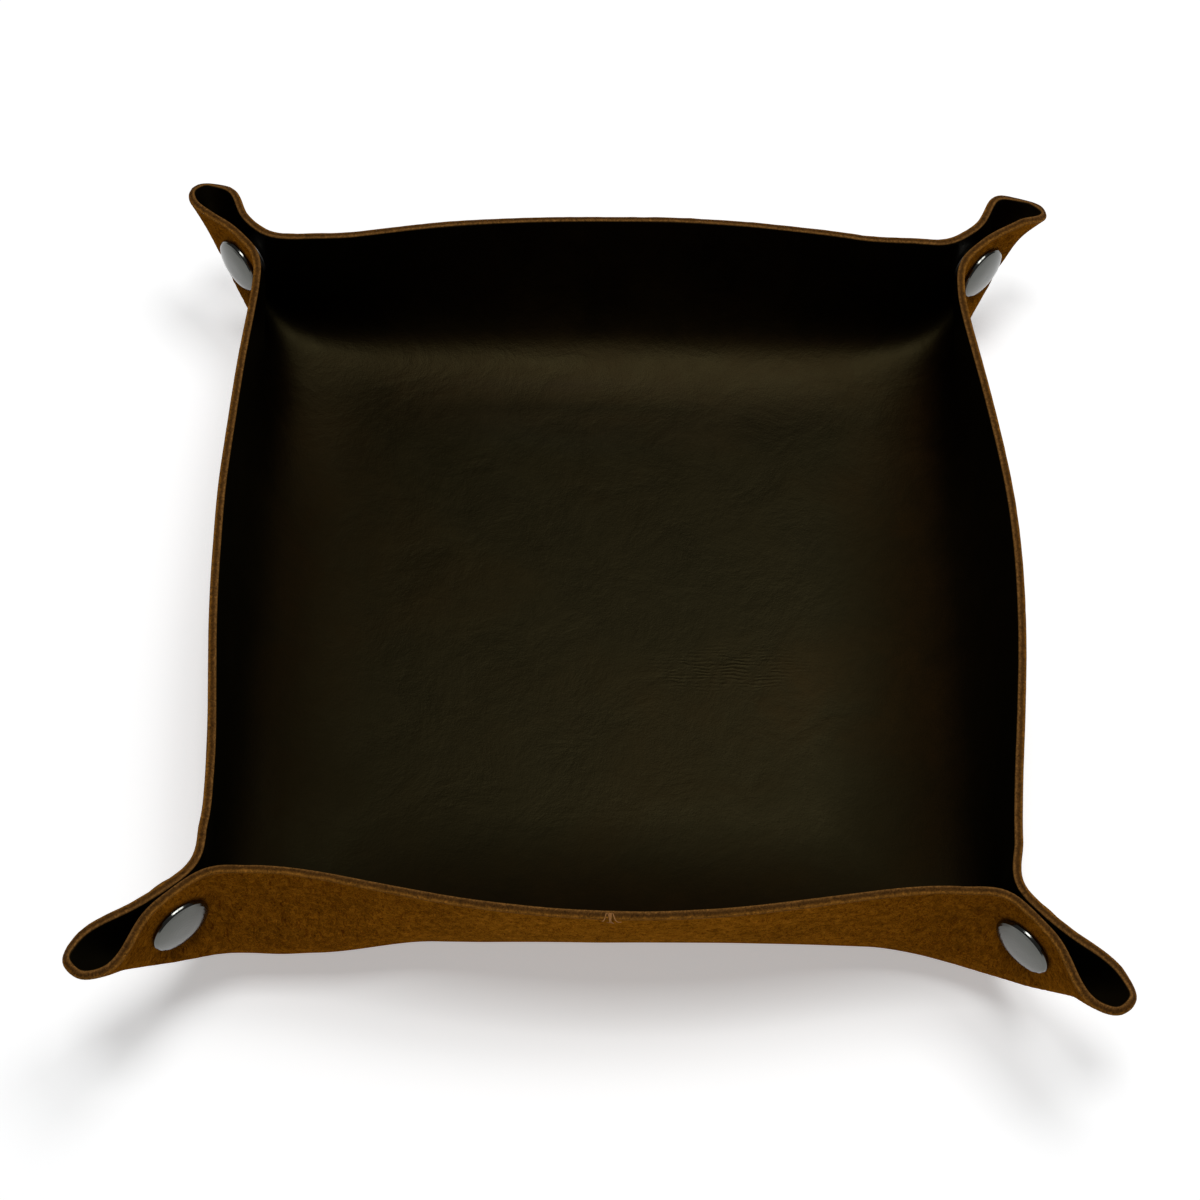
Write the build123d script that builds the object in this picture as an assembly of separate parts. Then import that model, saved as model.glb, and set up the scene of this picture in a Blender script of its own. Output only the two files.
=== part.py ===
from build123d import *
import os
import math

os.makedirs("parts", exist_ok=True)

# ---------------------------------------------------------------------------
# Snap-corner valet tray: one square sheet of leather, pinched and snapped
# together at its four corners. Millimetres, +Z up, origin at the middle of
# the underside that rests on the table, -Y is the front.
# ---------------------------------------------------------------------------
SHEET = 254.0          # side of the square sheet, laid flat
LEATHER = 2.0          # leather thickness
CORNER_R = 6.0         # rounding of the sheet's own corners
FOLD_Y = 88.0          # base/wall fold line, from the middle, on the flat sheet
CORNER_Y = 92.0        # where the fold line meets the corner diagonal
FOLD_X = 76.0          # the fold line is straight up to here
EAR_IN = 82.0          # wall/ear line at the base
EAR_OUT = 90.5         # wall/ear line at the rim
LIP_IN = 87.0          # ear/loop line at the base
LIP_OUT = 119.5        # ear/loop line at the rim
GAP = 0.40             # clearance between leather panels
EAR_TRIM = 0.35        # the ears stop this much short of the base/wall line
HOLE = (97.0, 116.0)   # snap hole on each ear, on the flat sheet
SNAP_GAP = 2.7         # space between the two plies at a closed snap
REST_R = 62.0          # radius of the flat bearing face under the floor
REST_LIFT = 0.03       # the underside clears the table by this much outside it
SEAT_IN = 7.9          # leather is flat around a snap up to this radius
SEAT_OUT = 10.5        # and back to its own shape at this radius

CAP_R = 7.5            # visible cap
CAP_H = 2.5
TUBE_R = 2.0           # tubes that pass through the leather
TUBE_IN = 1.3
HOLE_R = 2.05
SOCKET_R = 5.2
SOCKET_BORE = 3.3
STUD_R = 5.0
KNOB_R = 2.75
POST_R = 5.0

HALF = SHEET / 2

# Control net of the folded sheet's mid-surface, in hundredths of a millimetre.
# Row i, column j is the flat-pattern position u = -HALF + i * STEP, v = -HALF +
# j * STEP; the surface is the uniform cubic B-spline over this net. The sheet is
# bent without stretch, so distances on it are the same folded and flat.
NET = (
    ((-11517, -11388, 5301), (-11679, -11146, 4996), (-11573, -10731, 4912), (-11364, -10396, 4856), (-11048, -10137, 4838), (-10690, -9960, 4824), (-10323, -9803, 4813), (-9990, -9581, 4790), (-9690, -9324, 4766), (-9396, -9057, 4745), (-9186, -8717, 4724), (-9056, -8340, 4709), (-8984, -7948, 4701), (-8946, -7549, 4696), (-8953, -7148, 4696), (-8965, -6746, 4696), (-8978, -6345, 4693), (-8994, -5943, 4689), (-9026, -5543, 4685), (-9060, -5143, 4681), (-9101, -4744, 4676), (-9140, -4345, 4669), (-9179, -3946, 4661), (-9216, -3547, 4652), (-9255, -3149, 4641), (-9292, -2751, 4630), (-9323, -2353, 4617), (-9352, -1954, 4603), (-9376, -1556, 4589), (-9396, -1157, 4574), (-9415, -759, 4559), (-9431, -360, 4543), (-9449, 38, 4527), (-9466, 436, 4510), (-9477, 834, 4493), (-9485, 1233, 4476), (-9487, 1631, 4459), (-9483, 2029, 4442), (-9474, 2428, 4425), (-9466, 2826, 4407), (-9455, 3225, 4389), (-9446, 3624, 4370), (-9438, 4023, 4352), (-9427, 4422, 4332), (-9415, 4821, 4312), (-9400, 5221, 4292), (-9383, 5620, 4270), (-9363, 6020, 4248), (-9341, 6420, 4224), (-9320, 6820, 4198), (-9300, 7220, 4171), (-9283, 7619, 4142), (-9275, 8018, 4113), (-9293, 8415, 4085), (-9360, 8806, 4061), (-9509, 9177, 4042), (-9764, 9481, 4027), (-10024, 9778, 4014), (-10331, 10031, 4007), (-10690, 10201, 3999), (-11036, 10399, 3990), (-11318, 10692, 3983), (-11475, 11061, 4013), (-11501, 11475, 4080), (-11340, 11762, 4330)),
    ((-11274, -11561, 5004), (-11392, -11275, 4747), (-11449, -10895, 4550), (-11309, -10496, 4477), (-11030, -10199, 4446), (-10678, -10009, 4431), (-10315, -9851, 4419), (-9987, -9617, 4395), (-9707, -9336, 4369), (-9410, -9073, 4348), (-9209, -8727, 4327), (-9092, -8345, 4314), (-9033, -7950, 4308), (-9011, -7551, 4306), (-9015, -7150, 4306), (-9030, -6750, 4306), (-9048, -6351, 4304), (-9069, -5951, 4300), (-9096, -5552, 4296), (-9126, -5153, 4291), (-9159, -4755, 4285), (-9192, -4357, 4277), (-9224, -3958, 4268), (-9257, -3561, 4258), (-9288, -3163, 4247), (-9318, -2765, 4235), (-9345, -2367, 4222), (-9369, -1969, 4208), (-9391, -1571, 4193), (-9410, -1173, 4178), (-9427, -775, 4163), (-9442, -377, 4147), (-9458, 21, 4131), (-9471, 419, 4114), (-9482, 817, 4098), (-9489, 1216, 4081), (-9491, 1614, 4064), (-9489, 2012, 4046), (-9484, 2410, 4029), (-9478, 2809, 4011), (-9470, 3207, 3993), (-9462, 3605, 3975), (-9453, 4004, 3956), (-9444, 4402, 3937), (-9432, 4801, 3917), (-9418, 5200, 3897), (-9403, 5599, 3876), (-9383, 5998, 3853), (-9361, 6396, 3829), (-9338, 6795, 3804), (-9315, 7194, 3777), (-9295, 7593, 3748), (-9286, 7992, 3718), (-9300, 8391, 3689), (-9363, 8784, 3664), (-9508, 9158, 3645), (-9779, 9454, 3631), (-10019, 9768, 3616), (-10320, 10032, 3610), (-10671, 10210, 3602), (-11007, 10427, 3594), (-11246, 10758, 3598), (-11330, 11176, 3643), (-11204, 11532, 3813), (-11090, 11861, 4015)),
    ((-10856, -11468, 4925), (-11010, -11346, 4559), (-11163, -11061, 4276), (-11206, -10657, 4104), (-11016, -10268, 4053), (-10678, -10039, 4039), (-10266, -9950, 4030), (-10022, -9610, 3998), (-9727, -9350, 3973), (-9389, -9118, 3949), (-9230, -8738, 3929), (-9129, -8354, 3919), (-9084, -7954, 3916), (-9071, -7554, 3915), (-9079, -7154, 3916), (-9096, -6755, 3916), (-9117, -6356, 3914), (-9139, -5958, 3911), (-9163, -5560, 3906), (-9188, -5163, 3900), (-9214, -4765, 3892), (-9240, -4368, 3884), (-9267, -3970, 3874), (-9293, -3573, 3864), (-9319, -3176, 3852), (-9343, -2778, 3839), (-9365, -2381, 3826), (-9385, -1983, 3812), (-9403, -1586, 3798), (-9420, -1188, 3782), (-9435, -790, 3767), (-9449, -393, 3751), (-9462, 5, 3735), (-9474, 403, 3718), (-9483, 801, 3701), (-9489, 1199, 3685), (-9492, 1597, 3668), (-9493, 1995, 3650), (-9490, 2392, 3633), (-9486, 2790, 3615), (-9480, 3188, 3597), (-9474, 3586, 3579), (-9466, 3984, 3561), (-9458, 4382, 3542), (-9448, 4781, 3522), (-9436, 5179, 3502), (-9422, 5577, 3481), (-9403, 5975, 3459), (-9382, 6372, 3435), (-9358, 6771, 3410), (-9333, 7169, 3383), (-9311, 7568, 3354), (-9300, 7968, 3324), (-9307, 8371, 3293), (-9361, 8764, 3266), (-9455, 9175, 3247), (-9783, 9427, 3233), (-10049, 9718, 3223), (-10261, 10079, 3207), (-10666, 10200, 3210), (-10984, 10461, 3198), (-11130, 10871, 3216), (-11048, 11278, 3346), (-10876, 11594, 3575), (-10691, 11780, 3899)),
    ((-10514, -11269, 4871), (-10606, -11218, 4489), (-10758, -11119, 4112), (-10941, -10854, 3806), (-10967, -10413, 3659), (-10693, -10050, 3644), (-10301, -9949, 3629), (-10043, -9622, 3607), (-9750, -9359, 3576), (-9420, -9124, 3551), (-9260, -8749, 3532), (-9175, -8358, 3527), (-9139, -7956, 3525), (-9133, -7556, 3526), (-9144, -7157, 3527), (-9162, -6759, 3526), (-9182, -6362, 3524), (-9202, -5965, 3520), (-9222, -5568, 3514), (-9241, -5172, 3507), (-9261, -4775, 3499), (-9281, -4378, 3490), (-9302, -3982, 3479), (-9323, -3585, 3468), (-9342, -3188, 3456), (-9361, -2791, 3443), (-9378, -2394, 3430), (-9394, -1997, 3416), (-9409, -1600, 3401), (-9423, -1203, 3386), (-9436, -806, 3371), (-9449, -408, 3355), (-9459, -11, 3338), (-9469, 387, 3322), (-9477, 784, 3305), (-9483, 1182, 3288), (-9487, 1579, 3271), (-9489, 1977, 3254), (-9488, 2375, 3237), (-9486, 2772, 3219), (-9483, 3170, 3201), (-9478, 3567, 3183), (-9473, 3965, 3165), (-9467, 4362, 3146), (-9459, 4760, 3126), (-9449, 5157, 3106), (-9438, 5554, 3085), (-9422, 5951, 3064), (-9403, 6348, 3041), (-9380, 6745, 3016), (-9355, 7143, 2990), (-9333, 7542, 2962), (-9319, 7942, 2932), (-9325, 8345, 2900), (-9371, 8743, 2869), (-9479, 9138, 2847), (-9793, 9400, 2838), (-10062, 9689, 2833), (-10303, 10025, 2811), (-10680, 10170, 2816), (-10924, 10554, 2795), (-10865, 11004, 2894), (-10659, 11296, 3155), (-10475, 11449, 3501), (-10353, 11561, 3864)),
    ((-10246, -10962, 4851), (-10301, -10948, 4459), (-10362, -10940, 4065), (-10498, -10896, 3667), (-10729, -10656, 3327), (-10730, -10132, 3229), (-10272, -9965, 3259), (-10019, -9698, 3197), (-9739, -9415, 3179), (-9379, -9188, 3136), (-9302, -8749, 3138), (-9227, -8358, 3136), (-9200, -7954, 3137), (-9196, -7556, 3137), (-9207, -7158, 3137), (-9223, -6762, 3135), (-9240, -6367, 3132), (-9255, -5971, 3126), (-9269, -5576, 3120), (-9282, -5180, 3112), (-9296, -4785, 3103), (-9310, -4389, 3094), (-9325, -3993, 3083), (-9339, -3597, 3072), (-9353, -3200, 3060), (-9366, -2804, 3047), (-9379, -2408, 3033), (-9391, -2011, 3019), (-9403, -1614, 3005), (-9414, -1217, 2990), (-9425, -821, 2974), (-9435, -424, 2958), (-9445, -27, 2942), (-9453, 371, 2926), (-9460, 768, 2909), (-9466, 1165, 2892), (-9470, 1562, 2875), (-9473, 1959, 2858), (-9474, 2357, 2841), (-9474, 2754, 2823), (-9473, 3151, 2805), (-9471, 3548, 2787), (-9468, 3945, 2768), (-9465, 4342, 2749), (-9460, 4738, 2730), (-9454, 5135, 2710), (-9446, 5531, 2689), (-9435, 5928, 2668), (-9420, 6324, 2646), (-9401, 6720, 2622), (-9380, 7116, 2597), (-9359, 7513, 2570), (-9347, 7912, 2541), (-9349, 8316, 2508), (-9395, 8710, 2475), (-9429, 9155, 2430), (-9778, 9405, 2437), (-10035, 9710, 2419), (-10270, 9995, 2440), (-10712, 10203, 2402), (-10683, 10733, 2436), (-10430, 11004, 2739), (-10273, 11095, 3122), (-10188, 11159, 3509), (-10114, 11231, 3893)),
    ((-10058, -10609, 4834), (-10102, -10601, 4441), (-10125, -10606, 4048), (-10127, -10628, 3655), (-10202, -10678, 3241), (-10502, -10448, 2826), (-10460, -9887, 2816), (-10159, -9593, 2836), (-9858, -9346, 2802), (-9568, -9083, 2765), (-9400, -8726, 2756), (-9310, -8341, 2751), (-9271, -7948, 2749), (-9261, -7553, 2748), (-9266, -7159, 2745), (-9274, -6765, 2742), (-9283, -6371, 2737), (-9292, -5977, 2731), (-9298, -5583, 2723), (-9305, -5189, 2715), (-9311, -4794, 2706), (-9319, -4399, 2696), (-9328, -4003, 2686), (-9336, -3608, 2675), (-9345, -3212, 2663), (-9354, -2816, 2650), (-9363, -2420, 2637), (-9371, -2024, 2623), (-9380, -1628, 2609), (-9389, -1232, 2594), (-9397, -835, 2579), (-9405, -439, 2563), (-9413, -42, 2547), (-9420, 355, 2531), (-9426, 751, 2514), (-9432, 1148, 2497), (-9437, 1545, 2480), (-9440, 1942, 2463), (-9443, 2339, 2445), (-9445, 2735, 2428), (-9447, 3132, 2410), (-9447, 3529, 2391), (-9447, 3925, 2372), (-9447, 4321, 2353), (-9446, 4717, 2334), (-9444, 5113, 2314), (-9441, 5509, 2293), (-9436, 5904, 2272), (-9428, 6299, 2250), (-9417, 6693, 2227), (-9403, 7088, 2203), (-9391, 7482, 2178), (-9388, 7877, 2150), (-9409, 8272, 2120), (-9475, 8661, 2090), (-9618, 9028, 2061), (-9893, 9309, 2066), (-10180, 9577, 2069), (-10467, 9888, 2015), (-10474, 10450, 1964), (-10155, 10717, 2347), (-10076, 10712, 2768), (-10070, 10741, 3161), (-10035, 10792, 3549), (-9981, 10855, 3936)),
    ((-9887, -10249, 4819), (-9932, -10244, 4425), (-10025, -10196, 4031), (-10018, -10239, 3632), (-10018, -10222, 3259), (-9937, -10433, 2827), (-10176, -10146, 2444), (-10157, -9674, 2391), (-9942, -9322, 2403), (-9687, -9032, 2388), (-9508, -8694, 2371), (-9398, -8324, 2363), (-9343, -7940, 2359), (-9319, -7551, 2355), (-9310, -7160, 2350), (-9307, -6769, 2345), (-9305, -6377, 2339), (-9303, -5984, 2333), (-9301, -5591, 2325), (-9301, -5197, 2317), (-9301, -4803, 2309), (-9302, -4409, 2299), (-9305, -4014, 2289), (-9309, -3619, 2278), (-9314, -3224, 2266), (-9318, -2829, 2254), (-9323, -2433, 2242), (-9328, -2038, 2228), (-9334, -1642, 2214), (-9341, -1246, 2200), (-9347, -850, 2185), (-9353, -454, 2169), (-9360, -57, 2154), (-9366, 339, 2137), (-9372, 735, 2121), (-9377, 1132, 2104), (-9382, 1528, 2087), (-9386, 1925, 2070), (-9391, 2321, 2052), (-9394, 2717, 2034), (-9398, 3114, 2016), (-9401, 3510, 1997), (-9403, 3906, 1978), (-9406, 4301, 1958), (-9409, 4697, 1938), (-9412, 5092, 1918), (-9414, 5487, 1897), (-9416, 5881, 1875), (-9417, 6275, 1853), (-9416, 6668, 1830), (-9416, 7060, 1807), (-9418, 7452, 1783), (-9432, 7841, 1758), (-9474, 8228, 1731), (-9567, 8602, 1704), (-9729, 8950, 1686), (-9971, 9252, 1669), (-10170, 9611, 1622), (-10163, 10091, 1625), (-9909, 10401, 1982), (-10017, 10252, 2442), (-10017, 10312, 2806), (-10027, 10322, 3209), (-9921, 10417, 3589), (-9873, 10473, 3978)),
    ((-9645, -9931, 4794), (-9681, -9929, 4398), (-9678, -9963, 4001), (-9690, -9983, 3611), (-9740, -9982, 3199), (-9630, -10143, 2848), (-9699, -10152, 2401), (-9858, -9854, 2073), (-9854, -9423, 1979), (-9723, -9040, 1973), (-9570, -8684, 1973), (-9457, -8317, 1968), (-9386, -7938, 1962), (-9345, -7553, 1957), (-9320, -7165, 1951), (-9302, -6775, 1946), (-9288, -6384, 1940), (-9277, -5992, 1935), (-9268, -5600, 1928), (-9260, -5207, 1921), (-9256, -4813, 1913), (-9252, -4419, 1904), (-9250, -4025, 1895), (-9250, -3630, 1885), (-9250, -3236, 1874), (-9251, -2841, 1862), (-9253, -2446, 1850), (-9256, -2050, 1837), (-9260, -1655, 1824), (-9264, -1260, 1810), (-9269, -864, 1795), (-9274, -468, 1780), (-9279, -72, 1765), (-9284, 324, 1749), (-9290, 720, 1733), (-9295, 1116, 1716), (-9300, 1512, 1699), (-9305, 1908, 1681), (-9310, 2304, 1663), (-9315, 2700, 1645), (-9320, 3096, 1626), (-9325, 3491, 1607), (-9329, 3887, 1588), (-9334, 4282, 1568), (-9340, 4677, 1547), (-9347, 5072, 1526), (-9354, 5466, 1503), (-9362, 5859, 1481), (-9371, 6252, 1458), (-9381, 6644, 1434), (-9395, 7035, 1410), (-9414, 7425, 1386), (-9446, 7811, 1360), (-9505, 8192, 1334), (-9607, 8563, 1305), (-9750, 8923, 1272), (-9874, 9307, 1241), (-9861, 9748, 1292), (-9687, 10068, 1598), (-9627, 10099, 2045), (-9751, 9990, 2408), (-9699, 10038, 2818), (-9695, 10060, 3208), (-9707, 10072, 3608), (-9683, 10120, 4001)),
    ((-9358, -9658, 4769), (-9375, -9678, 4373), (-9392, -9692, 3976), (-9405, -9714, 3580), (-9434, -9726, 3182), (-9363, -9861, 2809), (-9336, -9956, 2412), (-9424, -9875, 1983), (-9521, -9538, 1713), (-9520, -9134, 1605), (-9462, -8734, 1573), (-9392, -8343, 1565), (-9334, -7955, 1561), (-9289, -7567, 1557), (-9255, -7177, 1554), (-9229, -6787, 1551), (-9207, -6395, 1547), (-9190, -6003, 1543), (-9176, -5611, 1538), (-9165, -5217, 1532), (-9156, -4824, 1526), (-9149, -4430, 1518), (-9144, -4036, 1510), (-9141, -3642, 1500), (-9139, -3248, 1490), (-9138, -2853, 1480), (-9138, -2458, 1468), (-9139, -2063, 1456), (-9141, -1668, 1443), (-9144, -1273, 1430), (-9148, -877, 1416), (-9151, -482, 1401), (-9156, -86, 1386), (-9160, 309, 1370), (-9165, 705, 1354), (-9170, 1101, 1338), (-9175, 1497, 1321), (-9180, 1892, 1303), (-9185, 2288, 1285), (-9190, 2684, 1266), (-9196, 3079, 1247), (-9201, 3475, 1228), (-9207, 3870, 1208), (-9214, 4265, 1187), (-9221, 4660, 1166), (-9230, 5054, 1144), (-9239, 5448, 1121), (-9251, 5841, 1097), (-9264, 6234, 1072), (-9281, 6626, 1046), (-9301, 7017, 1019), (-9329, 7408, 992), (-9365, 7797, 964), (-9417, 8185, 936), (-9481, 8575, 909), (-9538, 8975, 902), (-9535, 9390, 968), (-9424, 9742, 1219), (-9341, 9851, 1643), (-9382, 9797, 2044), (-9465, 9712, 2429), (-9436, 9749, 2825), (-9438, 9767, 3221), (-9436, 9786, 3617), (-9442, 9810, 4016)),
    ((-9060, -9395, 4746), (-9077, -9411, 4350), (-9119, -9392, 3952), (-9122, -9426, 3554), (-9175, -9390, 3138), (-9078, -9594, 2771), (-9030, -9721, 2395), (-9035, -9759, 1979), (-9115, -9550, 1611), (-9160, -9193, 1399), (-9158, -8797, 1296), (-9136, -8395, 1246), (-9110, -7995, 1219), (-9084, -7597, 1205), (-9059, -7201, 1198), (-9036, -6807, 1194), (-9016, -6413, 1190), (-9000, -6019, 1186), (-8985, -5625, 1182), (-8974, -5231, 1177), (-8964, -4837, 1171), (-8956, -4443, 1164), (-8950, -4048, 1157), (-8946, -3654, 1149), (-8943, -3259, 1139), (-8941, -2865, 1129), (-8940, -2470, 1118), (-8940, -2075, 1107), (-8941, -1680, 1095), (-8943, -1285, 1082), (-8946, -889, 1068), (-8949, -494, 1054), (-8952, -98, 1040), (-8956, 297, 1024), (-8959, 693, 1009), (-8963, 1088, 993), (-8968, 1484, 976), (-8973, 1880, 959), (-8977, 2275, 941), (-8982, 2671, 922), (-8988, 3066, 904), (-8993, 3461, 884), (-8999, 3856, 864), (-9005, 4252, 843), (-9012, 4646, 822), (-9020, 5041, 799), (-9029, 5436, 776), (-9040, 5830, 752), (-9052, 6224, 727), (-9067, 6618, 702), (-9084, 7012, 676), (-9103, 7408, 652), (-9126, 7805, 633), (-9150, 8206, 624), (-9173, 8609, 634), (-9176, 9012, 695), (-9124, 9388, 877), (-9045, 9605, 1242), (-9057, 9591, 1656), (-9118, 9506, 2040), (-9228, 9353, 2425), (-9185, 9422, 2837), (-9201, 9419, 3238), (-9167, 9492, 3637), (-9165, 9519, 4034)),
    ((-8710, -9200, 4725), (-8718, -9233, 4330), (-8729, -9261, 3933), (-8737, -9297, 3537), (-8734, -9346, 3144), (-8711, -9450, 2763), (-8680, -9563, 2379), (-8671, -9621, 1979), (-8713, -9503, 1582), (-8763, -9199, 1305), (-8779, -8823, 1155), (-8776, -8428, 1068), (-8767, -8029, 1010), (-8756, -7628, 973), (-8742, -7229, 949), (-8729, -6831, 933), (-8716, -6434, 922), (-8704, -6037, 913), (-8693, -5642, 906), (-8684, -5246, 899), (-8675, -4851, 891), (-8668, -4456, 884), (-8663, -4061, 876), (-8659, -3665, 867), (-8656, -3270, 858), (-8654, -2875, 848), (-8654, -2480, 837), (-8653, -2085, 826), (-8654, -1689, 814), (-8656, -1294, 802), (-8657, -898, 789), (-8660, -503, 776), (-8662, -107, 762), (-8665, 288, 748), (-8668, 684, 733), (-8671, 1080, 718), (-8674, 1475, 702), (-8678, 1871, 686), (-8682, 2266, 669), (-8686, 2662, 652), (-8690, 3058, 633), (-8695, 3453, 615), (-8699, 3849, 596), (-8704, 4244, 577), (-8710, 4640, 557), (-8715, 5035, 536), (-8722, 5431, 516), (-8729, 5827, 495), (-8737, 6223, 475), (-8746, 6620, 457), (-8756, 7018, 441), (-8766, 7418, 432), (-8776, 7819, 433), (-8786, 8221, 450), (-8792, 8621, 494), (-8776, 9010, 605), (-8724, 9330, 867), (-8693, 9450, 1265), (-8716, 9415, 1665), (-8753, 9352, 2059), (-8778, 9311, 2454), (-8786, 9321, 2848), (-8783, 9340, 3246), (-8781, 9369, 3644), (-8777, 9407, 4043)),
    ((-8334, -9065, 4709), (-8333, -9124, 4317), (-8339, -9176, 3924), (-8341, -9232, 3533), (-8339, -9290, 3144), (-8322, -9379, 2759), (-8305, -9469, 2372), (-8298, -9522, 1975), (-8320, -9446, 1574), (-8360, -9183, 1261), (-8383, -8825, 1079), (-8389, -8440, 969), (-8388, -8046, 891), (-8384, -7649, 834), (-8377, -7250, 793), (-8370, -6851, 763), (-8362, -6453, 740), (-8355, -6055, 722), (-8348, -5658, 707), (-8341, -5261, 695), (-8335, -4864, 684), (-8331, -4468, 673), (-8327, -4072, 663), (-8323, -3676, 652), (-8321, -3280, 642), (-8320, -2884, 631), (-8320, -2489, 620), (-8319, -2093, 609), (-8320, -1697, 597), (-8321, -1301, 586), (-8322, -905, 574), (-8324, -510, 562), (-8325, -114, 549), (-8327, 282, 537), (-8329, 678, 523), (-8332, 1074, 510), (-8334, 1470, 495), (-8337, 1865, 481), (-8339, 2261, 466), (-8342, 2657, 450), (-8345, 3053, 434), (-8348, 3449, 418), (-8351, 3845, 402), (-8354, 4241, 386), (-8358, 4638, 370), (-8361, 5034, 354), (-8365, 5431, 339), (-8369, 5829, 325), (-8374, 6227, 312), (-8378, 6625, 304), (-8384, 7025, 301), (-8389, 7425, 305), (-8394, 7825, 322), (-8397, 8224, 356), (-8393, 8617, 422), (-8372, 8991, 571), (-8335, 9265, 879), (-8326, 9344, 1279), (-8342, 9320, 1677), (-8362, 9287, 2073), (-8382, 9273, 2467), (-8387, 9294, 2860), (-8388, 9318, 3255), (-8384, 9350, 3650), (-8384, 9384, 4045)),
    ((-7937, -8988, 4700), (-7935, -9075, 4312), (-7937, -9146, 3923), (-7938, -9212, 3534), (-7935, -9279, 3146), (-7928, -9353, 2759), (-7919, -9426, 2368), (-7916, -9464, 1971), (-7929, -9401, 1570), (-7959, -9164, 1237), (-7983, -8819, 1031), (-7994, -8442, 904), (-7997, -8054, 812), (-7997, -7660, 742), (-7995, -7263, 687), (-7991, -6865, 645), (-7987, -6467, 611), (-7983, -6069, 583), (-7979, -5671, 561), (-7975, -5273, 542), (-7971, -4876, 525), (-7968, -4479, 510), (-7966, -4082, 496), (-7964, -3686, 483), (-7963, -3289, 471), (-7962, -2893, 459), (-7961, -2496, 447), (-7961, -2100, 436), (-7962, -1704, 425), (-7962, -1307, 414), (-7963, -911, 404), (-7963, -515, 393), (-7964, -119, 382), (-7965, 277, 371), (-7967, 673, 360), (-7968, 1070, 348), (-7969, 1466, 336), (-7971, 1862, 324), (-7973, 2258, 312), (-7974, 2654, 299), (-7976, 3051, 287), (-7978, 3447, 274), (-7979, 3844, 262), (-7981, 4241, 250), (-7983, 4638, 239), (-7985, 5035, 228), (-7987, 5433, 219), (-7989, 5831, 211), (-7991, 6230, 207), (-7994, 6629, 206), (-7997, 7028, 212), (-7999, 7428, 226), (-8001, 7826, 253), (-7999, 8222, 300), (-7991, 8609, 384), (-7970, 8970, 562), (-7948, 9217, 890), (-7945, 9293, 1288), (-7954, 9290, 1686), (-7966, 9281, 2082), (-7976, 9290, 2476), (-7983, 9317, 2868), (-7986, 9351, 3261), (-7987, 9391, 3654), (-7990, 9436, 4048)),
    ((-7533, -8995, 4701), (-7534, -9075, 4315), (-7537, -9151, 3926), (-7538, -9220, 3538), (-7537, -9287, 3149), (-7533, -9353, 2759), (-7529, -9411, 2365), (-7529, -9434, 1967), (-7537, -9381, 1562), (-7560, -9145, 1225), (-7582, -8812, 1001), (-7595, -8440, 859), (-7602, -8056, 756), (-7604, -7665, 676), (-7605, -7270, 612), (-7604, -6874, 561), (-7602, -6477, 518), (-7600, -6079, 483), (-7597, -5681, 453), (-7595, -5283, 428), (-7593, -4886, 406), (-7591, -4488, 386), (-7590, -4091, 369), (-7589, -3693, 353), (-7588, -3296, 339), (-7587, -2899, 326), (-7587, -2502, 315), (-7587, -2106, 304), (-7587, -1709, 294), (-7587, -1312, 284), (-7587, -916, 275), (-7587, -519, 266), (-7587, -123, 257), (-7588, 274, 248), (-7588, 670, 240), (-7588, 1067, 231), (-7589, 1463, 222), (-7590, 1860, 213), (-7590, 2256, 204), (-7591, 2653, 195), (-7592, 3050, 186), (-7592, 3446, 178), (-7593, 3844, 170), (-7594, 4241, 162), (-7595, 4638, 155), (-7596, 5036, 149), (-7597, 5434, 145), (-7598, 5833, 142), (-7600, 6231, 142), (-7601, 6630, 147), (-7603, 7029, 157), (-7604, 7428, 177), (-7603, 7824, 210), (-7599, 8217, 267), (-7589, 8601, 367), (-7572, 8952, 565), (-7560, 9189, 899), (-7559, 9280, 1291), (-7564, 9302, 1689), (-7571, 9312, 2085), (-7579, 9332, 2479), (-7585, 9366, 2872), (-7589, 9408, 3263), (-7593, 9456, 3655), (-7599, 9509, 4048)),
    ((-7129, -9015, 4705), (-7134, -9101, 4319), (-7137, -9176, 3931), (-7139, -9245, 3541), (-7140, -9308, 3151), (-7139, -9365, 2759), (-7138, -9408, 2363), (-7140, -9413, 1964), (-7146, -9340, 1568), (-7164, -9125, 1222), (-7183, -8802, 983), (-7196, -8436, 828), (-7204, -8055, 715), (-7209, -7666, 627), (-7211, -7274, 557), (-7211, -6879, 500), (-7211, -6483, 451), (-7210, -6086, 411), (-7208, -5688, 376), (-7207, -5291, 346), (-7206, -4893, 320), (-7205, -4495, 297), (-7204, -4097, 276), (-7203, -3700, 259), (-7203, -3302, 243), (-7202, -2905, 230), (-7202, -2507, 219), (-7201, -2110, 209), (-7201, -1713, 201), (-7200, -1316, 193), (-7200, -919, 186), (-7199, -522, 179), (-7199, -125, 172), (-7199, 272, 166), (-7199, 668, 160), (-7199, 1065, 155), (-7199, 1462, 149), (-7199, 1858, 143), (-7199, 2255, 138), (-7199, 2652, 133), (-7199, 3049, 128), (-7199, 3446, 123), (-7200, 3844, 119), (-7200, 4241, 115), (-7201, 4639, 112), (-7201, 5037, 110), (-7202, 5435, 108), (-7203, 5833, 108), (-7204, 6232, 110), (-7205, 6630, 114), (-7206, 7028, 126), (-7206, 7426, 147), (-7204, 7821, 186), (-7198, 8212, 251), (-7188, 8593, 364), (-7176, 8937, 574), (-7170, 9175, 906), (-7171, 9286, 1292), (-7174, 9333, 1688), (-7179, 9360, 2084), (-7185, 9391, 2478), (-7190, 9430, 2871), (-7195, 9477, 3263), (-7200, 9529, 3654), (-7206, 9585, 4046)),
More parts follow.
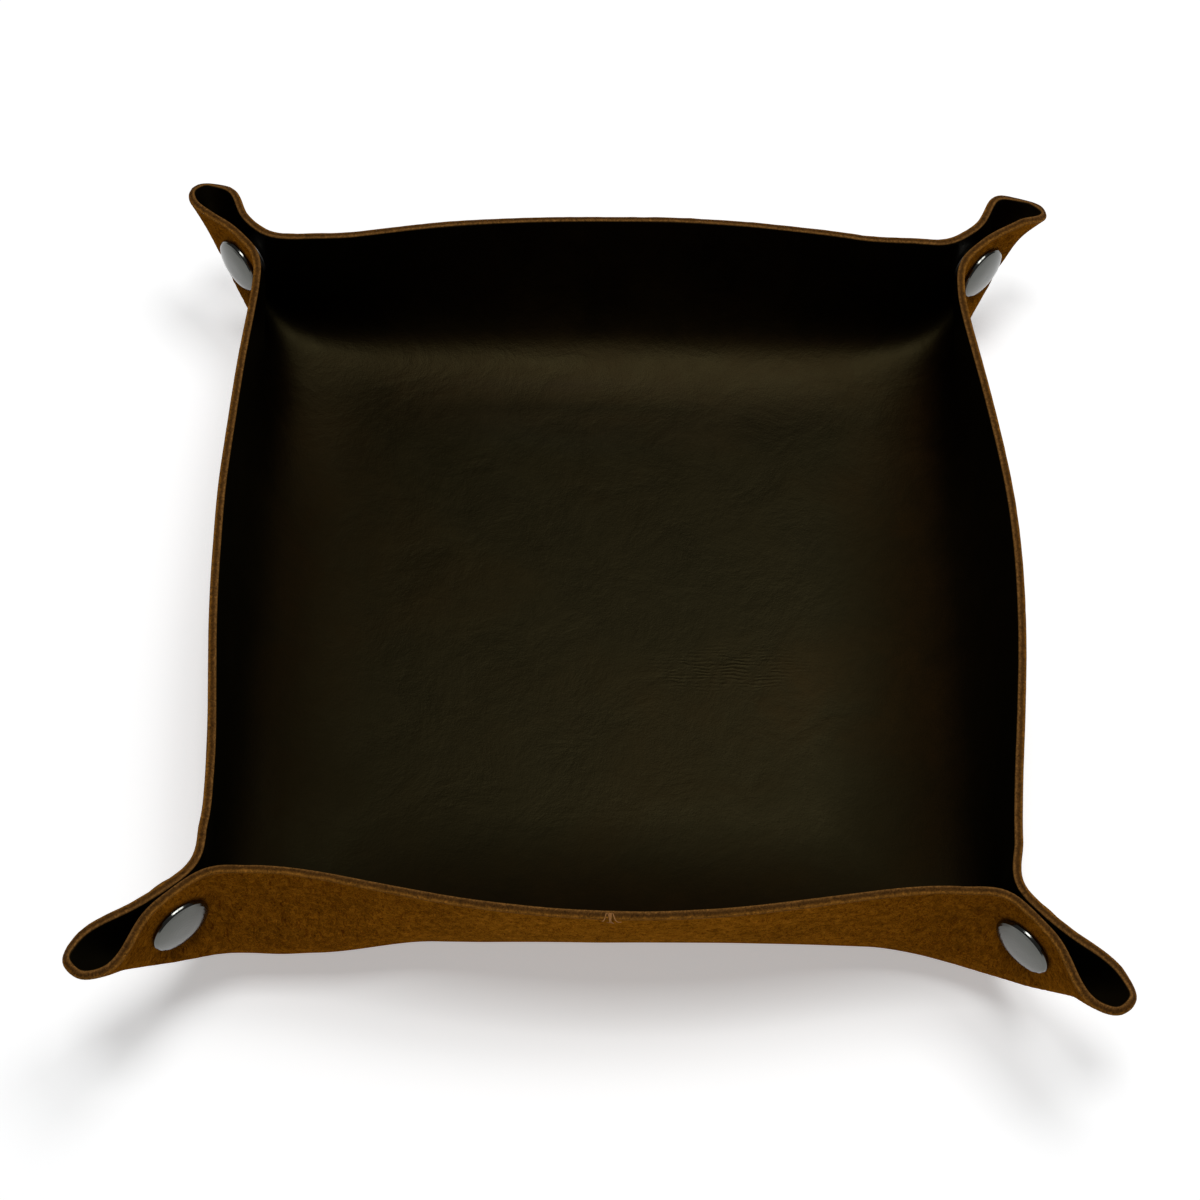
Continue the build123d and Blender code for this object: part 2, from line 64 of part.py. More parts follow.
    ((-6729, -9075, 4711), (-6735, -9147, 4323), (-6739, -9216, 3934), (-6742, -9279, 3543), (-6744, -9336, 3152), (-6745, -9383, 2758), (-6746, -9411, 2361), (-6749, -9400, 1962), (-6754, -9316, 1569), (-6767, -9107, 1221), (-6784, -8791, 972), (-6797, -8430, 806), (-6806, -8052, 685), (-6811, -7666, 591), (-6814, -7275, 516), (-6816, -6882, 454), (-6816, -6486, 402), (-6816, -6090, 358), (-6816, -5693, 320), (-6815, -5295, 287), (-6814, -4898, 259), (-6813, -4500, 234), (-6813, -4102, 212), (-6812, -3704, 194), (-6811, -3306, 179), (-6811, -2909, 167), (-6810, -2511, 156), (-6809, -2113, 148), (-6808, -1716, 142), (-6807, -1319, 136), (-6807, -921, 132), (-6806, -524, 127), (-6805, -127, 123), (-6805, 270, 120), (-6804, 667, 117), (-6804, 1064, 114), (-6804, 1461, 111), (-6804, 1858, 108), (-6804, 2255, 106), (-6803, 2652, 104), (-6803, 3049, 102), (-6804, 3446, 101), (-6804, 3844, 99), (-6804, 4241, 98), (-6805, 4639, 97), (-6805, 5037, 97), (-6806, 5435, 97), (-6807, 5833, 97), (-6808, 6231, 98), (-6808, 6629, 101), (-6808, 7026, 110), (-6807, 7423, 132), (-6804, 7818, 174), (-6798, 8207, 247), (-6789, 8585, 370), (-6781, 8926, 586), (-6778, 9167, 913), (-6781, 9298, 1293), (-6784, 9368, 1685), (-6789, 9414, 2080), (-6793, 9454, 2474), (-6797, 9498, 2867), (-6802, 9549, 3259), (-6807, 9605, 3651), (-6813, 9665, 4042)),
    ((-6330, -9135, 4716), (-6337, -9201, 4327), (-6342, -9262, 3936), (-6346, -9318, 3544), (-6349, -9367, 3150), (-6352, -9403, 2755), (-6354, -9417, 2357), (-6357, -9392, 1959), (-6362, -9299, 1569), (-6372, -9092, 1221), (-6386, -8781, 966), (-6398, -8424, 791), (-6407, -8049, 663), (-6413, -7664, 563), (-6417, -7275, 484), (-6420, -6882, 419), (-6421, -6488, 365), (-6421, -6092, 319), (-6421, -5695, 280), (-6420, -5298, 246), (-6420, -4901, 217), (-6419, -4503, 191), (-6418, -4105, 170), (-6418, -3707, 152), (-6417, -3309, 138), (-6416, -2911, 128), (-6415, -2514, 120), (-6414, -2116, 115), (-6413, -1718, 110), (-6412, -1321, 108), (-6411, -923, 105), (-6410, -526, 104), (-6409, -129, 102), (-6409, 268, 101), (-6408, 665, 100), (-6408, 1063, 99), (-6408, 1460, 98), (-6407, 1857, 97), (-6407, 2254, 98), (-6407, 2651, 98), (-6407, 3048, 99), (-6407, 3446, 99), (-6408, 3843, 99), (-6408, 4241, 99), (-6408, 4638, 100), (-6409, 5036, 100), (-6409, 5434, 100), (-6410, 5832, 100), (-6411, 6229, 100), (-6411, 6627, 98), (-6410, 7024, 104), (-6408, 7420, 125), (-6405, 7814, 170), (-6399, 8203, 249), (-6392, 8579, 379), (-6386, 8917, 598), (-6386, 9163, 920), (-6389, 9310, 1294), (-6393, 9400, 1682), (-6397, 9463, 2075), (-6401, 9514, 2469), (-6405, 9565, 2862), (-6409, 9619, 3254), (-6414, 9678, 3645), (-6419, 9740, 4036)),
    ((-5933, -9211, 4719), (-5940, -9262, 4328), (-5946, -9313, 3936), (-5951, -9360, 3542), (-5955, -9399, 3148), (-5958, -9424, 2751), (-5961, -9425, 2353), (-5964, -9388, 1957), (-5968, -9287, 1569), (-5977, -9080, 1222), (-5988, -8772, 963), (-5999, -8418, 782), (-6008, -8045, 647), (-6015, -7662, 542), (-6019, -7274, 458), (-6022, -6882, 391), (-6024, -6488, 336), (-6025, -6093, 289), (-6025, -5697, 250), (-6025, -5300, 216), (-6024, -4902, 188), (-6023, -4505, 164), (-6023, -4107, 143), (-6022, -3709, 128), (-6021, -3311, 116), (-6020, -2913, 108), (-6019, -2515, 104), (-6018, -2118, 101), (-6016, -1720, 99), (-6015, -1322, 98), (-6015, -925, 98), (-6014, -528, 98), (-6013, -130, 99), (-6013, 267, 99), (-6012, 664, 99), (-6012, 1062, 100), (-6011, 1459, 100), (-6011, 1856, 100), (-6011, 2253, 100), (-6011, 2650, 100), (-6011, 3048, 100), (-6011, 3445, 100), (-6011, 3843, 100), (-6012, 4240, 100), (-6012, 4638, 100), (-6012, 5035, 99), (-6013, 5433, 99), (-6013, 5830, 99), (-6013, 6227, 100), (-6013, 6624, 99), (-6012, 7021, 103), (-6009, 7417, 124), (-6006, 7811, 172), (-6001, 8198, 256), (-5995, 8573, 391), (-5992, 8910, 611), (-5993, 9161, 928), (-5997, 9320, 1296), (-6001, 9427, 1680), (-6005, 9505, 2071), (-6009, 9568, 2463), (-6013, 9627, 2855), (-6017, 9686, 3247), (-6021, 9748, 3638), (-6025, 9813, 4028)),
    ((-5537, -9288, 4721), (-5544, -9327, 4328), (-5550, -9367, 3934), (-5555, -9403, 3539), (-5560, -9431, 3144), (-5564, -9445, 2747), (-5567, -9435, 2349), (-5570, -9387, 1954), (-5575, -9279, 1568), (-5581, -9070, 1223), (-5591, -8763, 962), (-5601, -8411, 777), (-5609, -8041, 636), (-5616, -7659, 526), (-5621, -7272, 438), (-5625, -6881, 368), (-5627, -6488, 312), (-5628, -6093, 265), (-5628, -5697, 226), (-5628, -5300, 194), (-5628, -4903, 167), (-5627, -4506, 145), (-5626, -4108, 127), (-5625, -3710, 114), (-5624, -3312, 105), (-5623, -2914, 101), (-5622, -2517, 99), (-5621, -2119, 99), (-5620, -1721, 99), (-5619, -1324, 100), (-5618, -926, 100), (-5617, -529, 100), (-5617, -131, 100), (-5616, 266, 100), (-5616, 663, 100), (-5615, 1060, 100), (-5615, 1458, 100), (-5615, 1855, 99), (-5615, 2252, 100), (-5615, 2650, 100), (-5615, 3047, 100), (-5615, 3444, 100), (-5615, 3842, 100), (-5615, 4239, 100), (-5616, 4636, 100), (-5616, 5034, 100), (-5616, 5431, 100), (-5616, 5828, 100), (-5616, 6225, 100), (-5615, 6622, 99), (-5614, 7018, 103), (-5611, 7414, 126), (-5608, 7808, 176), (-5603, 8194, 264), (-5599, 8568, 403), (-5597, 8904, 623), (-5599, 9159, 936), (-5603, 9329, 1299), (-5608, 9449, 1679), (-5612, 9541, 2066), (-5616, 9616, 2457), (-5620, 9683, 2848), (-5623, 9748, 3239), (-5627, 9815, 3630), (-5630, 9884, 4020)),
    ((-5142, -9367, 4719), (-5149, -9394, 4325), (-5155, -9422, 3930), (-5160, -9446, 3535), (-5165, -9464, 3138), (-5169, -9467, 2741), (-5173, -9446, 2344), (-5176, -9389, 1950), (-5180, -9274, 1567), (-5186, -9062, 1224), (-5194, -8756, 963), (-5203, -8405, 775), (-5211, -8036, 629), (-5218, -7657, 514), (-5223, -7270, 422), (-5227, -6880, 350), (-5229, -6487, 291), (-5231, -6093, 245), (-5231, -5697, 207), (-5231, -5300, 177), (-5231, -4903, 152), (-5230, -4506, 133), (-5230, -4108, 118), (-5229, -3711, 107), (-5228, -3313, 101), (-5227, -2915, 99), (-5226, -2518, 100), (-5225, -2120, 100), (-5224, -1722, 100), (-5223, -1325, 100), (-5222, -927, 100), (-5221, -530, 100), (-5221, -133, 100), (-5220, 265, 100), (-5220, 662, 100), (-5219, 1059, 100), (-5219, 1457, 100), (-5219, 1854, 100), (-5219, 2251, 100), (-5219, 2649, 100), (-5219, 3046, 100), (-5219, 3443, 100), (-5219, 3841, 100), (-5219, 4238, 100), (-5219, 4635, 100), (-5219, 5032, 99), (-5219, 5429, 100), (-5219, 5826, 99), (-5219, 6223, 100), (-5217, 6620, 98), (-5216, 7016, 104), (-5213, 7412, 129), (-5210, 7805, 182), (-5206, 8191, 274), (-5203, 8563, 416), (-5202, 8900, 635), (-5205, 9159, 944), (-5209, 9337, 1302), (-5214, 9468, 1678), (-5218, 9571, 2063), (-5222, 9657, 2451), (-5226, 9732, 2841), (-5229, 9804, 3231), (-5232, 9876, 3621), (-5235, 9948, 4010)),
    ((-4747, -9447, 4715), (-4754, -9461, 4320), (-4760, -9477, 3925), (-4765, -9491, 3529), (-4770, -9497, 3132), (-4774, -9490, 2735), (-4778, -9459, 2338), (-4782, -9393, 1946), (-4786, -9272, 1565), (-4791, -9056, 1225), (-4798, -8749, 965), (-4806, -8399, 775), (-4813, -8032, 625), (-4820, -7654, 505), (-4825, -7269, 409), (-4829, -6879, 334), (-4832, -6486, 274), (-4833, -6092, 227), (-4834, -5696, 191), (-4834, -5300, 162), (-4834, -4903, 140), (-4833, -4506, 124), (-4833, -4109, 111), (-4832, -3711, 104), (-4831, -3313, 100), (-4830, -2916, 100), (-4829, -2518, 100), (-4828, -2121, 100), (-4827, -1723, 100), (-4826, -1326, 100), (-4826, -928, 100), (-4825, -531, 100), (-4824, -133, 100), (-4824, 264, 100), (-4823, 661, 100), (-4823, 1059, 100), (-4823, 1456, 100), (-4822, 1853, 100), (-4822, 2250, 100), (-4822, 2648, 100), (-4822, 3045, 100), (-4822, 3442, 100), (-4822, 3839, 100), (-4822, 4237, 100), (-4823, 4634, 100), (-4823, 5031, 100), (-4822, 5428, 100), (-4822, 5825, 100), (-4821, 6221, 100), (-4820, 6618, 98), (-4818, 7014, 106), (-4816, 7410, 133), (-4813, 7802, 190), (-4810, 8188, 284), (-4807, 8560, 427), (-4807, 8897, 646), (-4811, 9159, 952), (-4815, 9343, 1306), (-4820, 9484, 1678), (-4824, 9598, 2060), (-4828, 9693, 2446), (-4831, 9777, 2834), (-4834, 9856, 3223), (-4837, 9933, 3612), (-4840, 10010, 4000)),
    ((-4353, -9524, 4709), (-4359, -9527, 4314), (-4365, -9531, 3918), (-4370, -9534, 3521), (-4375, -9531, 3124), (-4379, -9513, 2728), (-4383, -9473, 2332), (-4387, -9400, 1941), (-4391, -9273, 1562), (-4395, -9051, 1225), (-4401, -8743, 968), (-4409, -8394, 776), (-4416, -8028, 622), (-4422, -7651, 498), (-4427, -7267, 398), (-4431, -6878, 320), (-4434, -6486, 259), (-4436, -6091, 212), (-4437, -5696, 176), (-4437, -5300, 150), (-4437, -4903, 130), (-4436, -4506, 117), (-4436, -4108, 107), (-4435, -3711, 102), (-4434, -3314, 99), (-4433, -2916, 100), (-4432, -2519, 100), (-4431, -2121, 100), (-4431, -1724, 100), (-4430, -1326, 100), (-4429, -929, 100), (-4428, -532, 100), (-4428, -134, 100), (-4427, 263, 100), (-4427, 660, 100), (-4427, 1058, 100), (-4426, 1455, 100), (-4426, 1852, 100), (-4426, 2250, 100), (-4426, 2647, 100), (-4426, 3044, 100), (-4426, 3441, 100), (-4426, 3838, 100), (-4426, 4235, 100), (-4426, 4632, 100), (-4426, 5029, 100), (-4425, 5426, 100), (-4425, 5823, 100), (-4424, 6219, 100), (-4423, 6616, 98), (-4421, 7012, 108), (-4419, 7408, 138), (-4416, 7800, 198), (-4414, 8185, 295), (-4412, 8557, 439), (-4412, 8894, 656), (-4416, 9159, 958), (-4420, 9350, 1310), (-4425, 9498, 1679), (-4429, 9621, 2057), (-4433, 9725, 2441), (-4436, 9818, 2827), (-4439, 9903, 3214), (-4442, 9985, 3602), (-4444, 10068, 3990)),
    ((-3958, -9594, 4702), (-3964, -9588, 4306), (-3970, -9583, 3910), (-3975, -9577, 3513), (-3980, -9564, 3116), (-3984, -9537, 2720), (-3988, -9489, 2325), (-3992, -9409, 1935), (-3995, -9279, 1556), (-3999, -9047, 1225), (-4005, -8737, 970), (-4012, -8389, 777), (-4019, -8024, 620), (-4025, -7648, 491), (-4030, -7265, 388), (-4034, -6877, 307), (-4036, -6485, 245), (-4038, -6091, 198), (-4039, -5695, 164), (-4039, -5299, 139), (-4039, -4902, 122), (-4039, -4505, 111), (-4038, -4108, 104), (-4038, -3711, 101), (-4037, -3314, 99), (-4036, -2916, 100), (-4035, -2519, 100), (-4035, -2122, 100), (-4034, -1724, 100), (-4033, -1327, 100), (-4033, -930, 99), (-4032, -532, 100), (-4031, -135, 100), (-4031, 262, 100), (-4031, 660, 100), (-4030, 1057, 100), (-4030, 1454, 100), (-4030, 1851, 100), (-4030, 2249, 100), (-4030, 2646, 100), (-4029, 3043, 100), (-4029, 3440, 100), (-4029, 3837, 100), (-4029, 4234, 100), (-4029, 4631, 100), (-4029, 5028, 99), (-4029, 5425, 100), (-4028, 5821, 99), (-4027, 6218, 100), (-4026, 6614, 99), (-4024, 7011, 111), (-4022, 7406, 144), (-4019, 7798, 206), (-4017, 8183, 305), (-4016, 8554, 449), (-4017, 8892, 665), (-4021, 9160, 965), (-4025, 9355, 1313), (-4029, 9511, 1679), (-4034, 9641, 2055), (-4037, 9754, 2436), (-4041, 9853, 2820), (-4044, 9945, 3206), (-4046, 10034, 3593), (-4048, 10121, 3979)),
    ((-3564, -9662, 4693), (-3569, -9646, 4297), (-3575, -9632, 3901), (-3580, -9616, 3505), (-3584, -9594, 3108), (-3588, -9560, 2712), (-3592, -9504, 2318), (-3596, -9417, 1930), (-3599, -9279, 1553), (-3603, -9042, 1226), (-3609, -8732, 973), (-3616, -8384, 778), (-3622, -8020, 618), (-3627, -7646, 485), (-3632, -7264, 379), (-3636, -6876, 296), (-3639, -6484, 232), (-3640, -6090, 186), (-3641, -5695, 152), (-3642, -5298, 129), (-3642, -4902, 115), (-3642, -4505, 107), (-3641, -4108, 102), (-3641, -3711, 100), (-3640, -3314, 100), (-3639, -2916, 100), (-3639, -2519, 100), (-3638, -2122, 100), (-3637, -1725, 100), (-3637, -1327, 100), (-3636, -930, 100), (-3636, -533, 99), (-3635, -135, 100), (-3635, 262, 100), (-3634, 659, 100), (-3634, 1056, 100), (-3634, 1453, 100), (-3633, 1851, 100), (-3633, 2248, 100), (-3633, 2645, 100), (-3633, 3042, 100), (-3633, 3439, 100), (-3633, 3836, 100), (-3633, 4233, 100), (-3632, 4630, 100), (-3632, 5027, 100), (-3632, 5423, 100), (-3631, 5820, 100), (-3630, 6216, 99), (-3629, 6613, 100), (-3627, 7009, 114), (-3625, 7404, 149), (-3623, 7796, 214), (-3622, 8180, 315), (-3621, 8551, 459), (-3622, 8891, 673), (-3625, 9161, 971), (-3630, 9361, 1316), (-3634, 9522, 1680), (-3638, 9659, 2053), (-3641, 9779, 2432), (-3645, 9885, 2814), (-3648, 9983, 3199), (-3650, 10076, 3584), (-3652, 10168, 3970)),
    ((-3168, -9721, 4683), (-3174, -9698, 4288), (-3179, -9677, 3892), (-3184, -9653, 3496), (-3188, -9623, 3100), (-3193, -9580, 2705), (-3196, -9517, 2312), (-3200, -9422, 1925), (-3203, -9271, 1555), (-3208, -9036, 1228), (-3213, -8726, 974), (-3219, -8380, 778), (-3225, -8018, 614), (-3230, -7644, 479), (-3235, -7262, 370), (-3238, -6875, 285), (-3241, -6483, 221), (-3243, -6089, 174), (-3244, -5694, 142), (-3244, -5298, 121), (-3244, -4901, 109), (-3244, -4504, 103), (-3244, -4107, 100), (-3243, -3710, 100), (-3243, -3313, 100), (-3242, -2916, 100), (-3242, -2519, 100), (-3241, -2122, 100), (-3241, -1725, 100), (-3240, -1328, 100), (-3239, -930, 100), (-3239, -533, 100), (-3238, -136, 100), (-3238, 261, 100), (-3238, 658, 100), (-3237, 1056, 100), (-3237, 1453, 100), (-3237, 1850, 100), (-3237, 2247, 100), (-3237, 2644, 100), (-3236, 3041, 100), (-3236, 3438, 100), (-3236, 3835, 100), (-3236, 4232, 100), (-3236, 4629, 100), (-3235, 5025, 100), (-3235, 5422, 99), (-3234, 5819, 100), (-3233, 6215, 99), (-3232, 6612, 101), (-3230, 7008, 117), (-3229, 7403, 155), (-3227, 7794, 222), (-3226, 8178, 324), (-3225, 8549, 469), (-3227, 8889, 681), (-3230, 9162, 977), (-3234, 9365, 1320), (-3238, 9531, 1681), (-3242, 9674, 2052), (-3245, 9800, 2428), (-3248, 9912, 2809), (-3251, 10015, 3192), (-3254, 10113, 3577), (-3255, 10210, 3961)),
    ((-2772, -9775, 4673), (-2777, -9745, 4278), (-2782, -9716, 3883), (-2787, -9685, 3488), (-2792, -9647, 3092), (-2796, -9597, 2698), (-2800, -9526, 2307), (-2803, -9432, 1919), (-2807, -9267, 1554), (-2812, -9031, 1229), (-2817, -8721, 974), (-2823, -8376, 775), (-2829, -8015, 609), (-2834, -7643, 471), (-2838, -7262, 360), (-2841, -6874, 274), (-2844, -6483, 209), (-2845, -6089, 164), (-2846, -5693, 133), (-2847, -5297, 114), (-2847, -4901, 104), (-2847, -4504, 100), (-2846, -4107, 99), (-2846, -3710, 100), (-2846, -3313, 100), (-2845, -2916, 100), (-2845, -2519, 100), (-2844, -2122, 100), (-2844, -1725, 100), (-2843, -1328, 100), (-2843, -931, 100), (-2842, -533, 100), (-2842, -136, 100), (-2842, 261, 100), (-2841, 658, 100), (-2841, 1055, 100), (-2841, 1452, 100), (-2840, 1849, 100), (-2840, 2246, 100), (-2840, 2643, 100), (-2840, 3040, 100), (-2840, 3437, 100), (-2840, 3834, 100), (-2839, 4231, 100), (-2839, 4628, 100), (-2839, 5024, 100), (-2838, 5421, 100), (-2837, 5818, 100), (-2837, 6214, 99), (-2835, 6611, 102), (-2834, 7007, 120), (-2832, 7402, 160), (-2831, 7793, 229), (-2830, 8177, 333), (-2830, 8548, 477), (-2831, 8888, 689), (-2834, 9162, 982), (-2838, 9369, 1323), (-2841, 9539, 1682), (-2845, 9687, 2051), (-2848, 9817, 2426), (-2852, 9934, 2805), (-2854, 10042, 3187), (-2856, 10144, 3570), (-2858, 10245, 3953)),
    ((-2375, -9821, 4663), (-2381, -9785, 4269), (-2386, -9750, 3874), (-2391, -9711, 3479), (-2395, -9666, 3085), (-2399, -9607, 2692), (-2403, -9528, 2303), (-2407, -9419, 1920), (-2411, -9260, 1554), (-2416, -9025, 1228), (-2421, -8717, 972), (-2427, -8373, 772), (-2432, -8013, 603), (-2437, -7642, 463), (-2441, -7261, 351), (-2444, -6874, 263), (-2446, -6482, 199), (-2448, -6088, 154), (-2449, -5693, 126), (-2449, -5296, 109), (-2449, -4900, 101), (-2449, -4503, 99), (-2449, -4106, 100), (-2449, -3710, 100), (-2448, -3313, 100), (-2448, -2916, 100), (-2448, -2519, 100), (-2447, -2122, 100), (-2447, -1725, 100), (-2446, -1328, 100), (-2446, -931, 100), (-2446, -534, 100), (-2445, -137, 100), (-2445, 261, 100), (-2445, 658, 100), (-2444, 1055, 100), (-2444, 1452, 100), (-2444, 1849, 100), (-2444, 2246, 100), (-2443, 2643, 100), (-2443, 3040, 100), (-2443, 3437, 100), (-2443, 3833, 100), (-2443, 4230, 100), (-2442, 4627, 100), (-2442, 5023, 100), (-2441, 5420, 100), (-2441, 5817, 100), (-2440, 6213, 99), (-2439, 6610, 103), (-2438, 7006, 123), (-2436, 7401, 165), (-2435, 7791, 236), (-2434, 8175, 340), (-2434, 8546, 485), (-2436, 8887, 695), (-2438, 9163, 987), (-2442, 9372, 1326), (-2445, 9545, 1683), (-2448, 9697, 2051), (-2452, 9831, 2424), (-2454, 9952, 2802), (-2457, 10064, 3183), (-2459, 10170, 3565), (-2461, 10275, 3947)),
    ((-1978, -9860, 4654), (-1983, -9820, 4260), (-1988, -9778, 3866), (-1993, -9733, 3472), (-1998, -9680, 3078), (-2002, -9614, 2687), (-2006, -9526, 2300), (-2010, -9412, 1919), (-2015, -9253, 1554), (-2020, -9020, 1227), (-2025, -8714, 969), (-2031, -8371, 767), (-2036, -8012, 596), (-2040, -7641, 455), (-2044, -7261, 341), (-2047, -6874, 253), (-2049, -6482, 190), (-2050, -6088, 146), (-2051, -5692, 120), (-2051, -5296, 105), (-2052, -4899, 100), (-2052, -4503, 99), (-2052, -4106, 100), (-2052, -3709, 100), (-2051, -3312, 100), (-2051, -2916, 100), (-2051, -2519, 100), (-2050, -2122, 100), (-2050, -1725, 100), (-2050, -1328, 100), (-2049, -931, 100), (-2049, -534, 100), (-2049, -137, 100), (-2048, 260, 100), (-2048, 657, 100), (-2048, 1054, 100), (-2047, 1451, 100), (-2047, 1848, 100), (-2047, 2245, 100), (-2047, 2642, 100), (-2047, 3039, 100), (-2047, 3436, 100), (-2046, 3833, 100), (-2046, 4229, 100), (-2046, 4626, 100), (-2045, 5023, 100), (-2045, 5419, 100), (-2044, 5816, 100), (-2043, 6212, 98), (-2042, 6609, 104), (-2041, 7005, 125), (-2040, 7400, 170), (-2039, 7790, 242), (-2039, 8173, 347), (-2039, 8544, 491), (-2040, 8886, 701), (-2043, 9163, 991), (-2046, 9375, 1329), (-2049, 9551, 1685), (-2052, 9705, 2051), (-2054, 9842, 2423), (-2057, 9966, 2800), (-2059, 10082, 3180), (-2062, 10192, 3561), (-2063, 10299, 3942)),
    ((-1581, -9896, 4644), (-1586, -9849, 4251), (-1591, -9802, 3857), (-1596, -9750, 3464), (-1600, -9691, 3072), (-1605, -9618, 2682), (-1609, -9525, 2296), (-1613, -9407, 1917), (-1618, -9248, 1552), (-1624, -9016, 1224), (-1629, -8711, 965), (-1635, -8370, 761), (-1639, -8011, 589), (-1644, -7641, 446), (-1647, -7261, 331), (-1650, -6874, 243), (-1651, -6482, 181), (-1653, -6087, 139), (-1653, -5692, 115), (-1654, -5295, 103), (-1654, -4899, 99), (-1654, -4502, 100), (-1654, -4106, 100), (-1654, -3709, 100), (-1654, -3312, 100), (-1654, -2915, 100), (-1654, -2519, 100), (-1653, -2122, 100), (-1653, -1725, 100), (-1653, -1328, 100), (-1652, -931, 100), (-1652, -534, 100), (-1652, -137, 100), (-1652, 260, 100), (-1651, 657, 100), (-1651, 1054, 100), (-1651, 1451, 100), (-1651, 1848, 100), (-1650, 2245, 100), (-1650, 2642, 100), (-1650, 3039, 100), (-1650, 3435, 100), (-1650, 3832, 100), (-1649, 4229, 100), (-1649, 4625, 100), (-1649, 5022, 100), (-1648, 5419, 99), (-1648, 5815, 100), (-1647, 6212, 98), (-1646, 6608, 105), (-1645, 7005, 128), (-1644, 7399, 174), (-1644, 7789, 247), (-1643, 8172, 353), (-1643, 8543, 497), (-1644, 8886, 706), (-1647, 9164, 994), (-1649, 9377, 1331), (-1652, 9555, 1686), (-1655, 9712, 2051), (-1657, 9851, 2423), (-1660, 9978, 2798), (-1662, 10096, 3177), (-1664, 10209, 3557), (-1666, 10319, 3938)),
    ((-1183, -9926, 4635), (-1188, -9874, 4242), (-1193, -9821, 3850), (-1198, -9763, 3457), (-1203, -9698, 3066), (-1207, -9620, 2677), (-1212, -9524, 2292), (-1217, -9403, 1914), (-1222, -9243, 1549), (-1227, -9012, 1221), (-1233, -8709, 960), (-1238, -8368, 754), (-1243, -8011, 581), (-1247, -7641, 436), (-1250, -7261, 321), (-1253, -6874, 234), (-1254, -6482, 173), (-1255, -6087, 133), (-1256, -5691, 111), (-1256, -5295, 101), (-1257, -4898, 99), (-1257, -4502, 100), (-1257, -4105, 100), (-1257, -3708, 100), (-1257, -3312, 100), (-1257, -2915, 100), (-1256, -2518, 100), (-1256, -2121, 100), (-1256, -1725, 100), (-1256, -1328, 100), (-1256, -931, 100), (-1255, -534, 100), (-1255, -137, 100), (-1255, 260, 100), (-1255, 657, 100), (-1254, 1054, 100), (-1254, 1451, 100), (-1254, 1848, 100), (-1254, 2245, 100), (-1254, 2642, 100), (-1253, 3038, 100), (-1253, 3435, 100), (-1253, 3832, 100), (-1253, 4228, 100), (-1252, 4625, 100), (-1252, 5022, 100), (-1252, 5418, 100), (-1251, 5815, 100), (-1250, 6211, 98), (-1250, 6608, 106), (-1249, 7004, 130), (-1248, 7398, 177), (-1248, 7788, 252), (-1248, 8171, 358), (-1248, 8542, 502), (-1249, 8885, 710), (-1250, 9164, 998), (-1253, 9379, 1333), (-1255, 9559, 1688), (-1258, 9717, 2052), (-1260, 9859, 2422), (-1262, 9988, 2797), (-1264, 10107, 3176), (-1266, 10221, 3555), (-1268, 10333, 3936)),
    ((-785, -9949, 4627), (-790, -9892, 4235), (-795, -9834, 3842), (-800, -9773, 3451), (-805, -9703, 3060), (-810, -9622, 2672), (-815, -9523, 2288), (-820, -9401, 1910), (-825, -9240, 1545), (-831, -9010, 1217), (-837, -8707, 955), (-842, -8367, 748), (-847, -8011, 573), (-850, -7641, 427), (-853, -7261, 311), (-855, -6874, 225), (-857, -6481, 165), (-858, -6087, 128), (-858, -5691, 107), (-859, -5294, 100), (-859, -4898, 99), (-859, -4501, 100), (-859, -4105, 100), (-859, -3708, 99), (-859, -3311, 100), (-859, -2915, 100), (-859, -2518, 100), (-859, -2121, 100), (-859, -1724, 100), (-859, -1328, 100), (-859, -931, 100), (-859, -534, 100), (-858, -137, 100), (-858, 260, 100), (-858, 657, 100), (-858, 1054, 100), (-858, 1451, 100), (-857, 1848, 100), (-857, 2244, 100), (-857, 2641, 100), (-857, 3038, 100), (-856, 3435, 100), (-856, 3831, 100), (-856, 4228, 100), (-856, 4625, 99), (-855, 5021, 100), (-855, 5418, 99), (-855, 5814, 100), (-854, 6211, 99), (-854, 6608, 107), (-853, 7004, 132), (-853, 7398, 180), (-852, 7788, 255), (-852, 8171, 362), (-852, 8542, 506), (-853, 8885, 713), (-854, 9165, 1000), (-856, 9380, 1335), (-858, 9561, 1689), (-860, 9721, 2052), (-862, 9865, 2422), (-864, 9995, 2797), (-866, 10115, 3175), (-868, 10231, 3554), (-869, 10344, 3934)),
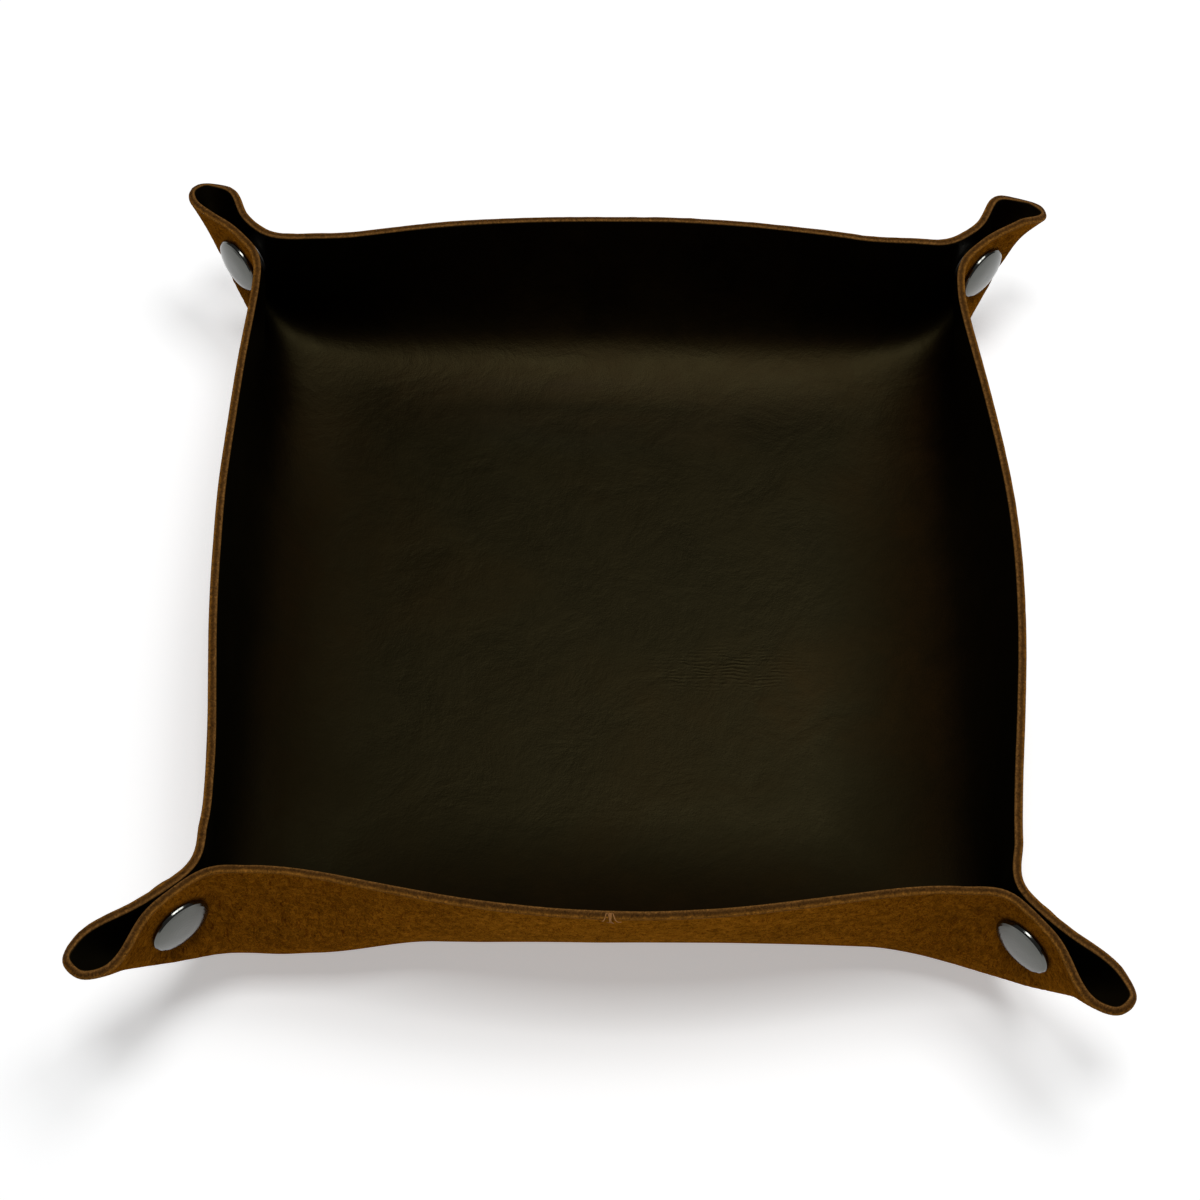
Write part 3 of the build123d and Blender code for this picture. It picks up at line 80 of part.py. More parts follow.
    ((-386, -9965, 4619), (-391, -9905, 4227), (-396, -9843, 3836), (-402, -9778, 3445), (-407, -9705, 3055), (-412, -9622, 2667), (-417, -9522, 2283), (-423, -9400, 1905), (-429, -9238, 1540), (-435, -9007, 1212), (-441, -8705, 950), (-446, -8367, 740), (-450, -8011, 564), (-454, -7641, 418), (-457, -7261, 302), (-458, -6874, 217), (-460, -6481, 158), (-460, -6086, 123), (-461, -5690, 105), (-461, -5294, 99), (-462, -4897, 100), (-462, -4501, 100), (-462, -4104, 100), (-462, -3708, 100), (-462, -3311, 100), (-462, -2915, 100), (-462, -2518, 100), (-462, -2121, 100), (-462, -1724, 100), (-462, -1327, 100), (-462, -931, 100), (-462, -534, 100), (-462, -137, 100), (-461, 260, 100), (-461, 657, 100), (-461, 1054, 100), (-461, 1451, 100), (-461, 1848, 100), (-460, 2244, 100), (-460, 2641, 100), (-460, 3038, 100), (-460, 3435, 100), (-459, 3831, 100), (-459, 4228, 100), (-459, 4624, 100), (-459, 5021, 100), (-458, 5418, 100), (-458, 5814, 100), (-458, 6211, 99), (-457, 6607, 108), (-457, 7003, 133), (-457, 7397, 181), (-456, 7787, 257), (-456, 8170, 365), (-457, 8541, 509), (-457, 8884, 716), (-458, 9164, 1003), (-460, 9381, 1337), (-461, 9563, 1690), (-463, 9724, 2053), (-465, 9868, 2423), (-467, 10000, 2797), (-468, 10121, 3175), (-470, 10237, 3554), (-471, 10351, 3933)),
    ((13, -9976, 4612), (7, -9912, 4221), (2, -9847, 3830), (-3, -9779, 3440), (-9, -9704, 3050), (-15, -9619, 2662), (-20, -9518, 2278), (-26, -9400, 1899), (-33, -9235, 1535), (-39, -9005, 1207), (-45, -8704, 943), (-50, -8366, 732), (-54, -8011, 555), (-57, -7641, 408), (-60, -7261, 293), (-61, -6874, 209), (-62, -6481, 152), (-63, -6086, 119), (-63, -5690, 103), (-64, -5293, 99), (-64, -4897, 100), (-64, -4501, 100), (-65, -4104, 100), (-65, -3708, 100), (-65, -3311, 100), (-65, -2914, 100), (-65, -2518, 100), (-65, -2121, 100), (-65, -1724, 100), (-65, -1327, 100), (-65, -930, 100), (-65, -534, 100), (-65, -137, 100), (-65, 260, 100), (-64, 657, 100), (-64, 1054, 100), (-64, 1451, 100), (-64, 1848, 100), (-64, 2244, 100), (-63, 2641, 100), (-63, 3038, 100), (-63, 3435, 100), (-63, 3831, 100), (-62, 4228, 100), (-62, 4624, 100), (-62, 5021, 100), (-62, 5417, 100), (-62, 5814, 100), (-61, 6211, 99), (-61, 6607, 108), (-61, 7003, 134), (-61, 7397, 183), (-61, 7787, 259), (-61, 8170, 366), (-61, 8541, 511), (-61, 8884, 718), (-62, 9164, 1004), (-63, 9381, 1339), (-65, 9563, 1692), (-66, 9725, 2054), (-67, 9870, 2424), (-69, 10002, 2798), (-70, 10124, 3175), (-72, 10242, 3554), (-73, 10356, 3933)),
    ((412, -9979, 4607), (406, -9913, 4216), (401, -9846, 3825), (395, -9775, 3435), (389, -9699, 3046), (383, -9612, 2659), (377, -9510, 2275), (370, -9388, 1897), (364, -9230, 1531), (357, -9003, 1201), (351, -8703, 935), (346, -8366, 723), (342, -8011, 545), (339, -7642, 398), (337, -7262, 284), (336, -6874, 201), (335, -6481, 147), (334, -6086, 115), (334, -5689, 102), (334, -5293, 99), (333, -4897, 100), (333, -4500, 100), (333, -4104, 100), (333, -3707, 100), (332, -3311, 100), (332, -2914, 100), (332, -2517, 100), (332, -2121, 100), (332, -1724, 100), (332, -1327, 100), (332, -930, 100), (332, -533, 100), (332, -137, 100), (332, 260, 100), (332, 657, 100), (332, 1054, 100), (333, 1451, 100), (333, 1848, 100), (333, 2245, 100), (333, 2641, 100), (334, 3038, 100), (334, 3435, 100), (334, 3831, 100), (334, 4228, 100), (334, 4624, 100), (335, 5021, 100), (335, 5418, 100), (335, 5814, 100), (335, 6211, 99), (335, 6607, 108), (335, 7003, 134), (335, 7397, 183), (335, 7787, 259), (335, 8170, 367), (335, 8541, 512), (334, 8883, 719), (334, 9164, 1006), (333, 9380, 1341), (332, 9563, 1693), (331, 9724, 2056), (330, 9869, 2426), (329, 10002, 2800), (328, 10125, 3177), (326, 10242, 3555), (325, 10358, 3935)),
    ((811, -9977, 4601), (805, -9908, 4211), (799, -9839, 3821), (793, -9767, 3431), (787, -9690, 3042), (780, -9602, 2655), (774, -9501, 2271), (767, -9380, 1893), (760, -9224, 1527), (753, -9000, 1194), (747, -8703, 926), (742, -8367, 712), (738, -8012, 534), (736, -7643, 388), (734, -7262, 275), (733, -6874, 194), (732, -6481, 142), (732, -6085, 112), (732, -5689, 100), (731, -5293, 99), (731, -4896, 100), (731, -4500, 100), (730, -4104, 100), (730, -3707, 100), (730, -3311, 100), (729, -2914, 100), (729, -2517, 100), (729, -2120, 100), (729, -1724, 100), (729, -1327, 100), (729, -930, 100), (729, -533, 100), (729, -136, 100), (729, 261, 100), (729, 657, 100), (729, 1054, 100), (729, 1451, 100), (730, 1848, 100), (730, 2245, 100), (730, 2642, 100), (730, 3038, 100), (731, 3435, 100), (731, 3831, 100), (731, 4228, 100), (731, 4625, 100), (731, 5021, 100), (731, 5418, 100), (731, 5814, 100), (731, 6211, 99), (731, 6607, 108), (731, 7003, 133), (731, 7397, 182), (731, 7787, 259), (730, 8170, 367), (730, 8540, 512), (730, 8883, 720), (730, 9163, 1007), (730, 9378, 1342), (729, 9560, 1696), (729, 9721, 2058), (728, 9866, 2428), (727, 9999, 2802), (726, 10122, 3179), (724, 10239, 3558), (723, 10355, 3937)),
    ((1210, -9966, 4598), (1204, -9897, 4208), (1198, -9827, 3818), (1191, -9755, 3428), (1184, -9678, 3039), (1177, -9591, 2652), (1170, -9491, 2268), (1163, -9372, 1889), (1156, -9220, 1521), (1149, -8999, 1186), (1142, -8703, 916), (1138, -8368, 701), (1135, -8014, 522), (1132, -7644, 377), (1131, -7263, 266), (1130, -6874, 187), (1130, -6481, 136), (1129, -6085, 110), (1129, -5689, 99), (1129, -5293, 100), (1129, -4896, 100), (1128, -4500, 100), (1128, -4103, 100), (1127, -3707, 100), (1127, -3310, 100), (1127, -2914, 100), (1126, -2517, 100), (1126, -2120, 100), (1126, -1724, 100), (1126, -1327, 100), (1126, -930, 100), (1126, -533, 100), (1126, -136, 100), (1126, 261, 100), (1126, 658, 100), (1126, 1055, 100), (1126, 1451, 100), (1126, 1848, 100), (1126, 2245, 100), (1127, 2642, 100), (1127, 3039, 100), (1127, 3435, 100), (1128, 3832, 100), (1128, 4228, 100), (1128, 4625, 100), (1128, 5021, 100), (1128, 5418, 100), (1128, 5814, 100), (1128, 6211, 99), (1128, 6608, 107), (1127, 7004, 133), (1127, 7398, 181), (1126, 7788, 257), (1126, 8170, 365), (1126, 8540, 511), (1126, 8882, 720), (1126, 9161, 1008), (1126, 9376, 1344), (1126, 9556, 1698), (1126, 9716, 2061), (1125, 9861, 2431), (1124, 9992, 2806), (1124, 10115, 3183), (1122, 10231, 3562), (1121, 10346, 3941)),
    ((1609, -9950, 4595), (1603, -9881, 4205), (1596, -9812, 3815), (1589, -9740, 3425), (1582, -9664, 3036), (1575, -9579, 2649), (1567, -9481, 2264), (1560, -9364, 1884), (1552, -9216, 1515), (1544, -8998, 1178), (1538, -8704, 906), (1534, -8370, 689), (1531, -8015, 510), (1529, -7645, 366), (1528, -7264, 256), (1527, -6874, 179), (1527, -6481, 132), (1527, -6085, 107), (1527, -5689, 99), (1526, -5292, 100), (1526, -4896, 100), (1526, -4500, 100), (1525, -4103, 100), (1525, -3707, 100), (1524, -3310, 100), (1524, -2914, 100), (1523, -2517, 100), (1523, -2120, 100), (1523, -1723, 100), (1523, -1326, 100), (1522, -930, 100), (1522, -533, 100), (1522, -136, 100), (1522, 261, 100), (1522, 658, 100), (1523, 1055, 100), (1523, 1452, 100), (1523, 1849, 100), (1523, 2245, 100), (1523, 2642, 100), (1524, 3039, 100), (1524, 3436, 100), (1524, 3832, 100), (1525, 4229, 100), (1525, 4625, 100), (1525, 5022, 100), (1525, 5418, 100), (1525, 5815, 100), (1524, 6211, 98), (1524, 6608, 107), (1523, 7004, 131), (1523, 7398, 178), (1522, 7788, 254), (1522, 8171, 362), (1521, 8541, 509), (1522, 8882, 719), (1522, 9160, 1009), (1523, 9372, 1346), (1523, 9551, 1700), (1523, 9709, 2065), (1522, 9852, 2435), (1522, 9982, 2810), (1521, 10103, 3188), (1520, 10218, 3567), (1519, 10331, 3947)),
    ((2008, -9927, 4593), (2001, -9860, 4203), (1994, -9792, 3813), (1987, -9722, 3423), (1979, -9647, 3033), (1972, -9565, 2645), (1964, -9470, 2260), (1956, -9357, 1879), (1948, -9211, 1508), (1940, -8997, 1169), (1934, -8705, 895), (1930, -8371, 677), (1927, -8017, 498), (1926, -7646, 355), (1925, -7264, 247), (1925, -6875, 173), (1925, -6481, 127), (1925, -6085, 105), (1924, -5689, 98), (1924, -5292, 100), (1924, -4896, 100), (1923, -4500, 100), (1923, -4103, 100), (1922, -3707, 100), (1922, -3310, 100), (1921, -2913, 100), (1921, -2517, 100), (1920, -2120, 100), (1920, -1723, 100), (1920, -1326, 100), (1919, -929, 100), (1919, -532, 100), (1919, -135, 100), (1919, 261, 100), (1919, 658, 100), (1919, 1055, 100), (1919, 1452, 100), (1920, 1849, 100), (1920, 2246, 100), (1920, 2643, 100), (1921, 3039, 100), (1921, 3436, 100), (1921, 3833, 100), (1921, 4229, 100), (1921, 4626, 100), (1921, 5022, 100), (1921, 5419, 99), (1921, 5816, 100), (1921, 6212, 98), (1920, 6609, 105), (1919, 7005, 129), (1919, 7399, 175), (1918, 7789, 251), (1917, 8171, 359), (1917, 8541, 506), (1917, 8882, 717), (1918, 9158, 1009), (1919, 9369, 1347), (1919, 9545, 1703), (1920, 9701, 2068), (1920, 9840, 2440), (1919, 9967, 2816), (1919, 10086, 3195), (1918, 10199, 3575), (1917, 10311, 3955)),
    ((2407, -9900, 4591), (2400, -9833, 4201), (2392, -9767, 3811), (2385, -9700, 3420), (2377, -9629, 3030), (2368, -9550, 2641), (2360, -9459, 2255), (2352, -9350, 1873), (2344, -9208, 1501), (2336, -8996, 1160), (2330, -8706, 883), (2326, -8373, 665), (2324, -8019, 486), (2322, -7648, 344), (2322, -7265, 238), (2322, -6875, 167), (2322, -6481, 124), (2322, -6085, 104), (2322, -5689, 98), (2322, -5293, 100), (2321, -4896, 100), (2321, -4500, 100), (2320, -4103, 100), (2319, -3707, 100), (2319, -3310, 100), (2318, -2913, 100), (2318, -2516, 100), (2317, -2120, 100), (2317, -1723, 100), (2316, -1326, 100), (2316, -929, 100), (2316, -532, 100), (2316, -135, 100), (2316, 262, 100), (2316, 659, 100), (2316, 1056, 100), (2316, 1453, 100), (2316, 1850, 100), (2317, 2246, 100), (2317, 2643, 100), (2317, 3040, 100), (2318, 3437, 100), (2318, 3833, 100), (2318, 4230, 100), (2318, 4627, 100), (2318, 5023, 100), (2318, 5420, 100), (2318, 5816, 100), (2317, 6213, 98), (2317, 6609, 105), (2316, 7005, 127), (2315, 7399, 172), (2314, 7789, 247), (2313, 8172, 355), (2312, 8542, 503), (2313, 8881, 715), (2314, 9156, 1008), (2315, 9364, 1348), (2316, 9537, 1706), (2316, 9690, 2073), (2317, 9825, 2446), (2317, 9949, 2823), (2316, 10064, 3203), (2315, 10174, 3583), (2314, 10283, 3965)),
    ((2806, -9864, 4590), (2798, -9800, 4200), (2790, -9737, 3809), (2782, -9674, 3418), (2774, -9607, 3027), (2765, -9534, 2637), (2756, -9447, 2250), (2748, -9343, 1866), (2739, -9203, 1494), (2731, -8996, 1150), (2725, -8708, 871), (2722, -8376, 652), (2720, -8021, 473), (2719, -7649, 333), (2719, -7266, 230), (2720, -6876, 161), (2720, -6481, 120), (2720, -6085, 102), (2720, -5689, 99), (2719, -5293, 100), (2719, -4896, 100), (2718, -4500, 100), (2717, -4103, 100), (2717, -3707, 100), (2716, -3310, 100), (2715, -2913, 100), (2715, -2516, 100), (2714, -2119, 100), (2713, -1722, 100), (2713, -1325, 100), (2713, -929, 100), (2713, -532, 100), (2712, -135, 100), (2712, 262, 100), (2712, 659, 100), (2712, 1056, 100), (2713, 1453, 100), (2713, 1850, 100), (2713, 2247, 100), (2714, 2644, 100), (2714, 3041, 100), (2714, 3437, 100), (2715, 3834, 100), (2715, 4231, 100), (2715, 4627, 100), (2715, 5024, 100), (2715, 5421, 100), (2715, 5817, 100), (2714, 6213, 99), (2713, 6610, 104), (2712, 7006, 124), (2711, 7400, 168), (2710, 7791, 242), (2709, 8173, 350), (2708, 8542, 498), (2708, 8881, 712), (2710, 9154, 1007), (2711, 9359, 1349), (2712, 9528, 1709), (2713, 9676, 2078), (2713, 9808, 2452), (2713, 9926, 2831), (2713, 10037, 3212), (2712, 10144, 3594), (2711, 10250, 3976)),
    ((3204, -9818, 4591), (3196, -9760, 4199), (3188, -9703, 3808), (3179, -9645, 3416), (3170, -9584, 3024), (3161, -9516, 2633), (3152, -9436, 2244), (3143, -9337, 1859), (3134, -9203, 1484), (3127, -8997, 1139), (3121, -8710, 859), (3118, -8378, 639), (3117, -8023, 461), (3116, -7651, 323), (3117, -7267, 222), (3117, -6876, 155), (3118, -6481, 118), (3118, -6085, 101), (3118, -5689, 99), (3117, -5293, 100), (3116, -4896, 100), (3116, -4500, 100), (3115, -4103, 100), (3114, -3706, 100), (3113, -3310, 100), (3112, -2913, 100), (3111, -2516, 100), (3111, -2119, 100), (3110, -1722, 100), (3110, -1325, 100), (3109, -928, 100), (3109, -531, 100), (3109, -134, 100), (3109, 263, 100), (3109, 660, 100), (3109, 1057, 100), (3109, 1454, 100), (3109, 1851, 100), (3110, 2248, 100), (3110, 2645, 100), (3111, 3041, 100), (3111, 3438, 100), (3111, 3835, 100), (3112, 4232, 100), (3112, 4628, 100), (3112, 5025, 100), (3112, 5421, 100), (3112, 5818, 100), (3111, 6214, 99), (3110, 6611, 103), (3109, 7007, 121), (3107, 7401, 164), (3106, 7792, 236), (3104, 8174, 343), (3104, 8544, 492), (3104, 8881, 708), (3105, 9151, 1006), (3107, 9352, 1350), (3108, 9517, 1712), (3109, 9660, 2083), (3110, 9786, 2460), (3110, 9900, 2840), (3110, 10006, 3222), (3109, 10109, 3605), (3108, 10210, 3988)),
    ((3602, -9768, 4590), (3594, -9715, 4198), (3585, -9664, 3806), (3576, -9613, 3413), (3567, -9559, 3020), (3557, -9498, 2628), (3548, -9424, 2238), (3539, -9331, 1851), (3530, -9202, 1474), (3522, -8999, 1127), (3517, -8714, 846), (3514, -8382, 626), (3514, -8025, 450), (3514, -7652, 314), (3515, -7268, 215), (3515, -6877, 151), (3516, -6482, 115), (3516, -6086, 101), (3515, -5690, 99), (3515, -5293, 100), (3514, -4897, 100), (3513, -4500, 100), (3512, -4103, 100), (3511, -3706, 100), (3510, -3310, 100), (3509, -2913, 100), (3508, -2516, 100), (3508, -2119, 100), (3507, -1722, 100), (3506, -1325, 100), (3506, -928, 100), (3506, -531, 100), (3506, -134, 100), (3505, 263, 100), (3505, 660, 100), (3506, 1057, 100), (3506, 1454, 100), (3506, 1851, 100), (3506, 2248, 100), (3507, 2645, 100), (3507, 3042, 100), (3508, 3439, 100), (3508, 3836, 100), (3509, 4233, 100), (3509, 4629, 100), (3509, 5026, 100), (3509, 5423, 100), (3509, 5819, 100), (3508, 6215, 99), (3507, 6612, 101), (3506, 7008, 119), (3504, 7403, 159), (3502, 7793, 230), (3500, 8176, 336), (3499, 8545, 485), (3499, 8882, 704), (3501, 9149, 1004), (3503, 9346, 1351), (3504, 9504, 1716), (3505, 9641, 2089), (3506, 9761, 2468), (3506, 9869, 2850), (3506, 9970, 3233), (3505, 10068, 3618), (3504, 10166, 4002)),
    ((4000, -9711, 4590), (3992, -9666, 4197), (3982, -9623, 3804), (3973, -9579, 3410), (3963, -9532, 3016), (3953, -9478, 2623), (3943, -9412, 2231), (3934, -9326, 1843), (3924, -9202, 1463), (3916, -9003, 1114), (3912, -8718, 832), (3910, -8385, 612), (3910, -8028, 438), (3911, -7654, 305), (3912, -7269, 210), (3913, -6877, 149), (3914, -6482, 115), (3914, -6086, 101), (3913, -5690, 99), (3913, -5293, 100), (3912, -4897, 100), (3910, -4500, 100), (3909, -4103, 100), (3908, -3706, 100), (3907, -3309, 100), (3906, -2912, 100), (3905, -2515, 100), (3904, -2118, 100), (3904, -1721, 100), (3903, -1324, 100), (3903, -927, 100), (3902, -530, 100), (3902, -133, 100), (3902, 264, 100), (3902, 661, 100), (3902, 1058, 100), (3902, 1455, 100), (3903, 1852, 100), (3903, 2249, 100), (3903, 2646, 100), (3904, 3043, 100), (3904, 3440, 100), (3905, 3837, 100), (3905, 4234, 100), (3906, 4630, 100), (3906, 5027, 100), (3906, 5424, 100), (3906, 5820, 100), (3905, 6217, 99), (3904, 6613, 100), (3902, 7009, 116), (3900, 7404, 154), (3898, 7795, 223), (3896, 8178, 328), (3895, 8547, 478), (3895, 8882, 698), (3896, 9146, 1002), (3898, 9338, 1352), (3899, 9490, 1719), (3901, 9620, 2095), (3901, 9732, 2477), (3902, 9834, 2860), (3902, 9930, 3245), (3901, 10023, 3631), (3900, 10116, 4016)),
    ((4398, -9652, 4588), (4389, -9615, 4195), (4379, -9579, 3801), (4369, -9543, 3406), (4359, -9504, 3011), (4349, -9458, 2617), (4339, -9399, 2224), (4329, -9320, 1834), (4319, -9203, 1452), (4311, -9007, 1101), (4307, -8723, 818), (4306, -8390, 599), (4307, -8031, 428), (4309, -7656, 299), (4311, -7270, 207), (4312, -6878, 148), (4312, -6483, 115), (4312, -6087, 101), (4311, -5690, 99), (4310, -5294, 100), (4309, -4897, 100), (4308, -4500, 100), (4306, -4103, 100), (4305, -3706, 100), (4304, -3309, 100), (4303, -2912, 100), (4302, -2515, 100), (4301, -2118, 100), (4300, -1721, 100), (4300, -1324, 100), (4299, -927, 100), (4299, -529, 100), (4298, -132, 100), (4298, 265, 100), (4298, 662, 100), (4298, 1059, 100), (4299, 1456, 100), (4299, 1853, 100), (4299, 2250, 100), (4300, 2647, 100), (4300, 3044, 100), (4301, 3441, 100), (4302, 3838, 100), (4302, 4235, 100), (4303, 4631, 100), (4303, 5028, 100), (4303, 5425, 100), (4303, 5822, 100), (4302, 6218, 99), (4301, 6614, 99), (4300, 7011, 113), (4298, 7406, 149), (4295, 7797, 216), (4292, 8180, 320), (4290, 8549, 470), (4290, 8883, 693), (4291, 9144, 999), (4293, 9330, 1353), (4294, 9475, 1723), (4296, 9596, 2102), (4296, 9700, 2486), (4297, 9795, 2871), (4297, 9884, 3258), (4297, 9971, 3645), (4296, 10059, 4031)),
    ((4796, -9589, 4585), (4786, -9561, 4191), (4776, -9533, 3796), (4765, -9506, 3401), (4755, -9475, 3006), (4744, -9438, 2610), (4733, -9387, 2216), (4723, -9316, 1824), (4713, -9205, 1441), (4705, -9013, 1087), (4702, -8729, 803), (4703, -8394, 586), (4705, -8034, 418), (4707, -7658, 293), (4709, -7271, 206), (4710, -6879, 149), (4711, -6484, 117), (4710, -6087, 102), (4709, -5691, 99), (4708, -5294, 100), (4707, -4897, 100), (4705, -4500, 100), (4704, -4103, 100), (4702, -3705, 100), (4701, -3308, 100), (4700, -2911, 100), (4698, -2514, 100), (4698, -2117, 100), (4697, -1720, 100), (4696, -1323, 100), (4695, -926, 100), (4695, -529, 100), (4695, -132, 100), (4695, 265, 100), (4695, 662, 100), (4695, 1059, 100), (4695, 1456, 100), (4695, 1853, 100), (4696, 2250, 100), (4696, 2647, 100), (4697, 3044, 100), (4698, 3441, 100), (4698, 3838, 100), (4699, 4235, 100), (4699, 4632, 100), (4700, 5029, 100), (4700, 5426, 100), (4700, 5823, 100), (4700, 6220, 100), (4699, 6616, 99), (4697, 7012, 111), (4695, 7407, 145), (4692, 7799, 210), (4689, 8182, 312), (4686, 8551, 462), (4685, 8884, 686), (4686, 9142, 996), (4688, 9321, 1353), (4689, 9457, 1727), (4690, 9569, 2109), (4691, 9665, 2495), (4691, 9751, 2883), (4692, 9833, 3271), (4692, 9915, 3659), (4691, 9998, 4046)),
    ((5194, -9527, 4580), (5184, -9507, 4186), (5173, -9487, 3791), (5162, -9467, 3395), (5150, -9445, 2999), (5139, -9417, 2603), (5127, -9375, 2208), (5117, -9312, 1815), (5107, -9208, 1429), (5099, -9020, 1073), (5097, -8736, 787), (5099, -8400, 573), (5102, -8038, 410), (5106, -7660, 291), (5108, -7272, 208), (5109, -6879, 154), (5109, -6484, 122), (5108, -6088, 106), (5107, -5691, 100), (5106, -5294, 99), (5104, -4897, 100), (5102, -4499, 100), (5101, -4102, 100), (5099, -3705, 100), (5097, -3308, 100), (5096, -2910, 100), (5095, -2513, 100), (5094, -2116, 100), (5093, -1719, 100), (5092, -1322, 100), (5092, -925, 100), (5092, -528, 100), (5091, -131, 100), (5091, 266, 100), (5091, 663, 100), (5091, 1060, 100), (5092, 1457, 100), (5092, 1854, 100), (5092, 2251, 100), (5093, 2648, 100), (5093, 3045, 100), (5094, 3442, 100), (5095, 3839, 100), (5095, 4236, 100), (5096, 4633, 100), (5097, 5031, 100), (5097, 5428, 100), (5097, 5824, 100), (5097, 6221, 100), (5096, 6618, 98), (5095, 7014, 110), (5093, 7409, 142), (5089, 7801, 205), (5085, 8185, 305), (5082, 8554, 453), (5080, 8887, 679), (5080, 9140, 993), (5082, 9312, 1354), (5083, 9439, 1731), (5084, 9540, 2116), (5085, 9625, 2505), (5085, 9702, 2894), (5086, 9778, 3284), (5086, 9854, 3673), (5086, 9932, 4061)),
    ((5592, -9462, 4573), (5582, -9451, 4178), (5570, -9441, 3783), (5558, -9429, 3388), (5546, -9415, 2991), (5533, -9395, 2595), (5521, -9363, 2199), (5510, -9308, 1804), (5500, -9211, 1417), (5493, -9028, 1057), (5493, -8745, 771), (5496, -8407, 560), (5501, -8042, 404), (5504, -7662, 291), (5507, -7273, 213), (5508, -6880, 162), (5508, -6484, 130), (5507, -6088, 113), (5505, -5691, 104), (5503, -5293, 101), (5501, -4896, 99), (5499, -4499, 99), (5497, -4101, 99), (5496, -3704, 100), (5494, -3307, 100), (5493, -2909, 100), (5492, -2512, 100), (5491, -2115, 100), (5490, -1718, 100), (5489, -1321, 100), (5488, -924, 100), (5488, -527, 100), (5488, -130, 100), (5488, 267, 100), (5488, 663, 100), (5488, 1060, 100), (5488, 1457, 100), (5488, 1854, 100), (5489, 2251, 100), (5489, 2648, 100), (5490, 3045, 99), (5491, 3443, 100), (5491, 3840, 100), (5492, 4237, 100), (5493, 4634, 100), (5494, 5032, 100), (5494, 5429, 100), (5495, 5826, 100), (5495, 6223, 100), (5494, 6620, 99), (5493, 7016, 110), (5491, 7411, 141), (5487, 7803, 201), (5482, 8188, 297), (5478, 8558, 444), (5474, 8891, 671), (5474, 9140, 989), (5476, 9302, 1354), (5477, 9417, 1736), (5478, 9506, 2124), (5478, 9580, 2515), (5479, 9648, 2906), (5479, 9717, 3296), (5480, 9788, 3686), (5480, 9861, 4075)),
    ((5991, -9398, 4563), (5980, -9398, 4169), (5967, -9396, 3774), (5954, -9392, 3378), (5941, -9386, 2982), (5928, -9374, 2586), (5915, -9350, 2189), (5903, -9304, 1794), (5893, -9216, 1404), (5887, -9038, 1042), (5888, -8756, 755), (5894, -8414, 549), (5899, -8046, 400), (5904, -7664, 295), (5906, -7274, 223), (5907, -6880, 175), (5906, -6484, 145), (5904, -6088, 126), (5902, -5690, 114), (5900, -5293, 107), (5898, -4895, 103), (5896, -4498, 101), (5894, -4100, 99), (5892, -3703, 99), (5891, -3305, 98), (5889, -2908, 98), (5888, -2511, 98), (5887, -2114, 98), (5886, -1717, 98), (5885, -1320, 98), (5885, -923, 98), (5884, -526, 98), (5884, -130, 99), (5884, 267, 99), (5884, 664, 99), (5884, 1061, 99), (5884, 1458, 99), (5885, 1855, 99), (5885, 2252, 100), (5886, 2649, 100), (5886, 3046, 100), (5887, 3443, 100), (5888, 3840, 100), (5889, 4237, 100), (5889, 4635, 100), (5890, 5032, 100), (5891, 5430, 100), (5892, 5827, 100), (5892, 6224, 99), (5892, 6622, 100), (5891, 7018, 112), (5889, 7414, 142), (5885, 7806, 199), (5880, 8192, 292), (5874, 8563, 435), (5869, 8896, 662), (5868, 9140, 985), (5869, 9291, 1356), (5869, 9392, 1742), (5870, 9466, 2133), (5870, 9529, 2525), (5871, 9589, 2917), (5872, 9651, 3308), (5873, 9718, 3699), (5875, 9788, 4088)),
    ((6391, -9337, 4551), (6378, -9347, 4157), (6365, -9353, 3762), (6351, -9357, 3367), (6337, -9357, 2972), (6322, -9353, 2576), (6308, -9339, 2179), (6295, -9303, 1783), (6285, -9217, 1394), (6280, -9052, 1026), (6284, -8767, 740), (6292, -8422, 541), (6299, -8051, 402), (6303, -7666, 306), (6305, -7275, 240), (6305, -6880, 196), (6304, -6484, 166), (6302, -6087, 146), (6300, -5689, 132), (6297, -5291, 123), (6295, -4894, 117), (6293, -4496, 112), (6291, -4098, 109), (6289, -3701, 108), (6287, -3304, 106), (6286, -2906, 106), (6284, -2509, 106), (6283, -2112, 105), (6283, -1716, 105), (6282, -1319, 105), (6281, -922, 105), (6281, -525, 104), (6281, -129, 103), (6280, 268, 103), (6280, 665, 102), (6281, 1061, 101), (6281, 1458, 100), (6281, 1855, 99), (6282, 2252, 98), (6282, 2649, 98), (6283, 3046, 98), (6283, 3443, 98), (6284, 3840, 99), (6285, 4238, 99), (6286, 4635, 99), (6287, 5033, 99), (6288, 5431, 99), (6289, 5828, 98), (6290, 6226, 99), (6290, 6623, 103), (6290, 7020, 118), (6288, 7416, 147), (6284, 7809, 201), (6278, 8196, 289), (6271, 8569, 427), (6263, 8902, 654), (6261, 9141, 981), (6261, 9279, 1358), (6261, 9362, 1748), (6261, 9420, 2141), (6262, 9471, 2535), (6263, 9523, 2928), (6264, 9581, 3319), (6266, 9644, 3710), (6269, 9710, 4100)),
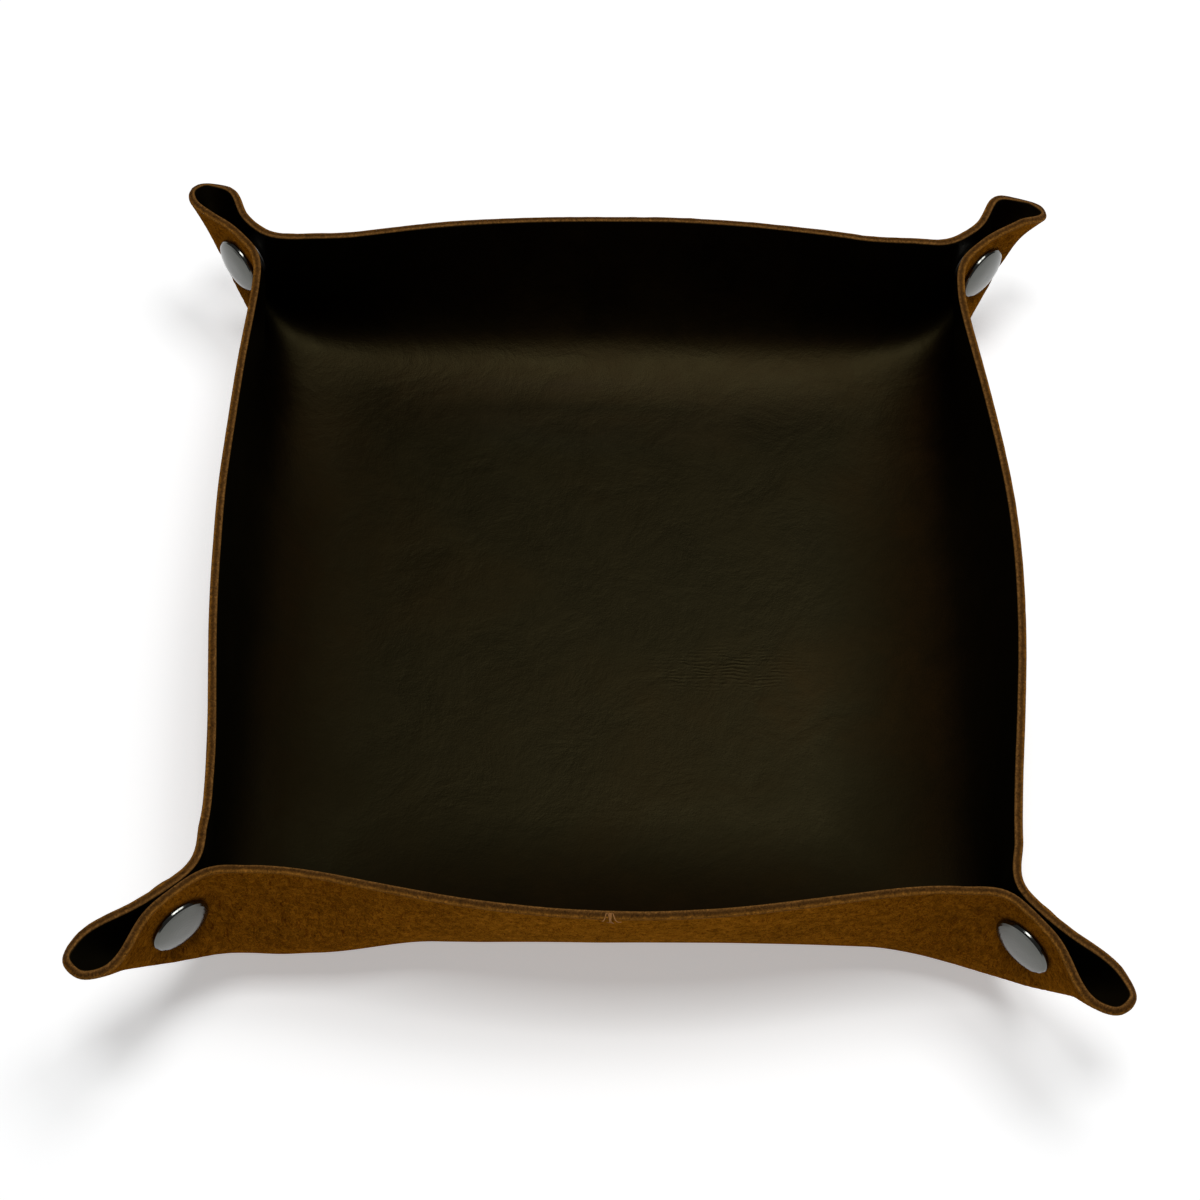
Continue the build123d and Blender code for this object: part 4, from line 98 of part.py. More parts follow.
    ((6791, -9282, 4536), (6778, -9301, 4142), (6764, -9316, 3748), (6749, -9325, 3353), (6733, -9332, 2959), (6716, -9336, 2563), (6700, -9332, 2167), (6686, -9309, 1770), (6676, -9234, 1378), (6673, -9070, 1009), (6681, -8781, 727), (6691, -8430, 539), (6699, -8055, 411), (6703, -7668, 325), (6704, -7275, 265), (6703, -6880, 225), (6701, -6483, 197), (6698, -6085, 177), (6696, -5687, 163), (6693, -5289, 153), (6691, -4891, 145), (6688, -4493, 139), (6686, -4096, 136), (6685, -3698, 133), (6683, -3301, 132), (6682, -2904, 131), (6680, -2507, 130), (6679, -2111, 130), (6678, -1714, 129), (6678, -1317, 128), (6677, -921, 127), (6677, -524, 126), (6677, -128, 124), (6677, 268, 122), (6677, 665, 120), (6677, 1061, 118), (6677, 1458, 115), (6677, 1855, 113), (6678, 2251, 110), (6678, 2648, 108), (6679, 3045, 106), (6680, 3442, 105), (6680, 3840, 104), (6681, 4237, 102), (6682, 4635, 102), (6683, 5033, 101), (6685, 5431, 102), (6686, 5829, 103), (6687, 6227, 106), (6688, 6625, 114), (6688, 7022, 129), (6687, 7419, 159), (6684, 7812, 209), (6677, 8201, 290), (6668, 8576, 421), (6658, 8911, 645), (6653, 9144, 978), (6652, 9265, 1361), (6652, 9327, 1755), (6652, 9369, 2150), (6653, 9408, 2544), (6654, 9454, 2937), (6657, 9508, 3329), (6659, 9568, 3719), (6662, 9631, 4110)),
    ((7193, -9236, 4518), (7178, -9265, 4125), (7163, -9285, 3731), (7147, -9300, 3337), (7130, -9312, 2943), (7111, -9325, 2549), (7092, -9333, 2153), (7076, -9325, 1756), (7065, -9262, 1361), (7066, -9094, 992), (7079, -8796, 718), (7091, -8438, 545), (7099, -8058, 431), (7101, -7669, 355), (7101, -7274, 303), (7099, -6877, 267), (7096, -6480, 242), (7093, -6082, 224), (7090, -5684, 211), (7087, -5285, 201), (7084, -4888, 194), (7082, -4490, 189), (7080, -4093, 185), (7078, -3695, 183), (7077, -3298, 182), (7075, -2902, 181), (7074, -2505, 180), (7073, -2109, 179), (7072, -1712, 178), (7072, -1316, 176), (7071, -919, 175), (7071, -523, 172), (7071, -127, 169), (7071, 269, 165), (7071, 665, 162), (7072, 1062, 158), (7072, 1458, 153), (7073, 1855, 148), (7073, 2251, 143), (7074, 2648, 139), (7075, 3045, 134), (7075, 3442, 131), (7076, 3839, 127), (7077, 4236, 124), (7078, 4634, 121), (7079, 5032, 120), (7081, 5430, 120), (7082, 5829, 121), (7084, 6227, 125), (7085, 6626, 135), (7086, 7024, 151), (7086, 7421, 179), (7083, 7816, 224), (7077, 8205, 298), (7067, 8584, 419), (7053, 8923, 637), (7044, 9151, 975), (7042, 9253, 1364), (7042, 9292, 1761), (7043, 9315, 2157), (7045, 9343, 2551), (7047, 9384, 2944), (7049, 9434, 3336), (7052, 9491, 3727), (7056, 9554, 4118)),
    ((7596, -9213, 4498), (7579, -9244, 4105), (7564, -9267, 3711), (7547, -9286, 3318), (7528, -9302, 2925), (7506, -9323, 2532), (7483, -9346, 2137), (7464, -9353, 1740), (7454, -9295, 1344), (7460, -9123, 976), (7479, -8811, 718), (7492, -8445, 564), (7498, -8060, 465), (7499, -7667, 400), (7496, -7271, 356), (7492, -6873, 327), (7488, -6475, 306), (7484, -6077, 292), (7480, -5678, 282), (7477, -5280, 275), (7474, -4883, 270), (7471, -4486, 267), (7469, -4089, 265), (7467, -3692, 263), (7465, -3295, 262), (7464, -2899, 261), (7463, -2502, 260), (7462, -2106, 259), (7461, -1710, 257), (7461, -1314, 255), (7461, -918, 253), (7461, -522, 249), (7461, -126, 245), (7461, 270, 239), (7462, 666, 234), (7462, 1062, 228), (7463, 1458, 222), (7464, 1855, 215), (7465, 2251, 207), (7466, 2647, 200), (7467, 3044, 193), (7468, 3441, 186), (7469, 3838, 179), (7471, 4235, 173), (7472, 4633, 168), (7473, 5030, 164), (7475, 5429, 161), (7477, 5827, 161), (7479, 6226, 164), (7481, 6625, 172), (7482, 7024, 187), (7483, 7422, 212), (7482, 7818, 253), (7478, 8210, 317), (7467, 8592, 426), (7449, 8938, 633), (7434, 9166, 972), (7430, 9248, 1366), (7431, 9262, 1764), (7435, 9267, 2161), (7439, 9285, 2555), (7441, 9319, 2948), (7443, 9364, 3340), (7445, 9416, 3731), (7448, 9471, 4123)),
    ((7999, -9208, 4477), (7981, -9245, 4083), (7965, -9269, 3689), (7949, -9288, 3297), (7927, -9308, 2905), (7901, -9340, 2513), (7872, -9381, 2119), (7847, -9405, 1722), (7839, -9355, 1322), (7856, -9156, 965), (7880, -8825, 732), (7892, -8449, 601), (7895, -8059, 518), (7892, -7663, 466), (7887, -7265, 432), (7881, -6866, 411), (7875, -6468, 398), (7869, -6069, 389), (7864, -5671, 384), (7859, -5274, 381), (7855, -4877, 379), (7852, -4480, 378), (7849, -4084, 378), (7847, -3687, 378), (7845, -3291, 378), (7844, -2895, 377), (7843, -2499, 376), (7842, -2103, 374), (7842, -1707, 372), (7842, -1312, 369), (7842, -916, 365), (7842, -520, 361), (7843, -124, 355), (7843, 271, 348), (7844, 667, 341), (7845, 1063, 334), (7847, 1459, 326), (7848, 1855, 317), (7849, 2251, 307), (7851, 2647, 297), (7853, 3044, 287), (7855, 3440, 277), (7856, 3837, 268), (7858, 4234, 258), (7860, 4631, 249), (7862, 5028, 241), (7865, 5426, 235), (7867, 5824, 231), (7870, 6223, 230), (7873, 6623, 234), (7876, 7022, 244), (7878, 7421, 264), (7880, 7819, 298), (7878, 8214, 353), (7869, 8600, 446), (7847, 8956, 634), (7823, 9195, 968), (7816, 9263, 1366), (7821, 9254, 1764), (7829, 9238, 2161), (7835, 9242, 2555), (7839, 9268, 2948), (7839, 9305, 3340), (7839, 9348, 3733), (7841, 9400, 4127)),
    ((8395, -9278, 4458), (8379, -9290, 4063), (8368, -9300, 3667), (8351, -9316, 3274), (8331, -9334, 2881), (8293, -9387, 2491), (8255, -9449, 2099), (8224, -9488, 1702), (8223, -9426, 1301), (8256, -9189, 965), (8282, -8835, 768), (8289, -8449, 662), (8286, -8053, 599), (8278, -7654, 562), (8269, -7255, 541), (8260, -6856, 530), (8251, -6457, 525), (8242, -6060, 523), (8235, -5663, 524), (8229, -5267, 525), (8225, -4870, 527), (8220, -4474, 528), (8217, -4079, 529), (8215, -3683, 530), (8213, -3287, 530), (8211, -2892, 530), (8210, -2496, 528), (8210, -2100, 526), (8209, -1705, 523), (8210, -1309, 520), (8210, -914, 515), (8211, -518, 509), (8212, -122, 503), (8213, 273, 495), (8214, 669, 487), (8216, 1065, 478), (8218, 1461, 468), (8219, 1856, 458), (8222, 2252, 447), (8224, 2648, 435), (8227, 3044, 423), (8229, 3440, 410), (8232, 3836, 398), (8235, 4233, 385), (8237, 4629, 374), (8241, 5026, 362), (8244, 5423, 351), (8248, 5821, 341), (8253, 6219, 333), (8258, 6618, 330), (8263, 7017, 332), (8268, 7418, 343), (8273, 7818, 367), (8275, 8216, 410), (8271, 8608, 487), (8248, 8977, 647), (8210, 9243, 961), (8197, 9316, 1362), (8209, 9286, 1760), (8225, 9245, 2155), (8241, 9224, 2549), (8242, 9240, 2943), (8241, 9264, 3338), (8234, 9298, 3733), (8233, 9340, 4129)),
    ((8778, -9389, 4444), (8768, -9386, 4046), (8758, -9380, 3649), (8747, -9386, 3251), (8722, -9405, 2857), (8677, -9480, 2469), (8622, -9568, 2081), (8587, -9613, 1682), (8609, -9508, 1281), (8659, -9215, 989), (8680, -8837, 838), (8676, -8440, 764), (8664, -8039, 724), (8649, -7638, 705), (8634, -7239, 699), (8620, -6842, 699), (8607, -6445, 702), (8596, -6049, 707), (8587, -5654, 712), (8579, -5259, 716), (8573, -4864, 719), (8569, -4469, 721), (8565, -4074, 723), (8562, -3678, 724), (8560, -3283, 725), (8559, -2888, 724), (8558, -2493, 722), (8558, -2097, 719), (8558, -1702, 716), (8559, -1306, 711), (8560, -911, 705), (8561, -515, 699), (8562, -120, 691), (8564, 276, 683), (8566, 672, 674), (8568, 1067, 665), (8570, 1463, 654), (8572, 1859, 643), (8575, 2254, 631), (8577, 2650, 618), (8580, 3046, 605), (8584, 3442, 592), (8587, 3837, 578), (8591, 4233, 564), (8595, 4629, 550), (8600, 5025, 535), (8605, 5420, 520), (8611, 5817, 505), (8619, 6213, 491), (8627, 6611, 478), (8636, 7009, 469), (8646, 7409, 467), (8656, 7810, 476), (8665, 8212, 502), (8669, 8612, 558), (8651, 8997, 682), (8598, 9309, 954), (8565, 9423, 1353), (8583, 9383, 1752), (8616, 9310, 2146), (8637, 9259, 2539), (8642, 9260, 2934), (8636, 9271, 3333), (8632, 9292, 3730), (8628, 9311, 4128)),
    ((9134, -9574, 4432), (9130, -9559, 4036), (9164, -9497, 3636), (9133, -9518, 3236), (9162, -9467, 2819), (9035, -9645, 2449), (8960, -9750, 2071), (8939, -9773, 1657), (9008, -9574, 1282), (9061, -9214, 1069), (9060, -8814, 981), (9034, -8411, 950), (9004, -8012, 941), (8975, -7616, 942), (8951, -7221, 948), (8931, -6827, 955), (8915, -6434, 961), (8903, -6040, 968), (8892, -5646, 973), (8885, -5252, 977), (8879, -4858, 980), (8874, -4464, 982), (8872, -4069, 982), (8870, -3674, 982), (8868, -3279, 981), (8868, -2884, 980), (8868, -2489, 977), (8868, -2094, 973), (8869, -1698, 969), (8870, -1303, 963), (8872, -907, 957), (8873, -511, 950), (8875, -115, 942), (8876, 280, 934), (8878, 676, 925), (8880, 1072, 915), (8883, 1468, 905), (8885, 1863, 894), (8887, 2259, 882), (8890, 2655, 870), (8893, 3050, 857), (8896, 3446, 844), (8900, 3841, 830), (8904, 4236, 816), (8908, 4631, 802), (8914, 5026, 786), (8920, 5421, 770), (8929, 5816, 753), (8939, 6210, 735), (8951, 6604, 717), (8967, 6999, 700), (8985, 7395, 684), (9006, 7793, 674), (9029, 8194, 674), (9050, 8598, 696), (9050, 9000, 771), (8997, 9369, 967), (8918, 9577, 1337), (8926, 9557, 1751), (8983, 9463, 2134), (9087, 9295, 2515), (9043, 9352, 2929), (9058, 9333, 3330), (9023, 9395, 3729), (9023, 9406, 4127)),
    ((9421, -9850, 4421), (9417, -9839, 4024), (9401, -9838, 3627), (9390, -9834, 3231), (9404, -9819, 2831), (9305, -9930, 2457), (9252, -10003, 2059), (9322, -9908, 1632), (9422, -9570, 1362), (9425, -9159, 1273), (9362, -8760, 1264), (9285, -8373, 1274), (9224, -7987, 1284), (9182, -7599, 1293), (9155, -7210, 1299), (9137, -6819, 1304), (9124, -6428, 1308), (9115, -6035, 1311), (9108, -5642, 1314), (9103, -5249, 1315), (9100, -4855, 1316), (9099, -4461, 1316), (9098, -4066, 1315), (9099, -3671, 1313), (9100, -3276, 1310), (9101, -2881, 1307), (9102, -2485, 1303), (9104, -2090, 1298), (9106, -1694, 1293), (9108, -1298, 1286), (9110, -902, 1280), (9112, -506, 1273), (9113, -110, 1265), (9114, 286, 1257), (9116, 682, 1249), (9117, 1079, 1239), (9119, 1475, 1230), (9120, 1871, 1220), (9121, 2267, 1209), (9122, 2662, 1198), (9124, 3058, 1186), (9125, 3454, 1174), (9127, 3849, 1162), (9130, 4244, 1149), (9133, 4639, 1136), (9137, 5033, 1122), (9142, 5427, 1107), (9149, 5821, 1092), (9158, 6214, 1076), (9170, 6606, 1059), (9186, 6998, 1042), (9209, 7388, 1025), (9243, 7778, 1007), (9293, 8166, 989), (9357, 8557, 973), (9413, 8957, 977), (9407, 9371, 1058), (9298, 9714, 1322), (9215, 9813, 1746), (9251, 9749, 2147), (9327, 9652, 2530), (9293, 9679, 2927), (9303, 9677, 3324), (9312, 9673, 3721), (9323, 9671, 4120)),
    ((9686, -10145, 4413), (9698, -10119, 4017), (9673, -10124, 3620), (9661, -10121, 3229), (9695, -10092, 2817), (9558, -10227, 2465), (9605, -10213, 2015), (9762, -9902, 1695), (9766, -9465, 1624), (9633, -9083, 1642), (9478, -8729, 1661), (9361, -8363, 1673), (9292, -7983, 1682), (9257, -7597, 1688), (9242, -7208, 1691), (9236, -6818, 1692), (9235, -6426, 1692), (9236, -6034, 1692), (9237, -5640, 1692), (9239, -5247, 1691), (9241, -4853, 1690), (9245, -4458, 1687), (9249, -4063, 1684), (9253, -3668, 1680), (9258, -3273, 1676), (9262, -2877, 1671), (9266, -2481, 1666), (9270, -2085, 1661), (9273, -1689, 1655), (9275, -1293, 1648), (9278, -896, 1641), (9280, -500, 1634), (9281, -103, 1627), (9282, 293, 1619), (9282, 690, 1611), (9282, 1086, 1602), (9281, 1483, 1593), (9280, 1879, 1584), (9279, 2275, 1575), (9277, 2672, 1565), (9275, 3068, 1555), (9274, 3463, 1545), (9272, 3859, 1534), (9271, 4254, 1523), (9270, 4649, 1511), (9269, 5044, 1499), (9269, 5438, 1487), (9270, 5831, 1474), (9272, 6224, 1460), (9274, 6616, 1447), (9279, 7007, 1434), (9290, 7397, 1420), (9315, 7783, 1406), (9369, 8165, 1390), (9471, 8535, 1373), (9618, 8892, 1350), (9746, 9276, 1329), (9734, 9716, 1395), (9565, 10025, 1713), (9506, 10045, 2158), (9621, 9920, 2521), (9569, 9959, 2932), (9578, 9955, 3323), (9605, 9937, 3721), (9595, 9955, 4118)),
    ((9914, -10475, 4403), (9936, -10446, 4009), (10008, -10376, 3617), (9982, -10389, 3217), (9965, -10346, 2850), (9854, -10524, 2406), (10085, -10219, 2031), (10076, -9742, 2009), (9871, -9388, 2047), (9623, -9092, 2056), (9446, -8750, 2062), (9337, -8379, 2072), (9285, -7993, 2080), (9268, -7603, 2086), (9271, -7211, 2088), (9282, -6819, 2088), (9296, -6427, 2086), (9309, -6033, 2084), (9320, -5640, 2082), (9330, -5245, 2079), (9339, -4851, 2076), (9349, -4456, 2071), (9359, -4060, 2066), (9368, -3665, 2061), (9377, -3269, 2055), (9386, -2873, 2049), (9393, -2477, 2043), (9399, -2080, 2036), (9404, -1684, 2030), (9408, -1287, 2023), (9410, -890, 2016), (9412, -493, 2009), (9413, -96, 2001), (9413, 301, 1994), (9411, 698, 1986), (9409, 1095, 1979), (9406, 1491, 1971), (9401, 1888, 1963), (9396, 2285, 1955), (9390, 2681, 1946), (9384, 3077, 1938), (9377, 3474, 1929), (9370, 3869, 1919), (9363, 4265, 1910), (9357, 4660, 1900), (9349, 5055, 1889), (9341, 5450, 1878), (9333, 5844, 1867), (9323, 6237, 1856), (9311, 6630, 1844), (9299, 7022, 1832), (9289, 7413, 1819), (9294, 7803, 1804), (9328, 8190, 1787), (9419, 8565, 1771), (9585, 8911, 1765), (9835, 9205, 1759), (10042, 9561, 1720), (10041, 10041, 1741), (9802, 10341, 2113), (9898, 10168, 2557), (9901, 10211, 2926), (9927, 10190, 3327), (9847, 10260, 3719), (9820, 10286, 4114)),
    ((10082, -10839, 4386), (10099, -10808, 3992), (10096, -10788, 3599), (10075, -10783, 3206), (10128, -10806, 2784), (10419, -10551, 2373), (10392, -9990, 2404), (10101, -9689, 2455), (9810, -9427, 2449), (9530, -9153, 2440), (9374, -8790, 2455), (9294, -8402, 2467), (9264, -8007, 2477), (9264, -7611, 2482), (9282, -7216, 2484), (9307, -6822, 2484), (9332, -6428, 2482), (9356, -6034, 2479), (9377, -5639, 2476), (9395, -5244, 2471), (9412, -4849, 2466), (9429, -4454, 2461), (9445, -4058, 2455), (9460, -3662, 2448), (9474, -3265, 2441), (9487, -2869, 2433), (9498, -2472, 2426), (9507, -2075, 2419), (9513, -1678, 2411), (9518, -1281, 2404), (9522, -884, 2397), (9524, -486, 2389), (9524, -89, 2382), (9523, 308, 2375), (9520, 706, 2368), (9514, 1103, 2361), (9508, 1500, 2354), (9499, 1897, 2347), (9489, 2294, 2340), (9478, 2691, 2333), (9466, 3088, 2326), (9453, 3484, 2318), (9440, 3880, 2310), (9426, 4276, 2302), (9412, 4672, 2293), (9397, 5067, 2284), (9380, 5462, 2274), (9361, 5857, 2264), (9339, 6251, 2253), (9314, 6645, 2241), (9286, 7039, 2229), (9261, 7433, 2214), (9248, 7828, 2197), (9262, 8223, 2178), (9326, 8613, 2159), (9473, 8980, 2141), (9754, 9254, 2156), (10047, 9511, 2170), (10343, 9810, 2119), (10364, 10377, 2092), (10072, 10621, 2502), (10010, 10601, 2919), (10016, 10602, 3314), (10001, 10623, 3706), (9967, 10656, 4100)),
    ((10264, -11196, 4368), (10288, -11161, 3974), (10321, -11129, 3579), (10436, -11062, 3176), (10661, -10800, 2843), (10670, -10270, 2787), (10219, -10090, 2845), (9975, -9809, 2817), (9711, -9510, 2830), (9363, -9261, 2821), (9316, -8818, 2847), (9262, -8424, 2860), (9255, -8019, 2871), (9266, -7619, 2877), (9293, -7221, 2880), (9325, -6825, 2880), (9358, -6430, 2878), (9390, -6034, 2875), (9418, -5639, 2871), (9444, -5243, 2866), (9469, -4847, 2860), (9491, -4451, 2853), (9513, -4055, 2846), (9534, -3658, 2838), (9553, -3262, 2830), (9570, -2865, 2822), (9585, -2468, 2813), (9597, -2070, 2805), (9606, -1673, 2797), (9613, -1275, 2789), (9617, -877, 2782), (9619, -480, 2775), (9619, -82, 2767), (9617, 316, 2761), (9612, 714, 2754), (9604, 1111, 2748), (9593, 1509, 2742), (9580, 1906, 2736), (9565, 2303, 2730), (9548, 2701, 2724), (9529, 3097, 2718), (9509, 3494, 2711), (9489, 3891, 2704), (9468, 4287, 2697), (9445, 4683, 2689), (9421, 5079, 2680), (9395, 5474, 2671), (9366, 5870, 2661), (9334, 6265, 2650), (9299, 6660, 2637), (9262, 7055, 2623), (9229, 7452, 2606), (9207, 7850, 2588), (9203, 8256, 2567), (9248, 8651, 2546), (9288, 9097, 2513), (9639, 9343, 2530), (9905, 9641, 2521), (10154, 9914, 2558), (10613, 10087, 2504), (10600, 10617, 2573), (10380, 10868, 2906), (10251, 10939, 3301), (10190, 10975, 3694), (10138, 11017, 4086)),
    ((10518, -11516, 4349), (10579, -11447, 3965), (10709, -11329, 3583), (10889, -11043, 3288), (10919, -10588, 3181), (10653, -10221, 3206), (10267, -10100, 3214), (10018, -9764, 3227), (9741, -9482, 3228), (9426, -9222, 3235), (9315, -8829, 3242), (9267, -8431, 3255), (9262, -8027, 3264), (9278, -7625, 3270), (9308, -7226, 3274), (9344, -6828, 3275), (9381, -6431, 3273), (9417, -6035, 3270), (9452, -5638, 3266), (9484, -5242, 3260), (9514, -4845, 3254), (9543, -4448, 3246), (9570, -4052, 3238), (9596, -3655, 3230), (9619, -3258, 3221), (9641, -2860, 3212), (9659, -2463, 3203), (9675, -2065, 3194), (9687, -1667, 3185), (9695, -1269, 3177), (9701, -871, 3170), (9703, -473, 3162), (9703, -75, 3155), (9700, 323, 3149), (9692, 722, 3142), (9681, 1120, 3137), (9667, 1517, 3131), (9650, 1915, 3126), (9629, 2313, 3121), (9605, 2710, 3116), (9580, 3107, 3111), (9552, 3504, 3106), (9524, 3901, 3100), (9494, 4297, 3093), (9463, 4694, 3085), (9431, 5090, 3077), (9396, 5486, 3068), (9359, 5882, 3057), (9319, 6278, 3045), (9276, 6674, 3032), (9235, 7070, 3016), (9199, 7469, 2998), (9176, 7869, 2979), (9177, 8273, 2959), (9223, 8672, 2939), (9335, 9067, 2930), (9649, 9329, 2931), (9928, 9605, 2934), (10191, 9928, 2928), (10584, 10025, 2922), (10855, 10394, 2906), (10823, 10837, 3038), (10649, 11113, 3334), (10499, 11241, 3702), (10405, 11325, 4079)),
    ((10846, -11740, 4361), (10978, -11605, 3989), (11131, -11300, 3720), (11174, -10876, 3589), (10987, -10482, 3583), (10657, -10241, 3600), (10252, -10126, 3614), (10019, -9778, 3618), (9746, -9494, 3624), (9411, -9243, 3636), (9326, -8828, 3641), (9279, -8434, 3649), (9278, -8030, 3657), (9297, -7629, 3664), (9328, -7229, 3668), (9365, -6830, 3669), (9404, -6432, 3668), (9443, -6035, 3665), (9481, -5637, 3661), (9517, -5240, 3655), (9552, -4843, 3648), (9586, -4445, 3640), (9619, -4048, 3632), (9650, -3651, 3623), (9678, -3253, 3613), (9703, -2855, 3603), (9726, -2458, 3594), (9744, -2060, 3584), (9759, -1661, 3575), (9770, -1263, 3567), (9776, -865, 3559), (9779, -466, 3551), (9779, -68, 3544), (9775, 331, 3538), (9766, 729, 3532), (9752, 1128, 3527), (9734, 1526, 3522), (9712, 1924, 3518), (9685, 2321, 3514), (9655, 2719, 3510), (9622, 3116, 3505), (9587, 3513, 3501), (9551, 3910, 3495), (9513, 4307, 3489), (9474, 4704, 3482), (9432, 5100, 3473), (9389, 5497, 3464), (9345, 5893, 3453), (9298, 6290, 3440), (9250, 6687, 3426), (9206, 7084, 3409), (9169, 7483, 3391), (9148, 7883, 3371), (9153, 8287, 3352), (9209, 8681, 3337), (9311, 9092, 3331), (9648, 9334, 3326), (9927, 9610, 3325), (10169, 9954, 3329), (10584, 10033, 3316), (10924, 10264, 3301), (11101, 10661, 3333), (11050, 11061, 3497), (10908, 11358, 3765), (10757, 11516, 4119)),
    ((11269, -11876, 4385), (11391, -11578, 4141), (11433, -11161, 3997), (11290, -10757, 3973), (11016, -10454, 3979), (10673, -10246, 3993), (10321, -10062, 4007), (10009, -9806, 4014), (9745, -9510, 4021), (9483, -9206, 4033), (9349, -8828, 4038), (9302, -8431, 4045), (9300, -8031, 4052), (9320, -7631, 4058), (9350, -7232, 4062), (9387, -6832, 4063), (9426, -6433, 4063), (9468, -6035, 4060), (9509, -5636, 4056), (9549, -5238, 4050), (9589, -4840, 4043), (9627, -4442, 4034), (9664, -4044, 4025), (9700, -3646, 4016), (9733, -3248, 4005), (9762, -2850, 3995), (9788, -2452, 3985), (9809, -2054, 3975), (9827, -1655, 3966), (9839, -1257, 3957), (9847, -858, 3949), (9851, -459, 3941), (9851, -60, 3934), (9846, 338, 3928), (9836, 737, 3922), (9819, 1136, 3917), (9798, 1534, 3913), (9770, 1932, 3910), (9738, 2330, 3906), (9701, 2728, 3903), (9660, 3125, 3900), (9618, 3522, 3895), (9574, 3919, 3890), (9528, 4316, 3884), (9480, 4713, 3877), (9431, 5110, 3869), (9380, 5507, 3860), (9328, 5904, 3848), (9274, 6301, 3835), (9222, 6699, 3820), (9175, 7097, 3802), (9138, 7495, 3784), (9121, 7895, 3764), (9137, 8295, 3747), (9206, 8688, 3735), (9365, 9058, 3729), (9651, 9338, 3724), (9917, 9631, 3722), (10241, 9870, 3722), (10606, 10018, 3707), (10960, 10203, 3694), (11230, 10509, 3700), (11349, 10918, 3763), (11260, 11267, 3965), (11168, 11577, 4206)),
    ((11525, -11725, 4692), (11687, -11466, 4393), (11564, -11040, 4373), (11355, -10703, 4358), (11047, -10433, 4374), (10700, -10233, 4387), (10347, -10046, 4402), (10033, -9798, 4410), (9757, -9514, 4418), (9505, -9205, 4430), (9371, -8827, 4435), (9325, -8432, 4441), (9328, -8034, 4447), (9346, -7635, 4452), (9374, -7235, 4456), (9411, -6835, 4458), (9449, -6434, 4457), (9493, -6034, 4455), (9537, -5635, 4450), (9581, -5236, 4444), (9624, -4837, 4437), (9667, -4438, 4428), (9709, -4040, 4419), (9749, -3641, 4408), (9786, -3243, 4398), (9819, -2845, 4387), (9849, -2446, 4376), (9873, -2048, 4366), (9893, -1649, 4356), (9907, -1250, 4347), (9916, -851, 4339), (9921, -452, 4331), (9922, -53, 4324), (9917, 346, 4317), (9905, 745, 4312), (9887, 1144, 4308), (9861, 1542, 4304), (9830, 1940, 4301), (9789, 2338, 4299), (9746, 2736, 4296), (9697, 3133, 4294), (9647, 3530, 4290), (9596, 3928, 4285), (9542, 4325, 4280), (9486, 4722, 4273), (9428, 5120, 4265), (9368, 5517, 4255), (9310, 5915, 4243), (9250, 6313, 4229), (9192, 6711, 4213), (9144, 7110, 4196), (9102, 7509, 4177), (9094, 7910, 4159), (9120, 8308, 4143), (9200, 8697, 4132), (9370, 9061, 4127), (9649, 9345, 4121), (9938, 9615, 4120), (10269, 9838, 4116), (10641, 9981, 4101), (11003, 10150, 4086), (11314, 10414, 4077), (11509, 10764, 4115), (11570, 11174, 4205), (11434, 11439, 4493)),
)

SIZE = len(NET)
STEP = SHEET / (SIZE - 1)


def _grown(row):
    """A row of control points with one more at each end, carried straight on."""
    a = tuple(2 * row[0][k] - row[1][k] for k in range(3))
    b = tuple(2 * row[-1][k] - row[-2][k] for k in range(3))
    return [a] + list(row) + [b]


_rows = [_grown(r) for r in NET]
_first = [tuple(2 * _rows[0][j][k] - _rows[1][j][k] for k in range(3)) for j in range(SIZE + 2)]
_last = [tuple(2 * _rows[-1][j][k] - _rows[-2][j][k] for k in range(3)) for j in range(SIZE + 2)]
GRID = [[(p[0] / 100, p[1] / 100, p[2] / 100) for p in r] for r in [_first] + _rows + [_last]]


def add(a, b, k=1.0):
    return (a[0] + k * b[0], a[1] + k * b[1], a[2] + k * b[2])


def sub(a, b):
    return (a[0] - b[0], a[1] - b[1], a[2] - b[2])


def dot(a, b):
    return a[0] * b[0] + a[1] * b[1] + a[2] * b[2]


def cross(a, b):
    return (a[1] * b[2] - a[2] * b[1], a[2] * b[0] - a[0] * b[2], a[0] * b[1] - a[1] * b[0])


def unit(a):
    n = math.sqrt(dot(a, a))
    return (a[0] / n, a[1] / n, a[2] / n)


def mean(a, b):
    return tuple((a[k] + b[k]) / 2 for k in range(3))


def net_point(u, v):
    """Mid-surface point of the folded sheet for flat-pattern position (u, v)."""
    x = (u + HALF) / STEP
    y = (v + HALF) / STEP
    i = min(max(int(x), 0), SIZE - 2)
    j = min(max(int(y), 0), SIZE - 2)
    a = x - i
    b = y - j
    wa = ((1 - a) ** 3 / 6, (3 * a ** 3 - 6 * a ** 2 + 4) / 6, (-3 * a ** 3 + 3 * a ** 2 + 3 * a + 1) / 6, a ** 3 / 6)
    wb = ((1 - b) ** 3 / 6, (3 * b ** 3 - 6 * b ** 2 + 4) / 6, (-3 * b ** 3 + 3 * b ** 2 + 3 * b + 1) / 6, b ** 3 / 6)
    px = py = pz = 0.0
    for k in range(4):
        row = GRID[i + k]
        for m in range(4):
            w = wa[k] * wb[m]
            q = row[j + m]
            px += w * q[0]
            py += w * q[1]
            pz += w * q[2]
    return (px, py, pz)


def net_frame(u, v, fn=net_point, d=0.05):
    """Tangents along u and v and the grain-side normal."""
    tu = sub(fn(u + d, v), fn(u - d, v))
    tv = sub(fn(u, v + d), fn(u, v - d))
    return unit(tu), unit(tv), unit(cross(tu, tv))


